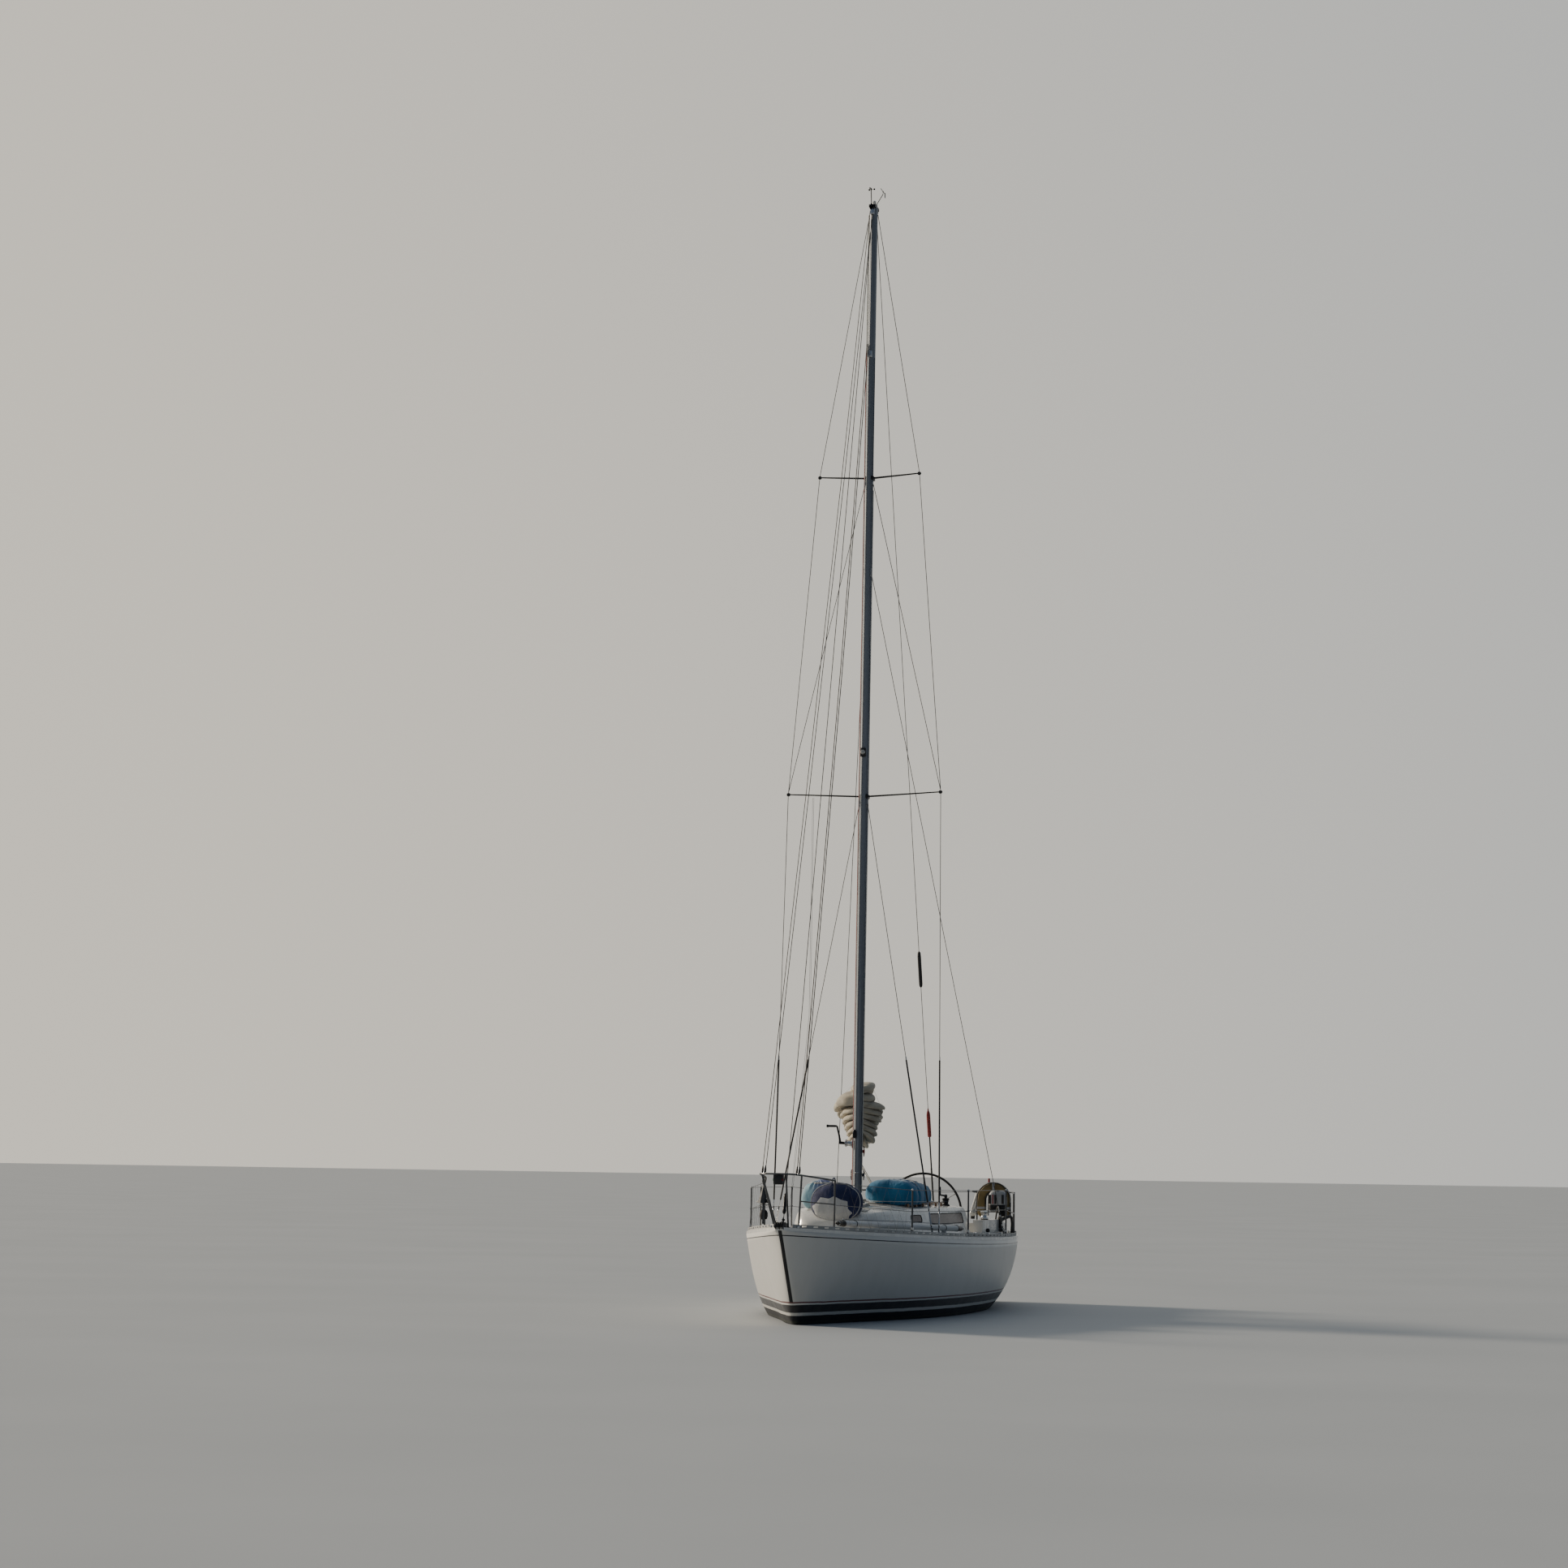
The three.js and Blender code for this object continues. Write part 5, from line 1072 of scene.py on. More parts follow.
def add_boom_fittings():
    """Track, reefing lines with their cleats, sheet block, end sheaves and kicker lug, all on the boom."""
    shape = Shape()
    shape.use("black_metal")
    for out in (0.5, 0.62, 0.74):
        spot = boom_point(out, 0.052, 0)
        shape.lathe(
            spot, boom_point(out, 1, 0) - boom_point(out, 0, 0),
            [(0.014, 0), (0.012, 0.02), (0.018, 0.03), (0.008, 0.036)], 10,
        )
    for y, z, look in ((0.053, 0.015, "rope_red"), (0.055, -0.012, "rope_white"), (-0.054, 0.0, "rope_dark")):
        shape.use(look)
        shape.tube([boom_point(0.2 + 4.0 * k / 16, y, z + 0.004 * sin(k)) for k in range(17)], 0.0048, 7)
    for out in (1.6, 2.7, 3.9):
        ring = []
        for t in turns_of(20):
            ring.append(boom_point(out, 0.056 * cos(t), 0.082 * sin(t)))
        shape.use("black_plastic").tube(ring, 0.004, 6, loop=True)
    hang = boom_point(2.62, 0, -0.075)
    shape.use("stainless")
    shape.tube([boom_point(2.55, 0, -0.074), hang + up(-0.035), boom_point(2.69, 0, -0.074)], 0.006, 8)
    shape.tube(
        [boom_point(1.12, 0, -0.074), boom_point(1.18, 0, -0.11), boom_point(1.24, 0, -0.074)], 0.006, 8,
    )
    block(shape, hang + up(-0.09))
    end = boom_point(4.345, 0, 0)
    across = (boom_point(1, 1, 0) - boom_point(1, 0, 0)).normalized()
    for y in (-0.024, 0.0, 0.024):
        shape.use("black_metal")
        shape.lathe(
            end + across * (y - 0.007), across,
            [(0.034, 0), (0.036, 0.003), (0.026, 0.007), (0.036, 0.011), (0.034, 0.014)], 16,
        )
    return shape.piece("boom_fittings", body="boom")


def block(shape, centre, size=0.034):
    """A rope block: two cheeks round a sheave."""
    shape.use("black_plastic")
    for side in (-1, 1):
        profile = [(size * 0.9, 0), (size, 0.003), (size * 0.9, 0.007), (size * 0.3, 0.009)]
        shape.lathe(centre + Vector((side * 0.009, 0, 0)), (side, 0, 0), profile, 16)
    shape.use("black_metal")
    shape.lathe(
        centre - Vector((0.008, 0, 0)), (1, 0, 0),
        [(size * 0.8, 0), (size * 0.62, 0.008), (size * 0.8, 0.016)], 16,
    )
    shape.use("stainless").tube([centre + Vector((-0.012, 0, 0)), centre + Vector((0.012, 0, 0))], 0.007, 8)


TRAVELLER = {"aft": 8250, "height": 0.835, "car_y": -0.22}


def add_sheet_lines():
    """Mainsheet, kicker and topping lift: each runs from the yacht to the boom."""
    foot = Vector((5 - TRAVELLER["aft"] / 1000, TRAVELLER["car_y"], TRAVELLER["height"] + 0.06))
    top = boom_point(2.62, 0, -0.2)
    sheet = Shape()
    for dx, dy in ((-0.012, -0.01), (0.012, -0.01), (-0.012, 0.012), (0.012, 0.012)):
        points = [
            foot + Vector((dx, dy, 0)), foot.lerp(top, 0.5) + Vector((dx, dy, 0)),
            top + Vector((dx, dy, 0)),
        ]
        sheet.use("rope_white").tube(smooth_line(points, 6), 0.005, 7)
    thing = sheet.object("mainsheet")
    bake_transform(thing)

    heel = on_mast(1.66, -0.11)
    lug = boom_point(1.18, 0, -0.105)
    kicker = Shape()
    kicker.use("stainless").tube([heel, heel.lerp(lug, 0.5)], 0.021, 14)
    kicker.use("black_metal").tube([heel.lerp(lug, 0.42), lug], 0.015, 12)
    for side in (-0.03, 0.03):
        kicker.use("rope_dark")
        kicker.tube([heel + Vector((0, side, -0.03)), lug + Vector((0, side * 0.6, -0.05))], 0.0045, 7)
    thing = kicker.object("kicker")
    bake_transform(thing)

    lift = Shape("rope_dark")
    start = Vector((on_mast(MASTHEAD).x - 0.12, 0.012, MASTHEAD))
    end = boom_point(4.33, 0, 0.09)
    points = [start.lerp(end, k / 24) for k in range(25)]
    lift.use("rope_dark").tube(points, 0.0032, 7)
    thing = lift.object("topping_lift")
    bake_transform(thing)


def winch_profile(radius, height):
    """A two-speed drum with self-tailing jaws and a cap."""
    shares = (
        (1.0, 0), (1.0, 0.10), (0.86, 0.16), (0.66, 0.26), (0.60, 0.44), (0.66, 0.60), (0.86, 0.66),
        (0.90, 0.70), (0.72, 0.735), (0.90, 0.77), (0.92, 0.86), (0.80, 0.92), (0.40, 0.97), (0.20, 1.0),
    )
    return [(radius * r, height * h) for r, h in shares]


WINCHES = (("coachroof", 6900, 720, 0.062, 0.150, 1480), ("cockpit", 7950, 1098, 0.066, 0.170, 1270))


def add_winches():
    for name, aft, out, radius, height, low in WINCHES:
        for side, sign in SIDES:
            shape = Shape()
            base = low + 20 if name == "coachroof" else low + 30.3
            foot = place(aft, sign * out, base)
            tall = height - (base - low) / 1000
            shape.use("black_metal").lathe(
                foot, (0, 0, 1), [(radius, 0), (radius, 0.010), (radius * 0.96, 0.014)], 28,
            )
            shape.use("black_metal" if name == "coachroof" else "stainless")
            shape.lathe(foot + up(0.013), (0, 0, 1), winch_profile(radius * 0.97, tall - 0.013), 28)
            for t in turns_of(12):
                rib = foot + Vector((radius * 0.60 * cos(t), radius * 0.60 * sin(t), tall * 0.32))
                shape.tube([rib, rib + up(tall * 0.24)], 0.0022, 5)
            shape.piece(f"winch_drum_{name}_{side}", replaces=[f"winch_{name}_{side}"])
    add_winch_handle()


def add_winch_handle():
    """A handle left in the port coachroof winch, its grip upright."""
    shape = Shape()
    top = place(6900, 720, 1628)
    elbow = top + Vector((0.20, -0.05, 0.045))
    shape.use("black_metal")
    shape.lathe(top, (0, 0, 1), [(0.018, 0), (0.024, 0.006), (0.024, 0.04), (0.012, 0.052)], 16)
    shape.tube([top + up(0.03), top.lerp(elbow, 0.5) + up(0.014), elbow], [0.017, 0.014, 0.014], 10)
    shape.use("black_plastic")
    grip = [elbow + up(high) for high in (-0.012, 0.01, 0.02, 0.105, 0.12)]
    shape.tube(grip, [0.012, 0.020, 0.0185, 0.0185, 0.012], 12)
    shape.piece("winch_handle")


WHEEL = {"x": -3.64, "z": 1.385, "radius": 0.600, "tube": 0.018}


def add_wheel():
    """The leather-covered rim with its stitched seam, six spokes, hub and nut."""
    shape = Shape()
    centre = Vector((WHEEL["x"], 0, WHEEL["z"]))

    def spoke(t, reach):
        return Vector((0, cos(t) * reach, sin(t) * reach))

    shape.use("leather")
    shape.tube([centre + spoke(t, WHEEL["radius"]) for t in turns_of(96)], WHEEL["tube"], 14, loop=True)
    shape.use("rope_white")
    inner = WHEEL["radius"] - WHEEL["tube"] * 0.98
    for t in turns_of(150):
        first = centre + spoke(t, inner) + Vector((0.0035, 0, 0))
        shape.tube([first, centre + spoke(t + 0.012, inner) - Vector((0.0035, 0, 0))], 0.0009, 4)
    shape.use("stainless")
    for t in turns_of(6, pi / 6):
        shape.tube([centre + spoke(t, 0.03), centre + spoke(t, WHEEL["radius"] - 0.008)], 0.0075, 10)
        shape.tube(
            [centre + spoke(t, WHEEL["radius"] - 0.04), centre + spoke(t, WHEEL["radius"] - 0.014)], 0.0105,
            10,
        )
    profile = [(0.012, -0.03), (0.044, -0.028), (0.046, -0.01), (0.046, 0.012), (0.034, 0.022), (0.022, 0.03),
               (0.010, 0.034)]
    shape.lathe(centre, (-1, 0, 0), profile, 24)
    return shape.piece("wheel", body="steering_wheel", replaces=["steering_wheel"])


def add_deck_gear():
    """Cleats, genoa tracks, handrails, rope stoppers, vents, the traveller and other small deck gear."""
    shape = Shape()
    for _name, sign in SIDES:
        for aft, y in ((1180, 420), (5350, 1480), (9280, 1180)):
            spot = on_deck(aft, sign * y, 2)
            shape.use("stainless")
            cleat(shape, spot, (1, 0, 0) if aft != 1180 else (1, -0.35 * sign, 0))
        for aft, y in ((330, 175), (9640, 1165)):
            spot = on_deck(aft, sign * y, 0)
            shape.use("stainless").block((-0.07, -0.014, 0), (0.07, 0.014, 0.03), 0.006, at=spot)
        genoa_track(shape, sign)
        handrail(shape, sign)
        stopper_bank(shape, sign)
    for aft, y in ((6420, 560), (6420, -560)):
        vent(shape, on_roof(aft, y, -4))
    traveller(shape)
    add_hatch_frames(shape)
    return shape.piece("deck_gear")


def genoa_track(shape, sign):
    """A T track along the side deck with its car and turning block."""
    rows = [on_deck(aft, sign * (hull_value("beam", aft) - 190), 1) for aft in range(5300, 7300, 100)]
    shape.use("black_metal")
    shape.loft(
        [
            [
                p + Vector((0, dy, dz))
                for dy, dz in ((-0.016, 0), (0.016, 0), (0.016, 0.018), (-0.016, 0.018))
            ]
            for p in rows
        ]
    )
    for index in (8, 19):
        spot = rows[index] + up(0.018)
        shape.use("stainless").block((-0.06, -0.024, 0), (0.06, 0.024, 0.022), 0.006, at=spot)
        block(shape, spot + up(0.062), 0.03)


def handrail(shape, sign):
    """A wooden grab rail along the coachroof, low between its feet."""
    afts = [4560 + 40 * k for k in range(46)]
    spots = [on_roof(aft, sign * (roof_value("roof", aft) - 150), 0) for aft in afts]
    shape.use("wood").tube([p + up(0.05) for p in spots], 0.013, 10)
    for index in range(0, 46, 9):
        foot = spots[index]
        shape.loft(
            [
                [
                    foot + Vector((dx, dy, dz))
                    for dx, dy in ((-wide, -0.011), (wide, -0.011), (wide, 0.011), (-wide, 0.011))
                ]
                for dz, wide in ((0, 0.05), (0.045, 0.028))
            ]
        )


def stopper_bank(shape, sign):
    """Three rope stoppers ahead of the coachroof winch, with the lines that run through them."""
    for index, look in enumerate(("rope_white", "rope_red", "rope_dark")):
        y = sign * (470 + 44 * index)
        spot = on_roof(6650, y, 0)
        shape.use("black_plastic").block((-0.075, -0.017, 0), (0.075, 0.017, 0.045), 0.007, at=spot)
        shape.use("white_plastic").block(
            spot + Vector((-0.06, -0.012, 0.045)), spot + Vector((0.03, 0.012, 0.056)), 0.004,
        )
        line = [on_roof(aft, sign * (130 + (340 + 44 * index) * min(1, (aft - 4330) / 300)), 14)
                for aft in range(4330, 6700, 95)]
        shape.use(look).tube(line, 0.0052, 7)
    lead = [on_roof(6690, sign * 514, 16), on_roof(6790, sign * 600, 40), place(6862, sign * 676, 1560)]
    wraps = [place(6900 - 41 * cos(t), sign * (720 - 41 * sin(t)), 1560 + 1.8 * t)
             for t in (0.9 + 0.35 * k for k in range(56))]
    shape.use("rope_dark").tube([*smooth_line(lead, 6), *wraps], 0.0052, 7)
    spot = on_roof(4640, sign * 490, 0)
    shape.use("black_metal").block((-0.04, -0.09, 0), (0.04, 0.09, 0.03), 0.008, at=spot)


def vent(shape, foot):
    """A low mushroom vent."""
    shape.use("stainless").lathe(
        foot, (0, 0, 1),
        [
            (0.085, 0), (0.085, 0.016), (0.05, 0.022), (0.05, 0.042), (0.078, 0.046), (0.074, 0.058),
            (0.045, 0.072), (0.01, 0.078),
        ],
        28,
    )


def traveller(shape):
    """A track across the foot well at seat height, with its car and sheet block."""
    x = 5 - TRAVELLER["aft"] / 1000
    z = TRAVELLER["height"]
    shape.use("black_metal").block((x - 0.022, -0.5, z - 0.03), (x + 0.022, 0.5, z + 0.012), 0.006)
    for side in (-1, 1):
        shape.use("stainless").block(
            (x - 0.04, side * 0.49 - 0.03, 0.801), (x + 0.04, side * 0.49 + 0.03, z), 0.008,
        )
    y = TRAVELLER["car_y"]
    shape.block((x - 0.034, y - 0.06, z + 0.008), (x + 0.034, y + 0.06, z + 0.032), 0.008)
    block(shape, Vector((x, y, z + 0.062)))


def rounded_path(low_x, high_x, low_y, high_y, radius, lift):
    """Points round a rectangle with round corners; lift gives the height at each x and y, in millimetres."""
    corners = ((high_x - radius, high_y - radius, 0), (low_x + radius, high_y - radius, 90),
               (low_x + radius, low_y + radius, 180), (high_x - radius, low_y + radius, 270))
    line = []
    for x, y, start in corners:
        for step in range(7):
            angle = radians(start + 15 * step)
            line.append((x + radius * cos(angle), y + radius * sin(angle)))
    spread = []
    for index, (x, y) in enumerate(line):
        nx, ny = line[(index + 1) % len(line)]
        count = max(1, int(hypot(nx - x, ny - y) / 120))
        spread.extend((x + (nx - x) * k / count, y + (ny - y) * k / count) for k in range(count))
    return [place(x, y, lift(x, y)) for x, y in spread]


def add_hatch_frames(shape):
    """Frames round the forehatch and the anchor locker's lid, and the sliding hatch's garage lip."""
    shape.use("rail_metal")
    frame_line = rounded_path(3318, 3862, -277, 277, 40, lambda aft, y: roof_top(aft, y) + 8)
    shape.tube(frame_line, 0.010, 8, loop=True)
    shape.use("gelcoat")
    shape.tube(
        rounded_path(552, 1068, -178, 178, 20, lambda aft, y: deck_top(aft, y) + 3), 0.005, 6, loop=True,
    )
    shape.use("rail_metal")
    for _name, sign in SIDES:
        rail = [place(aft, sign * 362, 1562) for aft in range(5990, 7360, 130)]
        shape.tube(rail, 0.007, 8)


def add_lid_trim():
    """Hinges, handles and seals that move with the hatches and lids."""
    trim = Shape()
    low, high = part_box("forehatch")
    for y in (-0.17, 0.17):
        spot = Vector((high.x - 0.02, y, high.z - 0.018))
        trim.use("black_plastic").block((-0.02, -0.03, 0), (0.03, 0.03, 0.022), 0.005, at=spot)
    for y in (-0.16, 0.16):
        spot = Vector((low.x + 0.05, y, high.z - 0.012))
        trim.use("black_plastic").lathe(spot, (0, 0, 1), [(0.02, 0), (0.02, 0.008), (0.008, 0.012)], 12)
    trim.piece("forehatch_trim", body="forehatch")
    trim = Shape()
    low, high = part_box("anchor_locker_lid")
    spot = Vector((low.x + 0.06, 0, high.z - 0.004))
    trim.use("stainless").lathe(spot, (0, 0, 1), [(0.024, 0), (0.024, 0.004), (0.016, 0.006)], 16)
    for y in (-0.1, 0.1):
        spot = Vector((high.x - 0.03, y, high.z - 0.006))
        trim.block((-0.03, -0.022, 0), (0.026, 0.022, 0.008), 0.003, at=spot)
    trim.piece("anchor_lid_trim", body="anchor_locker_lid")
    for side, sign in SIDES:
        trim = Shape()
        low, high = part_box(f"locker_lid_{side}")
        for x in (low.x + 0.15, high.x - 0.15):
            y = (high.y if sign > 0 else low.y) - sign * 0.02
            spot = Vector((x, y, high.z))
            trim.use("stainless").block((-0.03, -0.018, 0), (0.03, 0.018, 0.006), 0.002, at=spot)
        y = (low.y if sign > 0 else high.y) + sign * 0.03
        trim.block((low.x + 0.37, y - 0.012, high.z), (low.x + 0.43, y + 0.012, high.z + 0.01), 0.003)
        trim.use("nonskid").block(
            (low.x + 0.05, low.y + 0.045, high.z), (high.x - 0.05, high.y - 0.045, high.z + 0.002), 0.001,
        )
        trim.piece(f"locker_trim_{side}", body=f"locker_lid_{side}")
    trim = Shape()
    low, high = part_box("companionway_hatch")
    trim.use("wood")
    trim.tube(
        [Vector((low.x + 0.03, y, high.z + 0.012 - 0.06 * abs(y) ** 2)) for y in (-0.2, -0.1, 0, 0.1, 0.2)],
        0.011, 10,
    )
    trim.use("black_plastic")
    for y in (-0.24, 0.24):
        trim.block(
            (low.x + 0.02, y - 0.012, high.z - 0.014), (high.x - 0.05, y + 0.012, high.z - 0.005), 0.002,
        )
    trim.piece("sliding_hatch_trim", body="companionway_hatch")


def add_bow_gear():
    """Bow light, anchor lashing, rope loop, snap hooks, rollers and the short chain in them."""
    shape = Shape()
    light = Vector((5.300, 0.064, 1.880))
    shape.use("black_plastic").block((-0.045, -0.062, -0.068), (0.05, 0.062, 0.066), 0.016, at=light)
    for sign, lamp in ((1, "lamp_red"), (-1, "lamp_green")):
        shape.use(lamp)
        spot = light + Vector((0.022, sign * 0.045, -0.006))
        shape.lathe(spot, (0.6, sign, 0), [(0.022, 0), (0.022, 0.016), (0.016, 0.023), (0.006, 0.026)], 16)
    shape.use("black_metal").tube(
        [light + Vector((-0.01, 0, 0.05)), light + Vector((-0.01, 0, 0.075))], 0.012, 8,
    )
    loop = []
    for t in turns_of(24):
        loop.append(Vector((4.56 + 0.05 * cos(t), -0.335 + 0.10 * cos(t), 1.585 + 0.018 * sin(2 * t)
                            + 0.03 * sin(t))))
    shape.use("rope_white").tube(loop, 0.011, 8, loop=True)
    for k in range(3):
        wrap = [Vector((4.57 + 0.034 * cos(t), -0.33 + 0.026 * sin(t), 1.598 + 0.017 * k + 0.004 * sin(t)))
                for t in turns_of(14)]
        shape.tube(wrap, 0.008, 7, loop=True)
    shape.use("black_plastic")
    strap = [Vector((4.575, -0.332, 1.80)), Vector((4.60, -0.338, 1.86)), Vector((4.625, -0.31, 1.905)),
             Vector((4.60, -0.292, 1.89)), Vector((4.575, -0.318, 1.80))]
    shape.tube(smooth_line(strap, 5), 0.008, 8)
    fender_top = Vector((4.45, -0.36, 1.50))
    shape.use("rubber").lathe(
        fender_top - up(0.15), (0, 0, 1),
        [(0.012, 0), (0.045, 0.012), (0.055, 0.05), (0.055, 0.09), (0.04, 0.12), (0.012, 0.14)], 18,
    )
    shape.use("rope_dark").tube([fender_top, (4.45, -0.365, 1.60), (4.44, -0.372, 1.70)], 0.006, 7)
    for y in (-0.026, 0.026):
        centre = Vector((5.005, y, 1.303))
        shape.use("rubber").lathe(
            centre - Vector((0, 0.018, 0)), (0, 1, 0),
            [(0.03, 0), (0.032, 0.004), (0.022, 0.018), (0.032, 0.032), (0.03, 0.036)], 18,
        )
    shape.use("galvanised")
    for index in range(9):
        chain_link(shape, Vector((4.97 - 0.036 * index, 0.026, 1.338 - 0.0052 * index)), index % 2)
    return shape.piece("bow_gear")


def chain_link(shape, centre, upright):
    across = up(1) if upright else Vector((0, 1, 0))
    ring = [centre + Vector((1, 0, 0)) * 0.022 * cos(t) + across * 0.011 * sin(t) for t in turns_of(12)]
    shape.tube(ring, 0.0042, 6, loop=True)


# Guard rail: how far it stands inside the deck's edge, its stanchions, and the height of each wire at the
# pulpit and at the first stanchion
RAIL_INSIDE = 62
STANCHIONS = (2730, 4640, 6850)
WIRES = {"top": (1835, 1752), "low": (1558, 1465)}


def rail_out(aft):
    return hull_value("beam", aft) - RAIL_INSIDE


def wire_height(name, aft):
    at_pulpit, at_stanchion = WIRES[name]
    return at_pulpit + (at_stanchion - at_pulpit) * (aft - 1030) / 1620


def add_netting():
    """Cord laced between the toe rail and the guard wires of the foredeck, on both sides."""
    shape = Shape("cord_grey")
    for _name, sign in SIDES:
        lacing = []
        for step in range(16):
            aft = 1080 + 100 * step
            if step % 2:
                lacing.append(place(aft, sign * rail_out(aft), wire_height("low", aft)))
            else:
                out = hull_value("beam", aft) - 34
                lacing.append(place(aft, sign * out, deck_top(aft, out) + 44))
        shape.tube(lacing, 0.0013, 5)
        upper = [place(aft, sign * rail_out(aft), wire_height("top" if step % 2 else "low", aft))
                 for step, aft in enumerate(range(1100, 2700, 140))]
        shape.tube(upper, 0.0010, 5)
    return shape.piece("foredeck_lacing")


def add_rail_trim():
    """Caps, eyes and end screws of the guard rail, and the stanchions' base rings."""
    shape = Shape()
    for _name, sign in SIDES:
        for aft in STANCHIONS:
            out = sign * rail_out(aft)
            foot = on_deck(aft, out, 0)
            shape.use("stainless")
            shape.lathe(
                foot + up(0.055), (0, 0, 1), [(0.0145, 0), (0.020, 0.004), (0.020, 0.03), (0.0145, 0.036)],
                16,
            )
            top = place(aft, out, 1765)
            shape.use("white_plastic").lathe(
                top - up(0.016), (0, 0, 1), [(0.0135, 0), (0.0145, 0.004), (0.0145, 0.018), (0.006, 0.024)],
                14,
            )
            for _at_pulpit, z in WIRES.values():
                shape.use("stainless")
                ring = [place(aft, out, z) + Vector((0, 0.0155 * cos(t), 0.0155 * sin(t)))
                        for t in turns_of(12)]
                shape.tube(ring, 0.003, 6, loop=True)
        for z in (1703, 1403):
            end = place(8150, sign * rail_out(8150), z)
            start = end + Vector((0.17, sign * 0.010, 0.004))
            shape.tube(
                [end, end.lerp(start, 0.25), end.lerp(start, 0.75), start], [0.005, 0.0085, 0.0085, 0.005],
                10,
            )
    return shape.piece("guard_rail_trim")


def add_stern_gear():
    """Danbuoy pole, horseshoe light, ensign socket and the stern light on the pushpit."""
    shape = Shape()
    shape.use("boom_metal").tube([(-4.745, 0.82, 1.925), (-4.745, 0.808, 1.34)], 0.015, 12)
    shape.use("red_paint").tube([(-4.745, 0.821, 1.925), (-4.745, 0.820, 1.86)], 0.0175, 12)
    shape.use("white_plastic")
    for shift in (0, 0.042):
        low = Vector((-4.715, 0.545 + shift, 1.40))
        high = Vector((-4.715, 0.643 + shift, 1.715))
        shape.tube([low, low.lerp(high, 0.06), low.lerp(high, 0.94), high], [0.013, 0.018, 0.018, 0.013], 12)
    for z in (1.715, 1.405):
        shape.use("black_plastic").block((-4.735, 0.56, z - 0.012), (-4.70, 0.70, z + 0.012), 0.005)
    ball = Vector((-4.675, 0.575, 1.345))
    shape.use("lamp_white")
    profile = [(0.055 * cos(a), 0.055 * sin(a)) for a in [radians(-80 + 16 * k) for k in range(11)]]
    shape.lathe(ball + up(0.03), (0, 0, 1), profile, 20)
    shape.use("black_plastic").lathe(
        ball - up(0.06), (0, 0, 1), [(0.03, 0), (0.034, 0.01), (0.034, 0.045)], 16,
    )
    light = Vector((-4.72, -0.395, 1.752))
    shape.use("black_plastic").block((-0.03, -0.035, -0.035), (0.03, 0.035, 0.05), 0.008, at=light)
    shape.use("lamp_white").lathe(
        light + Vector((-0.028, 0, 0.006)), (-1, 0, 0), [(0.024, 0), (0.024, 0.012), (0.012, 0.022)], 14,
    )
    socket = Vector((-4.675, -0.93, 1.62))
    shape.use("stainless").tube([socket, socket + Vector((-0.05, 0, 0.2))], 0.016, 12)
    return shape.piece("stern_gear")


def add_cockpit_gear():
    """Compass, throttle, pedestal guard, instruments, floor grating, seat battens and coaming pockets."""
    shape = Shape()
    head = Vector((-3.49, 0, 1.58))
    shape.use("black_plastic").lathe(head, (0, 0, 1), [(0.078, -0.004), (0.082, 0.01), (0.074, 0.03)], 28)
    dome = [(0.066 * cos(a), 0.026 + 0.058 * sin(a)) for a in [radians(15 * k) for k in range(6)]]
    shape.use("acrylic").lathe(head, (0, 0, 1), [*dome, (0.004, 0.0845)], 28)
    guard = smooth_line(
        [
            (-3.395, -0.13, 0.86), (-3.385, -0.135, 1.35), (-3.39, -0.12, 1.60), (-3.395, -0.05, 1.655),
            (-3.395, 0.05, 1.655), (-3.39, 0.12, 1.60), (-3.385, 0.135, 1.35), (-3.395, 0.13, 0.86),
        ],
        6,
    )
    shape.use("stainless").tube(guard, 0.0125, 10)
    for y in (-0.13, 0.13):
        shape.lathe(Vector((-3.395, y, 0.84)), (0, 0, 1), [(0.02, 0), (0.02, 0.03), (0.0125, 0.035)], 12)
        shape.block((-3.43, y - 0.02, 0.83), (-3.36, y + 0.02, 0.85), 0.004)
    shape.use("stainless").tube([(-3.46, -0.105, 1.40), (-3.46, -0.14, 1.42),
                                 Vector((-3.47, -0.165, 1.52))], 0.008, 10)
    shape.use("red_paint").lathe(
        Vector((-3.47, -0.166, 1.51)), (0, 0, 1), [(0.008, 0), (0.016, 0.014), (0.008, 0.03)], 12,
    )
    for y in (-0.055, 0.055):
        shape.use("black_plastic")
        shape.lathe(
            Vector((-3.583, y, 1.455)), (-1, 0, 0.12), [(0.044, 0), (0.044, 0.012), (0.040, 0.016)], 24,
        )
        shape.use("acrylic").lathe(
            Vector((-3.599, y, 1.457)), (-1, 0, 0.12), [(0.037, 0), (0.036, 0.003)], 24,
        )
    grating(shape, -4.26, -3.72)
    grating(shape, -3.29, -2.46)
    shape.use("teak")
    for _name, sign in SIDES:
        for index in range(4):
            y = sign * (0.915 + 0.028 * index)
            shape.block(
                (-3.28, y - 0.011 + sign * 0.05, 0.8005), (-2.62, y + 0.011 + sign * 0.05, 0.812), 0.003,
            )
    board = -2.366
    for y in (-0.44, 0.44):
        shape.use("black_plastic").lathe(
            Vector((board - 0.004, y, 1.33)), (-1, 0, 0), [(0.052, 0), (0.052, 0.018), (0.046, 0.022)], 24,
        )
        shape.use("acrylic").lathe(
            Vector((board - 0.026, y, 1.33)), (-1, 0, 0), [(0.042, 0), (0.041, 0.003)], 24,
        )
    return shape.piece("cockpit_gear")


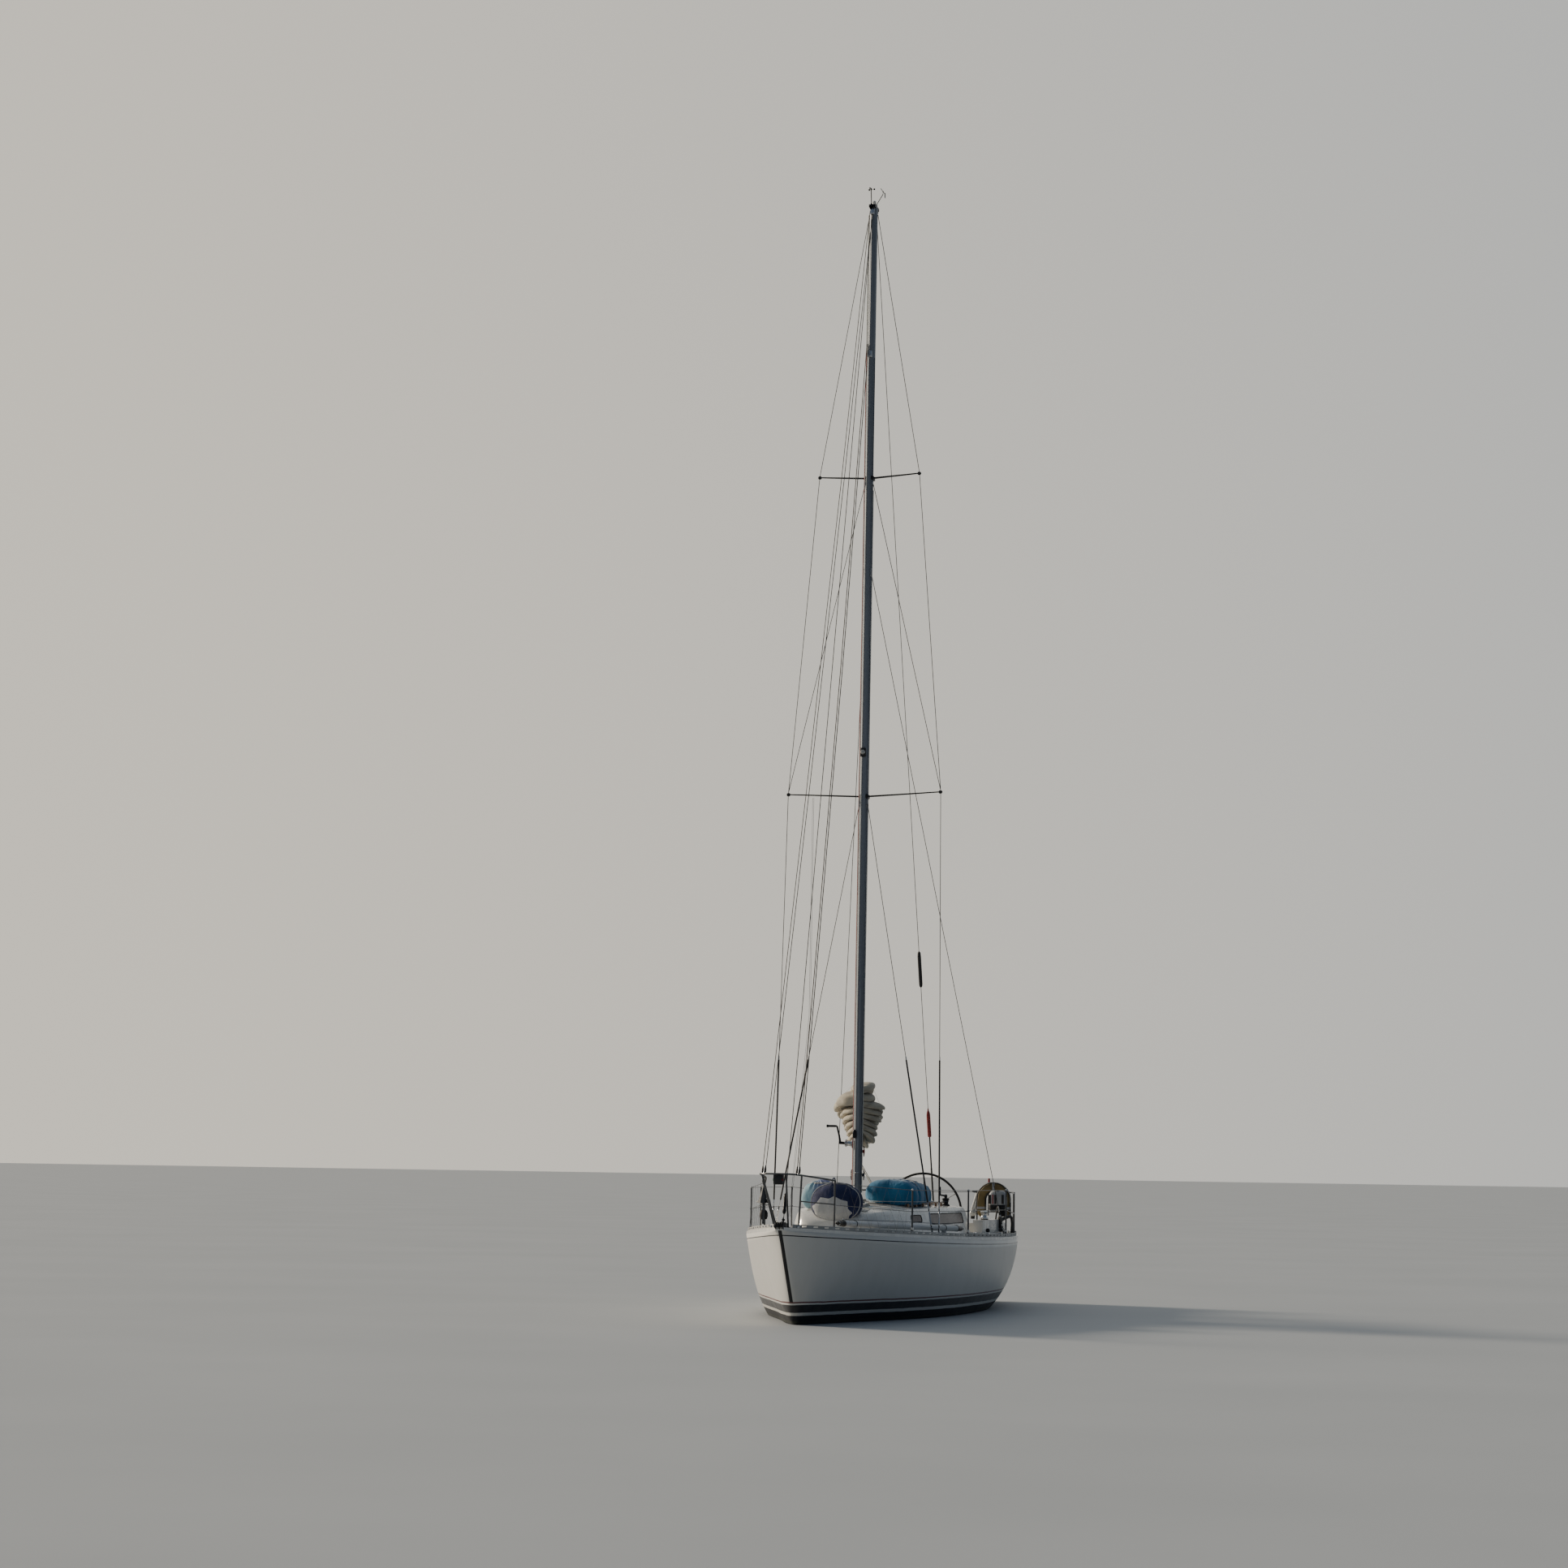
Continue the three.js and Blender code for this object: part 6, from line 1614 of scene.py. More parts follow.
def grating(shape, from_x, to_x):
    """A teak grating on the foot well's sole: slats on two cross bearers."""
    shape.use("teak")
    count = 13
    for index in range(count):
        y = -0.385 + 0.77 * index / (count - 1)
        shape.block((from_x, y - 0.021, 0.414), (to_x, y + 0.021, 0.428), 0.003)
    for x in (from_x + 0.08, (from_x + to_x) / 2, to_x - 0.08):
        shape.block((x - 0.02, -0.4, 0.4005), (x + 0.02, 0.4, 0.414), 0.003)


def add_pole_fittings():
    """End fittings, plunger lines and chocks' straps of the spinnaker pole."""
    shape = Shape()
    start, end = on_deck(1400, 430, 90), on_deck(5300, 1280, 90)
    line = (end - start).normalized()
    for foot, way in ((start, line), (end, -line)):
        shape.use("black_metal")
        shape.lathe(foot - way * 0.004, way, [(0.012, -0.002), (0.034, 0.008), (0.0375, 0.03), (0.0375, 0.12),
                                             (0.043, 0.135), (0.0445, 0.155), (0.0425, 0.175)], 20)
        side = way.cross(up(1)).normalized()
        for tip in (-1, 1):
            hook = [foot + way * 0.02 + side * 0.022 * tip, foot - way * 0.025 + side * 0.026 * tip,
                    foot - way * 0.045 + side * 0.008 * tip]
            shape.tube(hook, [0.012, 0.011, 0.007], 8)
        shape.use("stainless").tube([foot + way * 0.13 + up(0.045), foot + way * 0.15 + up(0.06),
                                     foot + way * 0.17 + up(0.045)], 0.005, 8)
    length = (end - start).length
    lift = [start + line * (0.15 + (length - 0.3) * k / 16) + Vector((0, 0, 0.050 + 0.012 * sin(pi * k / 16)))
            for k in range(17)]
    shape.use("rope_dark").tube(lift, 0.0035, 7)
    side = line.cross(up(1)).normalized()
    for distance in (0.5, 3.4):
        middle = start + line * distance
        strap = [middle + side * 0.0455 * cos(t) + Vector((0, 0, 0.0455 * sin(t))) for t in turns_of(20)]
        shape.use("black_plastic").tube(strap, 0.004, 6, loop=True)
    return shape.piece("pole_fittings")


def add_window_seals():
    """A black rubber seal round each window, laid on the coachroof's side."""
    shape = Shape("rubber")
    for low_aft, high_aft, low, high in ((4150, 4600, 1300, 1395), (5000, 7000, 1265, 1410)):
        for _name, sign in SIDES:
            line = []
            for spot in rounded_path(low_aft, high_aft, low, high, 45, lambda aft, z: 0):
                aft = (5 - spot.x) * 1000
                z = spot.y * 1000
                line.append(place(aft, sign * roof_side(aft, z), z))
            shape.tube(line, 0.0065, 6, loop=True)
    return shape.piece("window_seals")


def roof_side(aft, z):
    """How far out the coachroof's side stands at a height, in millimetres."""
    base, edge, height = (roof_value(name, aft) for name in ("base", "roof", "height"))
    slope = (base - edge) / (height - 1150)
    return base + slope * (1150 - z)


# Flaked mainsail: its folds in turn from the boom up, port and starboard, as seen from the mast. Metres,
# at the stack's tallest station: height of the fold's middle, reach from the centre, half height at its
# outer end, and how far that end hangs below its root.
FOLDS = (
    (1, 2.415, 0.125, 0.038, 0.040),
    (-1, 2.430, 0.105, 0.038, 0.030),
    (1, 2.500, 0.240, 0.044, 0.055),
    (-1, 2.515, 0.150, 0.042, 0.040),
    (1, 2.590, 0.250, 0.046, 0.060),
    (-1, 2.600, 0.172, 0.044, 0.045),
    (1, 2.685, 0.262, 0.047, 0.065),
    (-1, 2.690, 0.205, 0.045, 0.050),
    (1, 2.780, 0.300, 0.047, 0.070),
    (-1, 2.785, 0.240, 0.047, 0.055),
    (1, 2.870, 0.335, 0.047, 0.075),
    (-1, 2.880, 0.262, 0.046, 0.060),
    (1, 2.965, 0.362, 0.047, 0.085),
    (-1, 3.045, 0.352, 0.096, 0.120),
    (1, 3.085, 0.222, 0.055, 0.060),
    (-1, 3.205, 0.130, 0.032, 0.020),
    (1, 3.235, 0.215, 0.060, 0.012),
    (-1, 3.262, 0.090, 0.026, 0.006),
)
# The stack along the boom: distance out, reach as a share, its lowest and its highest point
STACK = (
    (90, 0.10, 2.440, 3.190),
    (130, 0.40, 2.415, 3.205),
    (178, 0.66, 2.390, 3.220),
    (300, 0.93, 2.345, 3.265),
    (450, 1.00, 2.320, 3.290),
    (1200, 1.01, 2.335, 3.225),
    (2000, 0.77, 2.355, 3.105),
    (2800, 0.46, 2.385, 2.945),
    (3500, 0.345, 2.405, 2.820),
    (4140, 0.255, 2.440, 2.710),
)
TIES = (720, 1560, 2420, 3180, 3850)
OVER_BOOM = 2.538
FOLD_LOW, FOLD_TOP = 2.36, 3.29


def wavy(*spot):
    return noise.noise(Vector(spot))


def fold_points(fold, out, count=21):
    """One fold across the boom at a station, from the middle out round its edge and back."""
    side, height, reach, half, droop = FOLDS[fold]
    share, low, top = (line_value(STACK, column, out) for column in (1, 2, 3))
    metres = out / 1000
    squeeze = (top - low) / (FOLD_TOP - FOLD_LOW)
    root = min(top, low + (height + 0.5 * droop - FOLD_LOW) * squeeze)
    tie = min(abs(out - at) for at in TIES)
    pinch = exp(-((tie / 150) ** 2))
    slack = (1 - pinch) * min(1, (out - 90) / 400)
    wide = reach * share * (1 + 0.12 * slack * wavy(metres * 1.3, fold * 3.1, 0)) * (1 - 0.16 * pinch)
    thick = half * squeeze**0.6 * (1 + 0.22 * slack * wavy(metres * 1.7, fold * 1.9, 5)) * (1 - 0.2 * pinch)
    sag = droop * (0.8 + 0.4 * slack) * share**0.5 + 0.014 * slack * wavy(metres * 2.2, fold * 2.7, 9)
    points = []
    for step in range(count):
        turn = 2 * pi * step / (count - 1)
        u = (1 - cos(turn)) / 2
        bulge = boxy(sin(turn), 0.7)
        z = root - sag * u**1.6 - thick * bulge * (0.66 + 0.34 * u)
        if root < OVER_BOOM and u < 0.35:
            z += (OVER_BOOM - root) * (1 - u / 0.35) ** 0.5
        y = wide * u + 0.006 * u * share**0.5 * wavy(metres * 8, z * 5, fold)
        z += 0.004 * wavy(metres * 7, y * 12, fold + 3) * (0.3 + u)
        if y < 0.058 and z < OVER_BOOM:
            z = OVER_BOOM + 0.001 * step
        points.append((side * max(y, 0.002), z))
    return points


def add_sail():
    """The mainsail, one cloth flaked to and fro over the boom, hanging lower between its ties."""
    stations = [90 + (4140 - 90) * (k / 104) ** 1.35 for k in range(105)]
    shape = Shape("sail")
    rings = []
    for out in stations:
        line = [point for fold in range(len(FOLDS)) for point in fold_points(fold, out)]
        rings.append([boom_point(out / 1000, y, z - GOOSENECK["height"]) for y, z in line])
    shape.loft(rings, caps=False, ring_closed=False)
    sail = shape.piece("mainsail", body="boom", replaces=["flaked_mainsail"], sharp=80)
    skin = sail.modifiers.new("cloth", "SOLIDIFY")
    skin.thickness = 0.0016
    skin.offset = 0
    add_sail_ties()
    return sail


def hull_round(points):
    """The convex outline round points in a plane."""
    points = sorted(set(points))

    def chain(order):
        line = []
        for p in order:
            while len(line) > 1 and ((line[-1][0] - line[-2][0]) * (p[1] - line[-2][1])
                                     - (line[-1][1] - line[-2][1]) * (p[0] - line[-2][0])) <= 0:
                line.pop()
            line.append(p)
        return line[:-1]

    return chain(points) + chain(reversed(points))


def spread(line, step):
    """More points along a closed line of points in a plane."""
    made = []
    for (y, z), (ny, nz) in zip(line, [*line[1:], line[0]]):
        count = max(1, int(hypot(ny - y, nz - z) / step))
        made.extend((y + (ny - y) * k / count, z + (nz - z) * k / count) for k in range(count))
    return made


def add_sail_ties():
    """Flat webbing pulled round the sail and the boom, each with its knot."""
    shape = Shape()
    for index, out in enumerate(TIES):
        ring = [(0.056, 2.388), (-0.056, 2.388), (0.04, 2.379), (-0.04, 2.379)]
        for fold in range(len(FOLDS)):
            ring.extend(fold_points(fold, out))
        tight = spread(hull_round(ring), 0.03)
        middle_y = sum(p[0] for p in tight) / len(tight)
        middle_z = sum(p[1] for p in tight) / len(tight)
        rings = []
        for y, z in tight:
            away = Vector((0, y - middle_y, z - middle_z)).normalized()
            low, high = 0.0025, 0.0050
            corners = ((-0.0125, low), (0.0125, low), (0.0125, high), (-0.0125, high))
            rings.append(
                [
                    boom_point(
                        out / 1000 + along_boom, y + away.y * lift, z + away.z * lift - GOOSENECK["height"],
                    )
                    for along_boom, lift in corners
                ]
            )
        shape.use("navy" if index % 2 else "rope_white").loft(rings, loop=True)
        knot = max(tight, key=lambda p: p[0] + 0.3 * p[1])
        for turn in (0.6, 2.0, 3.6, 5.1):
            spot = boom_point(out / 1000, knot[0] + 0.008, knot[1] - GOOSENECK["height"])
            tail = [spot + Vector((0.006 * cos(turn), 0.004, 0.006 * sin(turn))),
                    spot + Vector((0.026 * cos(turn), 0.008, 0.018 * sin(turn) - 0.006)),
                    spot + Vector((0.036 * cos(turn), 0.002, 0.022 * sin(turn) - 0.028))]
            shape.tube(smooth_line(tail, 4), 0.0055, 7)
    return shape.piece("sail_ties", body="boom")


def settled(thing, voxel, cap, pressure=4.0, held=None, rough=None):
    """Turns a closed form into padded fabric: remeshed, blown up a little as cloth, its travel capped."""
    scene = bpy.context.scene
    remesh = thing.modifiers.new("remesh", "REMESH")
    remesh.mode = "VOXEL"
    remesh.voxel_size = voxel
    bake(thing)
    mesh = thing.data
    if rough:
        normals = [v.normal.copy() for v in mesh.vertices]
        for vertex, normal in zip(mesh.vertices, normals):
            vertex.co += normal * rough(vertex.co)
    start = [v.co.copy() for v in mesh.vertices]
    pins = thing.vertex_groups.new(name="held")
    for vertex in mesh.vertices:
        weight = held(vertex.co) if held else 0.0
        if weight > 0:
            pins.add([vertex.index], min(1.0, weight), "REPLACE")
    cloth = thing.modifiers.new("cloth", "CLOTH")
    cloth.settings.quality = 5
    cloth.settings.mass = 0.3
    cloth.settings.tension_stiffness = 12
    cloth.settings.compression_stiffness = 12
    cloth.settings.shear_stiffness = 6
    cloth.settings.bending_stiffness = 0.4
    cloth.settings.use_pressure = True
    cloth.settings.uniform_pressure_force = pressure
    cloth.settings.effector_weights.gravity = 0
    cloth.settings.vertex_group_mass = "held"
    cloth.point_cache.frame_end = 20
    for frame_number in range(1, 21):
        scene.frame_set(frame_number)
    bake(thing)
    for vertex, was in zip(thing.data.vertices, start):
        move = vertex.co - was
        if move.length > cap:
            vertex.co = was + move * (cap / move.length)
    scene.frame_set(1)
    return thing


def bake(thing):
    """Puts what the modifiers make into the mesh, and takes them off."""
    bpy.context.view_layer.update()
    whole = thing.evaluated_get(bpy.context.evaluated_depsgraph_get())
    mesh = bpy.data.meshes.new_from_object(whole)
    thing.modifiers.clear()
    thing.data = mesh


def creased(thing, depth):
    """Moves each point along its normal by a function of its place."""
    mesh = thing.data
    moves = [v.normal * depth(v.co) for v in mesh.vertices]
    for vertex, move in zip(mesh.vertices, moves):
        vertex.co += move


def cover(thing, look, replaces=()):
    """The last steps for a padded piece: its cloth, shading, one subdivision and its place in the model."""
    mesh = thing.data
    mesh.materials.clear()
    mesh.materials.append(looks[look])
    mesh.polygons.foreach_set("material_index", [0] * len(mesh.polygons))
    mesh.polygons.foreach_set("use_smooth", [True] * len(mesh.polygons))
    smooth = thing.modifiers.new("smooth", "SUBSURF")
    smooth.levels = smooth.render_levels = 1
    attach(thing, "yacht")
    if replaces:
        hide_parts(*replaces)
    return thing


def surface_tree(thing):
    mesh = thing.data
    return BVHTree.FromPolygons([v.co for v in mesh.vertices], [p.vertices for p in mesh.polygons])


def round_line(tree, middle, first, second, turns, reach=1.5):
    """Where rays from outside meet a form, round a middle in the plane of two directions."""
    line = []
    for t in turns:
        away = first * cos(t) + second * sin(t)
        spot, _normal, _face, _far = tree.ray_cast(middle + away * reach, -away, reach)
        if spot is not None:
            line.append((spot, away))
    return line


def strap(shape, line, across, width, lift=0.001, thick=0.0022, loop=False):
    """A flat strap over points, each given with its outward direction."""
    rings = []
    for spot, away in line:
        corners = (
            (-width / 2, lift), (width / 2, lift), (width / 2, lift + thick), (-width / 2, lift + thick),
        )
        rings.append([spot + across * side + away * high for side, high in corners])
    shape.loft(rings, loop=loop)


def roof_gap(spot):
    """How far a point is above the coachroof, or above the deck ahead of it, in metres."""
    aft, y = (5 - spot.x) * 1000, spot.y * 1000
    ground = deck_top(aft, y)
    if ROOF_LINES[0][0] <= aft and abs(y) < roof_value("roof", aft):
        ground = max(ground, roof_top(aft, y))
    elif ROOF_LINES[0][0] <= aft and abs(y) < roof_value("base", aft):
        share = (abs(y) - roof_value("roof", aft)) / (roof_value("base", aft) - roof_value("roof", aft))
        ground = max(ground, roof_value("height", aft) * (1 - share) + ground * share)
    return spot.z - ground / 1000


def settle_on_roof(thing, gap=0.002):
    """Keeps a soft form's underside just above what it lies on."""
    for vertex in thing.data.vertices:
        above = roof_gap(vertex.co)
        if above < gap:
            vertex.co.z += gap - above


def egg(centre, radii, rings=26, sides=40, square=2.0, shift=None):
    """Rings of a rounded form about a middle, from its foot to its top; square over 2 makes it boxier."""
    centre = Vector(centre)
    rows = []
    for index in range(1, rings):
        lift = -cos(pi * index / rings)
        size = (1 - abs(lift) ** square) ** (1 / square)
        row = []
        for t in turns_of(sides):
            spot = Vector((radii[0] * size * cos(t), radii[1] * size * sin(t), radii[2] * lift))
            if shift:
                spot = shift(spot)
            row.append(centre + spot)
        rows.append(row)
    return rows


NAVY_BAG = {"centre": (2.16, 0.053, 1.568), "radii": (0.198, 0.365, 0.272)}
TURQUOISE_BAG = {"centre": (1.832, -0.290, 1.676), "radii": (0.102, 0.238, 0.212)}
BUNDLE = {"from": 4512, "to": 5835, "low": 0.005, "high": 0.785, "top": 1.918}


def navy_finish():
    """Navy canvas with a grey-white front, their seam cut in scallops."""
    look = Look("navy_and_white", fixed=CANVAS)
    x, y, z = look.axes()
    centre = NAVY_BAG["centre"]
    across = look.math("MULTIPLY", look.math("SUBTRACT", y, centre[1] - 0.045), 1 / 0.275)
    upward = look.math("MULTIPLY", look.math("SUBTRACT", z, centre[2] - 0.135), 1 / 0.215)
    far = look.math("ADD", look.math("POWER", look.math("ABSOLUTE", across), 2.4),
                    look.math("POWER", look.math("ABSOLUTE", upward), 2.4))
    turn = look.math("ARCTAN2", upward, across)
    scallop = look.math(
        "MULTIPLY", look.math("ABSOLUTE", look.math("SINE", look.math("MULTIPLY", turn, 4.5))), 0.34,
    )
    wobble = look.span(look.noise(6.0, 3.0), 0.3, 0.7, -0.10, 0.10)
    edge = look.math("ADD", look.math("ADD", far, scallop), wobble)
    white = look.math(
        "MULTIPLY", look.math("LESS_THAN", edge, 1.12), look.math("GREATER_THAN", x, centre[0] + 0.02),
    )
    patches = look.noise(5.0, 7.0, warp=0.6)
    navy = look.ramp(patches, ((0.28, (0.012, 0.018, 0.060)), (0.72, (0.030, 0.040, 0.115))))
    grime = look.ramp(patches, ((0.28, (0.40, 0.41, 0.42)), (0.72, (0.60, 0.60, 0.59))))
    look.colour(look.mix(white, navy, grime))
    look.gloss(look.noise(11.0), 0.70, 0.92)
    look.bump(look.noise(9.0, 5.0, warp=1.2), 0.35, 0.02)
    look.bump(look.weave(340.0), 0.3, 0.0008)
    return look.material


def turquoise_finish():
    """Turquoise canvas, pale on its starboard side and turning bluish purple to port as painted shade."""
    look = Look("lit_and_shaded_turquoise", fixed=CANVAS)
    _x, y, _z = look.axes()
    # Painted shade: toward port the pale turquoise mixes into a bluish purple, as the shaded side of the bag
    side = look.span(look.math("ADD", y, look.span(look.noise(8.0), 0.3, 0.7, -0.03, 0.03)), -0.38, -0.22)
    patches = look.noise(6.0, 6.0, warp=0.5)
    pale = look.ramp(patches, ((0.28, (0.20, 0.40, 0.49)), (0.72, (0.42, 0.58, 0.64))))
    shaded_blue = look.ramp(patches, ((0.28, (0.17, 0.19, 0.36)), (0.72, (0.32, 0.34, 0.52))))
    look.colour(look.mix(side, pale, shaded_blue))
    look.gloss(look.noise(12.0), 0.68, 0.9)
    look.bump(look.noise(10.0, 5.0, warp=1.4), 0.4, 0.018)
    look.bump(look.weave(330.0, "Z", "X"), 0.3, 0.0008)
    return look.material


looks["navy_and_white"] = navy_finish()
looks["lit_and_shaded_turquoise"] = turquoise_finish()


def add_navy_bag():
    """The round bag on the foredeck against the coachroof, with its piped rims, lacing and handles."""
    shape = Shape("navy")
    shape.loft(egg(NAVY_BAG["centre"], NAVY_BAG["radii"], 22, 36, 2.3))
    bag = shape.object("sail_bag_navy_and_white")
    middle = Vector(NAVY_BAG["centre"])

    def held(spot):
        return 1.0 if roof_gap(spot) < 0.03 else 0.0

    def slack(spot):
        return 0.012 * wavy(spot.x * 6, spot.y * 6, spot.z * 4) + 0.004 * wavy(
            spot.x * 19, spot.y * 17, spot.z * 11,
        )

    settled(bag, 0.011, 0.024, held=held, rough=slack)
    creased(bag, lambda p: -0.010 * exp(-(((p.y - middle.y - 0.235) / 0.012) ** 2)))
    settle_on_roof(bag)
    tree = surface_tree(bag)
    trim = Shape()
    x_axis, y_axis, z_axis = Vector((1, 0, 0)), Vector((0, 1, 0)), up(1)
    turns = [radians(-62 + 5 * k) for k in range(62)]
    rim = round_line(tree, middle + Vector((0.07, 0, 0)), y_axis, z_axis, turns)
    rim = [(p, away) for p, away in rim if roof_gap(p) > 0.01]
    trim.use("pale_canvas").tube([p + away * 0.003 for p, away in rim], 0.0075, 8)
    rear = round_line(tree, middle - Vector((0.10, 0, 0)), y_axis, z_axis, turns)
    rear = [(p, away) for p, away in rear if roof_gap(p) > 0.01]
    trim.tube([p + away * 0.002 for p, away in rear], 0.006, 8)
    handle = round_line(tree, middle + Vector((0, -0.05, 0)), x_axis, z_axis,
                        [radians(20 + 7 * k) for k in range(21)])
    trim.use("navy")
    strap(trim, handle, y_axis, 0.03)
    grip = [
        handle[6][0], handle[8][0] + z_axis * 0.045, handle[11][0] + z_axis * 0.06,
        handle[14][0] + z_axis * 0.04, handle[16][0],
    ]
    trim.tube(smooth_line(grip, 5), 0.009, 8)
    lacing = []
    for index, (p, away) in enumerate(rim[8:40]):
        shift = 0.028 if index % 2 else -0.012
        lacing.append(p + away * 0.004 - x_axis * shift)
    trim.use("rope_white").tube(lacing, 0.0028, 6)
    for index, (p, away) in enumerate(rim[8:40:4]):
        trim.use("stainless").lathe(
            p - x_axis * 0.012 + away * 0.001, away, [(0.008, 0), (0.008, 0.003), (0.004, 0.0035)], 12,
        )
    trim.piece("navy_bag_trim")
    return cover(bag, "navy_and_white", replaces=["sail_bag_navy"])


def add_turquoise_bag():
    """The upright bag beside it, gathered at its neck by a white cord."""
    centre = Vector(TURQUOISE_BAG["centre"])

    def pull(spot):
        neck = max(0.0, (spot.z - 0.10) / 0.09)
        size = 1 - 0.35 * min(1, neck) ** 2
        return Vector((spot.x * size, spot.y * size + 0.02 * neck + 0.22 * spot.z, spot.z))

    shape = Shape("turquoise")
    shape.loft(egg(centre, TURQUOISE_BAG["radii"], 20, 32, 2.4, pull))
    bag = shape.object("sail_bag_pale_turquoise")

    def held(spot):
        return 1.0 if roof_gap(spot) < 0.02 or abs(spot.z - centre.z - 0.155) < 0.010 else 0.0

    def slack(spot):
        angle = atan2(spot.y - centre.y, spot.x - centre.x)
        near_neck = exp(-(((spot.z - centre.z - 0.155) / 0.07) ** 2))
        return 0.008 * wavy(spot.x * 9, spot.y * 9, spot.z * 6) + 0.007 * near_neck * sin(angle * 11)

    settled(bag, 0.0095, 0.018, held=held, rough=slack)
    settle_on_roof(bag)
    tree = surface_tree(bag)
    trim = Shape()
    flat = (Vector((1, 0, 0)), Vector((0, 1, 0)))
    for index in range(3):
        level = centre + Vector((0, 0.046, 0.146 + 0.0085 * index))
        ring = round_line(tree, level, *flat, turns_of(30), 0.6)
        trim.use("rope_white").tube([p + away * 0.0035 for p, away in ring], 0.0045, 7, loop=True)
    tail = []
    for index in range(9):
        spot, away, _face, _far = tree.ray_cast(
            centre + Vector((-0.6, 0.06 - 0.012 * index, 0.13 - 0.03 * index)), Vector((1, 0, 0)), 1.0,
        )
        if spot is not None:
            tail.append(spot + away * 0.0045)
    trim.tube(smooth_line(tail, 3), 0.0045, 7)
    side = round_line(tree, centre - up(0.02), *flat, [radians(-30 + 6 * k) for k in range(26)], 0.6)
    trim.use("black_plastic")
    strap(trim, side, up(1), 0.025)
    trim.piece("turquoise_bag_cord")
    return cover(bag, "lit_and_shaded_turquoise", replaces=["sail_bag_turquoise"])


def bundle_ring(aft, size, fall, count=48):
    """A section of the covered dinghy, as points in metres: flat below, rounded above, lower to port."""
    low, high, top = BUNDLE["low"], BUNDLE["high"], BUNDLE["top"]
    middle = (low + high) / 2
    half = (high - low) / 2 * (0.58 + 0.42 * size)
    waist = 1.665
    ring = []
    for t in turns_of(count):
        c, s = cos(t), sin(t)
        y = middle + half * boxy(c, 0.60 if c > 0 else 0.80)
        floor = roof_top(aft, y * 1000) / 1000 + 0.004
        to_port = (y - low) / (high - low)
        if s > 0:
            rise = (top - waist - fall) * (0.25 + 0.75 * size) * (1 - 0.20 * max(0.0, to_port) ** 2.2)
            z = waist + rise * s**0.8
        else:
            z = waist - (waist - floor) * abs(s) ** 0.55
        ring.append(Vector((5 - aft / 1000, y, z)))
    return ring


STRAPS = (4830, 5180, 5540)


def add_bundle():
    """The deflated dinghy lashed under its turquoise cover, abaft the mast."""
    rows = []
    span = BUNDLE["to"] - BUNDLE["from"]
    for k in range(25):
        share = k / 24
        aft = BUNDLE["from"] + span * share
        end = min(share, 1 - share) * 2
        size = (1 - (1 - min(1.0, end * 2.1)) ** 2.6) ** 0.5 if end < 0.48 else 1.0
        rows.append(bundle_ring(aft, max(0.02, size), 0.045 * share**1.4))
    shape = Shape("turquoise")
    shape.loft(rows)
    bundle = shape.object("covered_tender")
    straps = [5 - aft / 1000 for aft in STRAPS]

    def held(spot):
        if roof_gap(spot) < 0.035:
            return 1.0
        return 1.0 if min(abs(spot.x - at) for at in straps) < 0.016 else 0.0

    def slack(spot):
        near = min(abs(spot.x - at) for at in straps)
        pinch = -0.022 * exp(-((near / 0.035) ** 2))
        gathers = 0.010 * exp(-((near / 0.11) ** 2)) * sin(spot.y * 70 + 3 * wavy(spot.y * 9, spot.x * 5, 1))
        folds = 0.017 * wavy(
            spot.x * 3.3, spot.y * 4.2, spot.z * 5 + 2,
        ) + 0.006 * wavy(spot.x * 11, spot.y * 12, spot.z * 12)
        return pinch + gathers + folds

    settled(bundle, 0.015, 0.024, held=held, rough=slack)
    settle_on_roof(bundle)
    tree = surface_tree(bundle)
    add_bundle_lashings(tree, straps)
    return cover(bundle, "turquoise", replaces=["covered_dinghy"])


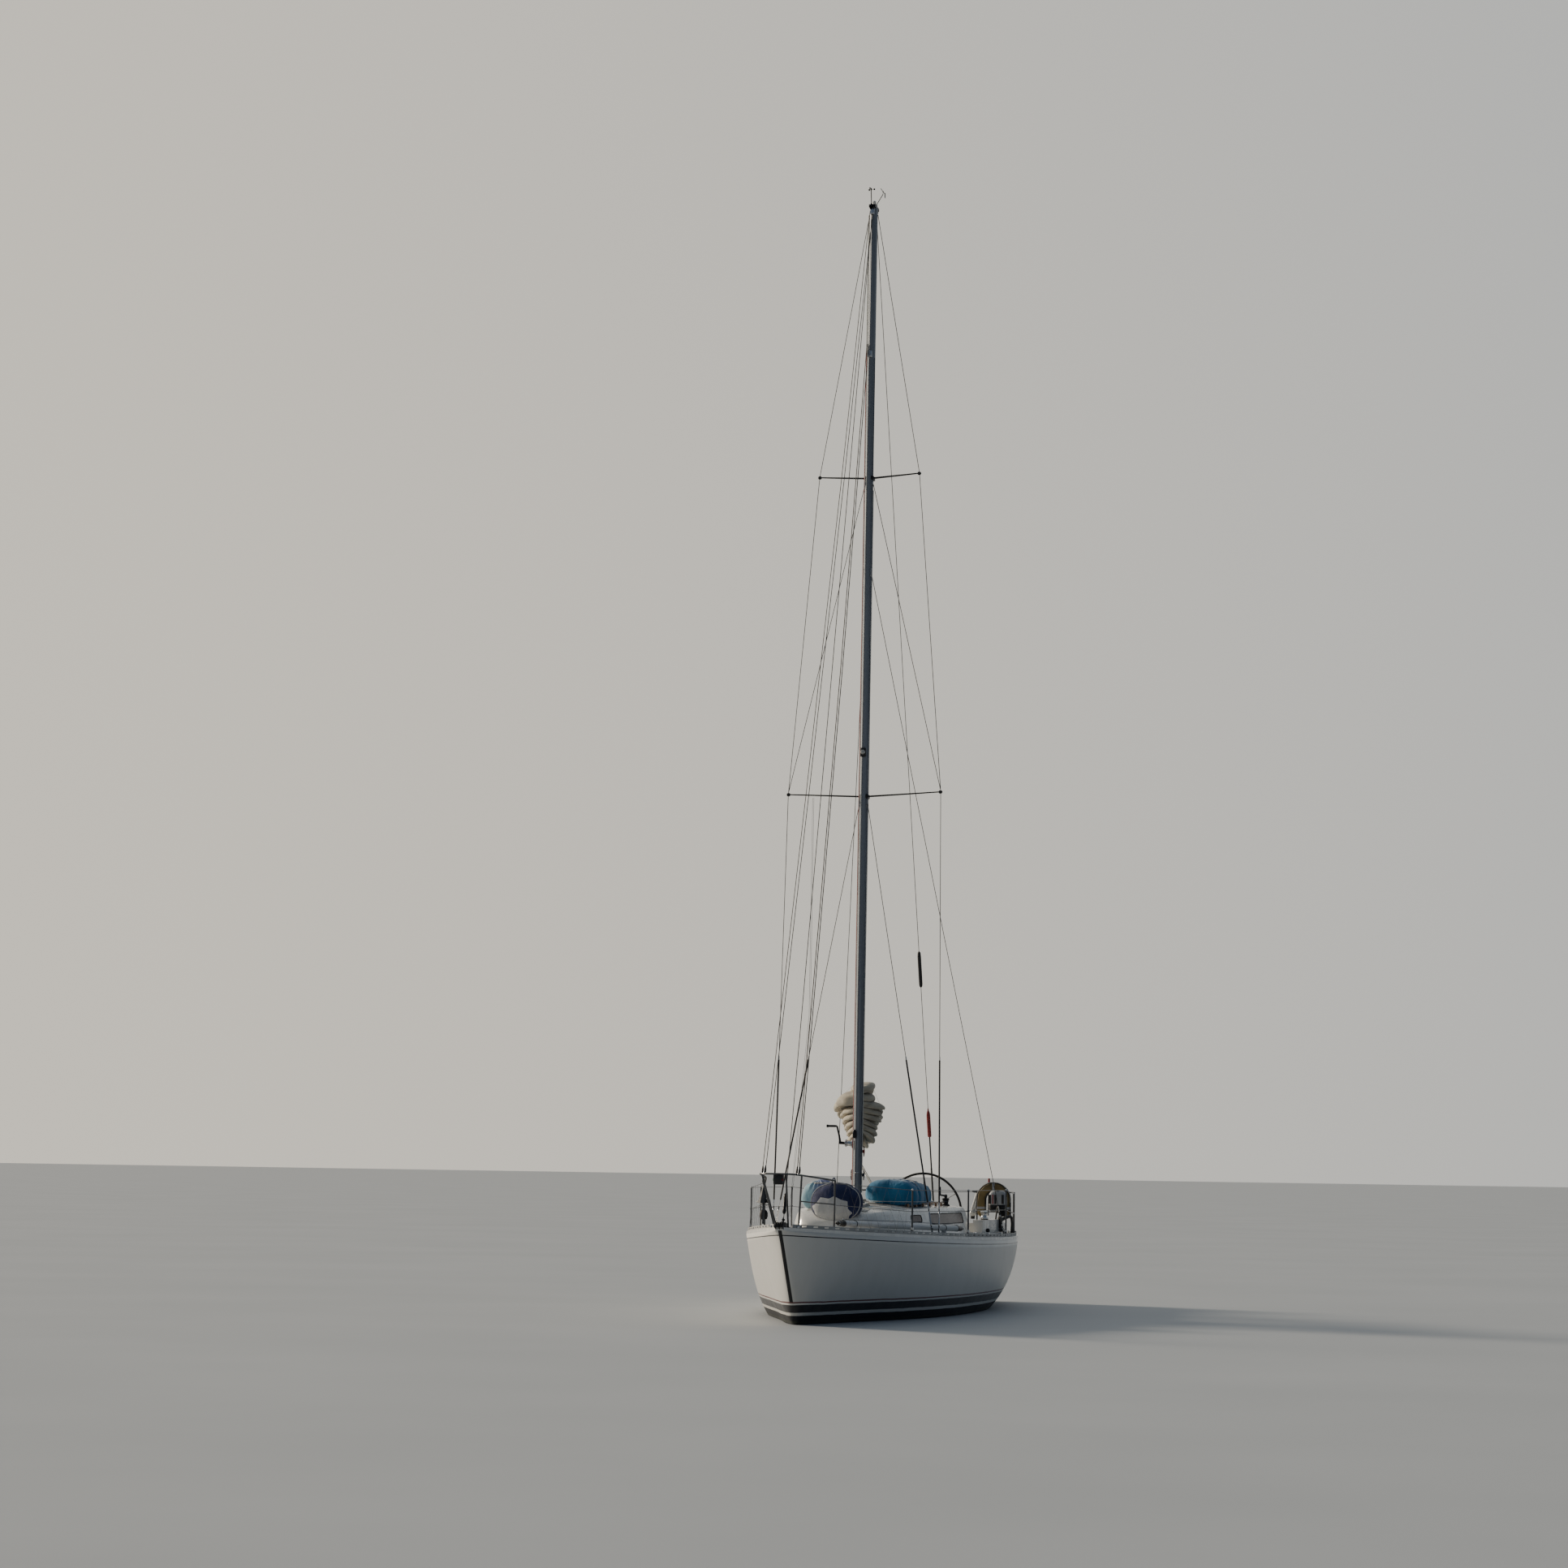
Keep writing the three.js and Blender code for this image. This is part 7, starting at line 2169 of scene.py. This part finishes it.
def add_bundle_lashings(tree, straps):
    """Webbing straps down to eyes on the roof, a cord along the hem and one laced over the top."""
    trim = Shape()
    middle = (BUNDLE["low"] + BUNDLE["high"]) / 2
    y_axis, z_axis = Vector((0, 1, 0)), up(1)
    arc = [radians(-12 + 6 * k) for k in range(35)]
    for x in straps:
        line = round_line(tree, Vector((x, middle, 1.60)), y_axis, z_axis, arc)
        line = [(p, away) for p, away in line if roof_gap(p) > 0.012]
        trim.use("black_plastic")
        strap(trim, line, Vector((1, 0, 0)), 0.036, lift=0.002)
        for spot, away in (line[0], line[-1]):
            foot = Vector((x, spot.y + 0.012 * copysign(1, away.y), 0))
            foot.z = spot.z - roof_gap(Vector((x, foot.y, spot.z)))
            trim.use("stainless").block((-0.024, -0.012, 0), (0.024, 0.012, 0.006), 0.002, at=foot)
            trim.block((-0.02, -0.004, 0.004), (0.02, 0.004, 0.022), 0.002, at=foot)
    hem = []
    for t in turns_of(72):
        away = Vector((cos(t), sin(t), 0))
        middle_spot = Vector((-0.17, middle, 1.585))
        spot, _n, _f, _d = tree.ray_cast(middle_spot + away * 1.5, -away, 1.5)
        if spot is not None:
            hem.append((spot, away))
    trim.use("turquoise")
    strap(trim, hem, z_axis, 0.030, lift=0.0005, thick=0.003, loop=True)
    trim.use("rope_white").tube([p + away * 0.006 - z_axis * 0.005 for p, away in hem], 0.0042, 7, loop=True)
    cross = []
    for k in range(19):
        share = k / 18
        x = straps[0] - 0.06 + (straps[-1] - straps[0] + 0.02) * share
        y = BUNDLE["high"] - 0.10 - 0.22 * sin(pi * share) - 0.05 * share
        spot, _n, _f, _d = tree.ray_cast(
            Vector((x, y + 0.2, 2.6)), Vector((0, -0.13, -0.65)).normalized(), 2.0,
        )
        if spot is not None:
            cross.append(spot + z_axis * 0.005)
    trim.use("pale_canvas").tube(cross, 0.0085, 8)
    seam = []
    for k in range(40):
        x = 0.43 - 1.18 * k / 39
        spot, _n, _f, _d = tree.ray_cast(Vector((x, middle - 0.04, 2.6)), -z_axis, 2.0)
        if spot is not None:
            seam.append((spot, z_axis))
    trim.use("turquoise")
    strap(trim, seam, y_axis, 0.016, lift=0.0002, thick=0.0022)
    trim.piece("tender_lashings")


BUOY = {"x": -4.405, "y": 0.965, "z": 1.592, "radius": 0.272, "hole": 0.122, "foot": 0.265, "depth": 0.090}


def add_lifebuoy():
    """The horseshoe buoy in its olive-tan cover, with dark piping round both faces, tapes and a grab line."""
    middle = (BUOY["radius"] + BUOY["hole"]) / 2
    half = (BUOY["radius"] - BUOY["hole"]) / 2 - 0.004
    deep = BUOY["depth"] / 2 - 0.004
    line = []
    leg = BUOY["foot"] - half
    for k in range(9):
        line.append((Vector((0, -middle, -leg + leg * k / 9)), Vector((0, -1, 0))))
    for k in range(25):
        t = pi - pi * k / 24
        line.append((Vector((0, middle * cos(t), middle * sin(t))), Vector((0, cos(t), sin(t)))))
    for k in range(1, 10):
        line.append((Vector((0, middle, -leg * k / 9)), Vector((0, 1, 0))))
    centre = Vector((BUOY["x"], BUOY["y"], BUOY["z"]))

    def section(spot, away, size):
        ring = []
        for t in turns_of(24):
            c, s = cos(t), sin(t)
            out = half * size * boxy(c, 0.62)
            ahead = deep * (0.3 + 0.7 * size) * boxy(s, 0.62)
            ring.append(centre + spot + away * out + Vector((ahead, 0, 0)))
        return ring

    ends = ((0.072, 0.25), (0.066, 0.55), (0.050, 0.80), (0.026, 0.95))
    rings = [section(line[0][0] - up(drop), line[0][1], size) for drop, size in ends]
    rings.extend(section(spot, away, 1.0) for spot, away in line)
    rings.extend(section(line[-1][0] - up(drop), line[-1][1], size) for drop, size in reversed(ends))
    shape = Shape("tan")
    shape.loft(rings)
    buoy = shape.object("horseshoe_buoy")

    def slack(spot):
        return -0.003 + 0.004 * wavy(spot.x * 14, spot.y * 12, spot.z * 12)

    settled(buoy, 0.0075, 0.008, pressure=3.0, rough=slack)
    trim = Shape()
    path = [line[0][0] - up(0.045), *(spot for spot, _away in line), line[-1][0] - up(0.045)]
    aways = [line[0][1], *(away for _spot, away in line), line[-1][1]]
    for face in (-1, 1):
        for edge in (-1, 1):
            rope = [centre + spot + away * (half - 0.004) * edge + Vector((face * (deep - 0.010), 0, 0))
                    for spot, away in zip(path, aways)]
            trim.use("black_plastic").tube(rope, 0.0075, 8)
    outer = [(centre + spot + away * (half - 0.002), away) for spot, away in zip(path, aways)]
    strap(trim, outer, Vector((1, 0, 0)), 0.030, lift=0.0, thick=0.004)
    for index in (3, 21, 39):
        spot, away = line[index]
        way = Vector((0, -away.z, away.y))
        ring = []
        for t in turns_of(28):
            c, s = cos(t), sin(t)
            out = (half + 0.003) * boxy(c, 0.55)
            ahead = (deep + 0.003) * boxy(s, 0.55)
            rim = centre + spot + away * out + Vector((ahead, 0, 0))
            ring.append(
                [rim + way * side for side in (-0.019, 0.019)] + [
                    rim + (away * c + Vector((s, 0, 0))) * 0.0025 + way * side
                    for side in (0.019, -0.019)
                ]
            )
        trim.use("pale_canvas").loft(ring, loop=True)
    grab = []
    for k in range(31):
        t = pi * (1.05 - 1.1 * k / 30)
        hang = 0.012 + 0.018 * abs(sin(t * 4))
        away = Vector((0, cos(t), sin(t)))
        grab.append(centre + away * (BUOY["radius"] - 0.004 + hang * 0.3) + Vector((0.02 + hang, 0, 0)))
    trim.use("rope_white").tube(grab, 0.0042, 7)
    for side, z in ((0.212, 1.710), (0.136, 1.400)):
        hook = [
            Vector((BUOY["x"] - 0.05, BUOY["y"] + side, z)),
            Vector((BUOY["x"] - 0.052, BUOY["y"] + side, z - 0.06)),
            Vector((BUOY["x"] - 0.046, BUOY["y"] + side, z - 0.07)),
        ]
        trim.use("stainless").tube(hook, 0.005, 8)
    trim.piece("horseshoe_trim")
    return cover(buoy, "tan", replaces=["lifebuoy"])


MOTOR = {"x": -3.78, "y": 1.19, "head": 1.15}


def add_motor():
    """The outboard on the port rail: cowl with vents and panels, tiller, bracket and leg down to the deck."""
    shape = Shape()
    x, y, head = MOTOR["x"], MOTOR["y"], MOTOR["head"]

    def ring(z, length, width, middle=head, count=40):
        points = []
        for t in turns_of(count):
            c, s = cos(t), sin(t)
            points.append(Vector((x + length / 2 * boxy(c, 0.5),
                                  middle + width / 2 * boxy(s, 0.5), z)))
        return points

    shape.use("black_plastic")
    shape.loft(
        [
            ring(z, a, b)
            for z, a, b in (
                (1.421, 0.150, 0.216), (1.440, 0.172, 0.258), (1.500, 0.180, 0.272), (1.520, 0.178, 0.270),
            )
        ]
    )
    shape.use("pale_plastic")
    shape.loft(
        [
            ring(z, a, b)
            for z, a, b in (
                (1.522, 0.182, 0.278), (1.560, 0.184, 0.280), (1.640, 0.180, 0.274), (1.690, 0.168, 0.252),
                (1.722, 0.146, 0.215), (1.737, 0.100, 0.155),
            )
        ]
    )
    for face in (-1, 1):
        for shift, look, wide in ((-0.112, "black_plastic", 0.042), (-0.062, "red_paint", 0.016),
                                  (-0.022, "black_plastic", 0.034), (0.092, "black_plastic", 0.036)):
            shape.use(look)
            near, far = sorted((x + face * 0.0905, x + face * 0.0945))
            side = head + shift
            shape.block((near, side - wide / 2, 1.535), (far, side + wide / 2, 1.675), 0.0015)
    for index in range(5):
        z = 1.448 + 0.012 * index
        shape.use("black_metal").block(
            (x + 0.084, head - 0.07, z), (x + 0.0935, head + 0.07, z + 0.005), 0.0015,
        )
    shape.use("black_metal").lathe(
        Vector((x + 0.05, head, 1.736)), (0, 0, 1), [(0.03, 0), (0.03, 0.002), (0.02, 0.0035)], 18,
    )
    leg = [(1.115, 0.052, 0.044), (1.20, 0.058, 0.048), (1.38, 0.058, 0.048), (1.435, 0.070, 0.062)]
    shape.use("black_metal").loft([ring(z, a, b, y, 20) for z, a, b in leg])
    rail = y + 0.10
    shape.use("black_metal").block((x - 0.048, y + 0.01, 1.345), (x + 0.048, rail, 1.425), 0.012)
    for side in (-0.03, 0.03):
        shape.use("stainless").tube([(x + side, y + 0.015, 1.40), (x + side, y - 0.055, 1.398)], 0.007, 8)
        shape.lathe(
            Vector((x + side, y - 0.055, 1.398)), (0, -1, 0), [(0.016, 0), (0.016, 0.006), (0.006, 0.008)],
            12,
        )
    tiller = [
        Vector((x + 0.085, y, 1.50)), Vector((x + 0.115, y - 0.01, 1.50)),
        Vector((x + 0.118, y - 0.03, 1.44)), Vector((x + 0.118, y - 0.05, 1.30)),
    ]
    shape.use("black_plastic").tube(smooth_line(tiller, 5), 0.013, 10)
    foot = on_deck(9250, 1285, 0)
    bends = ((0, 0, 0), (0, 0.004, 0.17), (0.05, -0.015, 0.255), (0.17, -0.075, 0.235), (0.29, -0.135, 0.20),
             (0.40, -0.120, 0.235))
    line = smooth_line([*(foot + Vector(bend) for bend in bends), Vector((x - 0.045, y + 0.02, 1.385))], 5)
    sizes = (0.024, 0.024, 0.024, 0.026, 0.030, 0.028, 0.022)
    wide = []
    for index in range(len(line)):
        at, share = index // 5, index % 5 / 5
        wide.append(sizes[min(6, at)] * (1 - share) + sizes[min(6, at + 1)] * share)
    shape.use("black_plastic").tube(line, wide, 12)
    return shape.piece("outboard", replaces=["outboard_motor"])


CABIN = {"from": 3080, "to": 7300, "sole": -278, "skin": 75}


def cabin_width(aft, z):
    """Half the cabin's width inside the hull at a height, in millimetres."""
    for point in hull_half(aft, 40):
        if point.z * 1000 >= z:
            return max(20.0, point.y * 1000 - CABIN["skin"])
    return hull_value("beam", aft) - CABIN["skin"]


def fitted(shape, aft_from, aft_to, inner, low, high, steps=8):
    """A locker between an inner side and the hull, its outer side following the hull."""
    rings = []
    for step in range(steps + 1):
        aft = aft_from + (aft_to - aft_from) * step / steps
        foot, head = (max(abs(inner) + 10, cabin_width(aft, z)) for z in (low, high))
        sign = copysign(1, inner)
        corners = ((abs(inner), low), (foot, low), (head, high), (abs(inner), high))
        rings.append([place(aft, sign * y, z) for y, z in corners])
    shape.loft(rings)


def cushion(name, aft_from, aft_to, inner, low, high):
    """A berth's mattress: crowned, with pulled-in edges, following the hull on its outer side."""
    sign = copysign(1, inner)
    rings = []
    for step in range(17):
        share = step / 16
        aft = aft_from + (aft_to - aft_from) * share
        crown = min(1.0, 9 * min(share, 1 - share)) ** 0.5
        outer = cabin_width(aft, low) - 12
        ring = []
        for t in turns_of(28):
            c, s = cos(t), sin(t)
            y = (abs(inner) + outer) / 2 + (outer - abs(inner)) / 2 * boxy(c, 0.35)
            z = (low + high) / 2 + (high - low) / 2 * boxy(s, 0.5) * (0.35 + 0.65 * crown)
            ring.append(place(aft, sign * y, z))
        rings.append(ring)
    shape = Shape("cushion")
    shape.loft(rings)
    pad = shape.object(name)

    def held(spot):
        return 1.0 if spot.z < (low + 6) / 1000 else 0.0

    def slack(spot):
        return 0.002 * wavy(spot.x * 7, spot.y * 7, spot.z * 7) - 0.004

    settled(pad, 0.022, 0.014, held=held, rough=slack)
    return cover(pad, "cushion")


BULKHEADS = ((3085, 0, 0), (4260, 300, -100), (6330, 330, -100), (7290, 290, 150))


def add_cabin():
    """Sole, bulkheads, settees, galley, chart table and mast post, and the bins under the cockpit's lids."""
    shape = Shape()
    rings = []
    for aft in range(CABIN["from"], CABIN["to"] + 1, 211):
        wide = cabin_width(aft, CABIN["sole"])
        rings.append(
            [place(aft, y, z) for y, z in ((-wide, -279), (wide, -279), (wide, -272), (-wide, -272))]
        )
    shape.use("teak").loft(rings)
    for aft, door, sill in BULKHEADS:
        for _name, sign in SIDES:
            tops = [CABIN["sole"] + (deck_top(aft, 0) - 120 - CABIN["sole"]) * k / 12 for k in range(13)]
            rings = []
            for z in tops:
                inner = max(door, 3) if z > sill else 3
                outer = max(inner + 8, cabin_width(aft, z) - 4)
                rings.append(
                    [
                        place(at, sign * y, z)
                        for at, y in ((aft, inner), (aft + 16, inner), (aft + 16, outer), (aft, outer))
                    ]
                )
            shape.use("wood").loft(rings)
    for _name, sign in SIDES:
        fitted(shape.use("wood"), 4290, 6310, sign * 520, -272, 90)
        fitted(shape.use("liner"), 6360, 7270, sign * 430, -272, 560)
        fitted(shape.use("wood"), 4290, 6310, sign * 860, 520, 860)
        fitted(shape.use("wood"), 3110, 4240, sign * 40, -272, 210)
    shape.use("stainless").block(place(6980, 470, 560), place(6560, 830, 568), 0.003)
    shape.use("black_plastic").block(place(6900, -820, 562), place(6500, -470, 590), 0.006)
    shape.use("mast_metal").tube([place(4235, 0, -275), place(4228, 0, 1440)], 0.045, 18)
    for low, high in (
        ((-3.31, 0.48, 0.36), (-2.56, 1.08, 0.79)), ((-3.31, -1.08, 0.36), (-2.56, -0.48, 0.79)),
        ((3.99, -0.13, 0.93), (4.40, 0.13, 1.235)),
    ):
        open_bin(shape.use("liner"), Vector(low), Vector(high))
    shape.piece("cabin_joinery")
    for side, sign in SIDES:
        cushion(f"settee_cushion_{side}", 4310, 6290, sign * 500, 92, 205)
        cushion(f"berth_cushion_{side}", 3190, 4220, sign * 30, 212, 310)


def open_bin(shape, low, high, wall=0.006):
    """A box open at its top, for a locker."""
    shape.block(low, (high.x, high.y, low.z + wall), 0.001)
    for x in (low.x, high.x - wall):
        shape.block((x, low.y, low.z), (x + wall, high.y, high.z), 0.001)
    for y in (low.y, high.y - wall):
        shape.block((low.x, y, low.z), (high.x, y + wall, high.z), 0.001)


SUN_FROM = Vector((-0.20, -0.93, 0.34))
# Studio surround: brightness and colour from the bright side of the sky to the side behind the camera
SKY = (
    (0.0, (0.075, 0.105, 0.155)),
    (0.35, (0.14, 0.185, 0.25)),
    (0.60, (0.48, 0.53, 0.57)),
    (0.80, (0.76, 0.76, 0.73)),
    (1.0, (1.10, 1.01, 0.86)),
)
FLOOR_SIZE = 3000


def add_stage():
    mesh = bpy.data.meshes.new("floor")
    corners = [(x * FLOOR_SIZE, y * FLOOR_SIZE, 0) for x, y in ((-1, -1), (1, -1), (1, 1), (-1, 1))]
    mesh.from_pydata(corners, [], [(0, 1, 2, 3)])
    look = Look("floor", roughness=0.75)
    look.colour(look.ramp(look.noise(0.2), ((0.3, (0.375, 0.40, 0.42)), (0.7, (0.41, 0.435, 0.455)))))
    mesh.materials.append(look.material)
    floor = bpy.data.objects.new("floor", mesh)
    bpy.context.scene.collection.objects.link(floor)

    sun = bpy.data.objects.new("key", bpy.data.lights.new("key", "SUN"))
    sun.data.energy = 4.0
    sun.data.angle = radians(9)
    sun.data.color = (1.0, 0.86, 0.68)
    sun.rotation_mode = "QUATERNION"
    sun.rotation_quaternion = SUN_FROM.to_track_quat("Z", "Y")
    bpy.context.scene.collection.objects.link(sun)
    add_sky()


def add_sky():
    """A soft surround, bright and warm toward the low light and dim and cool behind the camera."""
    world = bpy.data.worlds.new("studio")
    bpy.context.scene.world = world
    world.use_nodes = True
    tree = world.node_tree
    sky = tree.nodes["Background"]
    here = tree.nodes.new("ShaderNodeTexCoord")
    toward = tree.nodes.new("ShaderNodeVectorMath")
    toward.operation = "DOT_PRODUCT"
    bright_side = Vector((-0.62, -0.78, 0.0)).normalized()
    toward.inputs[1].default_value = bright_side
    span = tree.nodes.new("ShaderNodeMapRange")
    span.inputs["From Min"].default_value = -1.0
    ramp = tree.nodes.new("ShaderNodeValToRGB")
    while len(ramp.color_ramp.elements) < len(SKY):
        ramp.color_ramp.elements.new(0.5)
    for element, (at, colour) in zip(ramp.color_ramp.elements, SKY):
        element.position = at
        element.color = (*colour, 1)
    tree.links.new(here.outputs["Generated"], toward.inputs[0])
    tree.links.new(toward.outputs["Value"], span.inputs["Value"])
    tree.links.new(span.outputs["Result"], ramp.inputs["Fac"])
    tree.links.new(ramp.outputs["Color"], sky.inputs["Color"])
    sky.inputs["Strength"].default_value = 0.8


for build in (
    dress_kept_nodes,
    add_hull,
    add_cabin,
    add_nonskid,
    add_shroud_fittings,
    add_backstay,
    add_forestay,
    add_halyards,
    add_mast_fittings,
    add_masthead_gear,
    add_boom_fittings,
    add_sheet_lines,
    add_winches,
    add_wheel,
    add_deck_gear,
    add_lid_trim,
    add_bow_gear,
    add_netting,
    add_rail_trim,
    add_stern_gear,
    add_cockpit_gear,
    add_pole_fittings,
    add_window_seals,
    add_sail,
    add_navy_bag,
    add_turquoise_bag,
    add_bundle,
    add_lifebuoy,
    add_motor,
    add_stage,
):
    build()
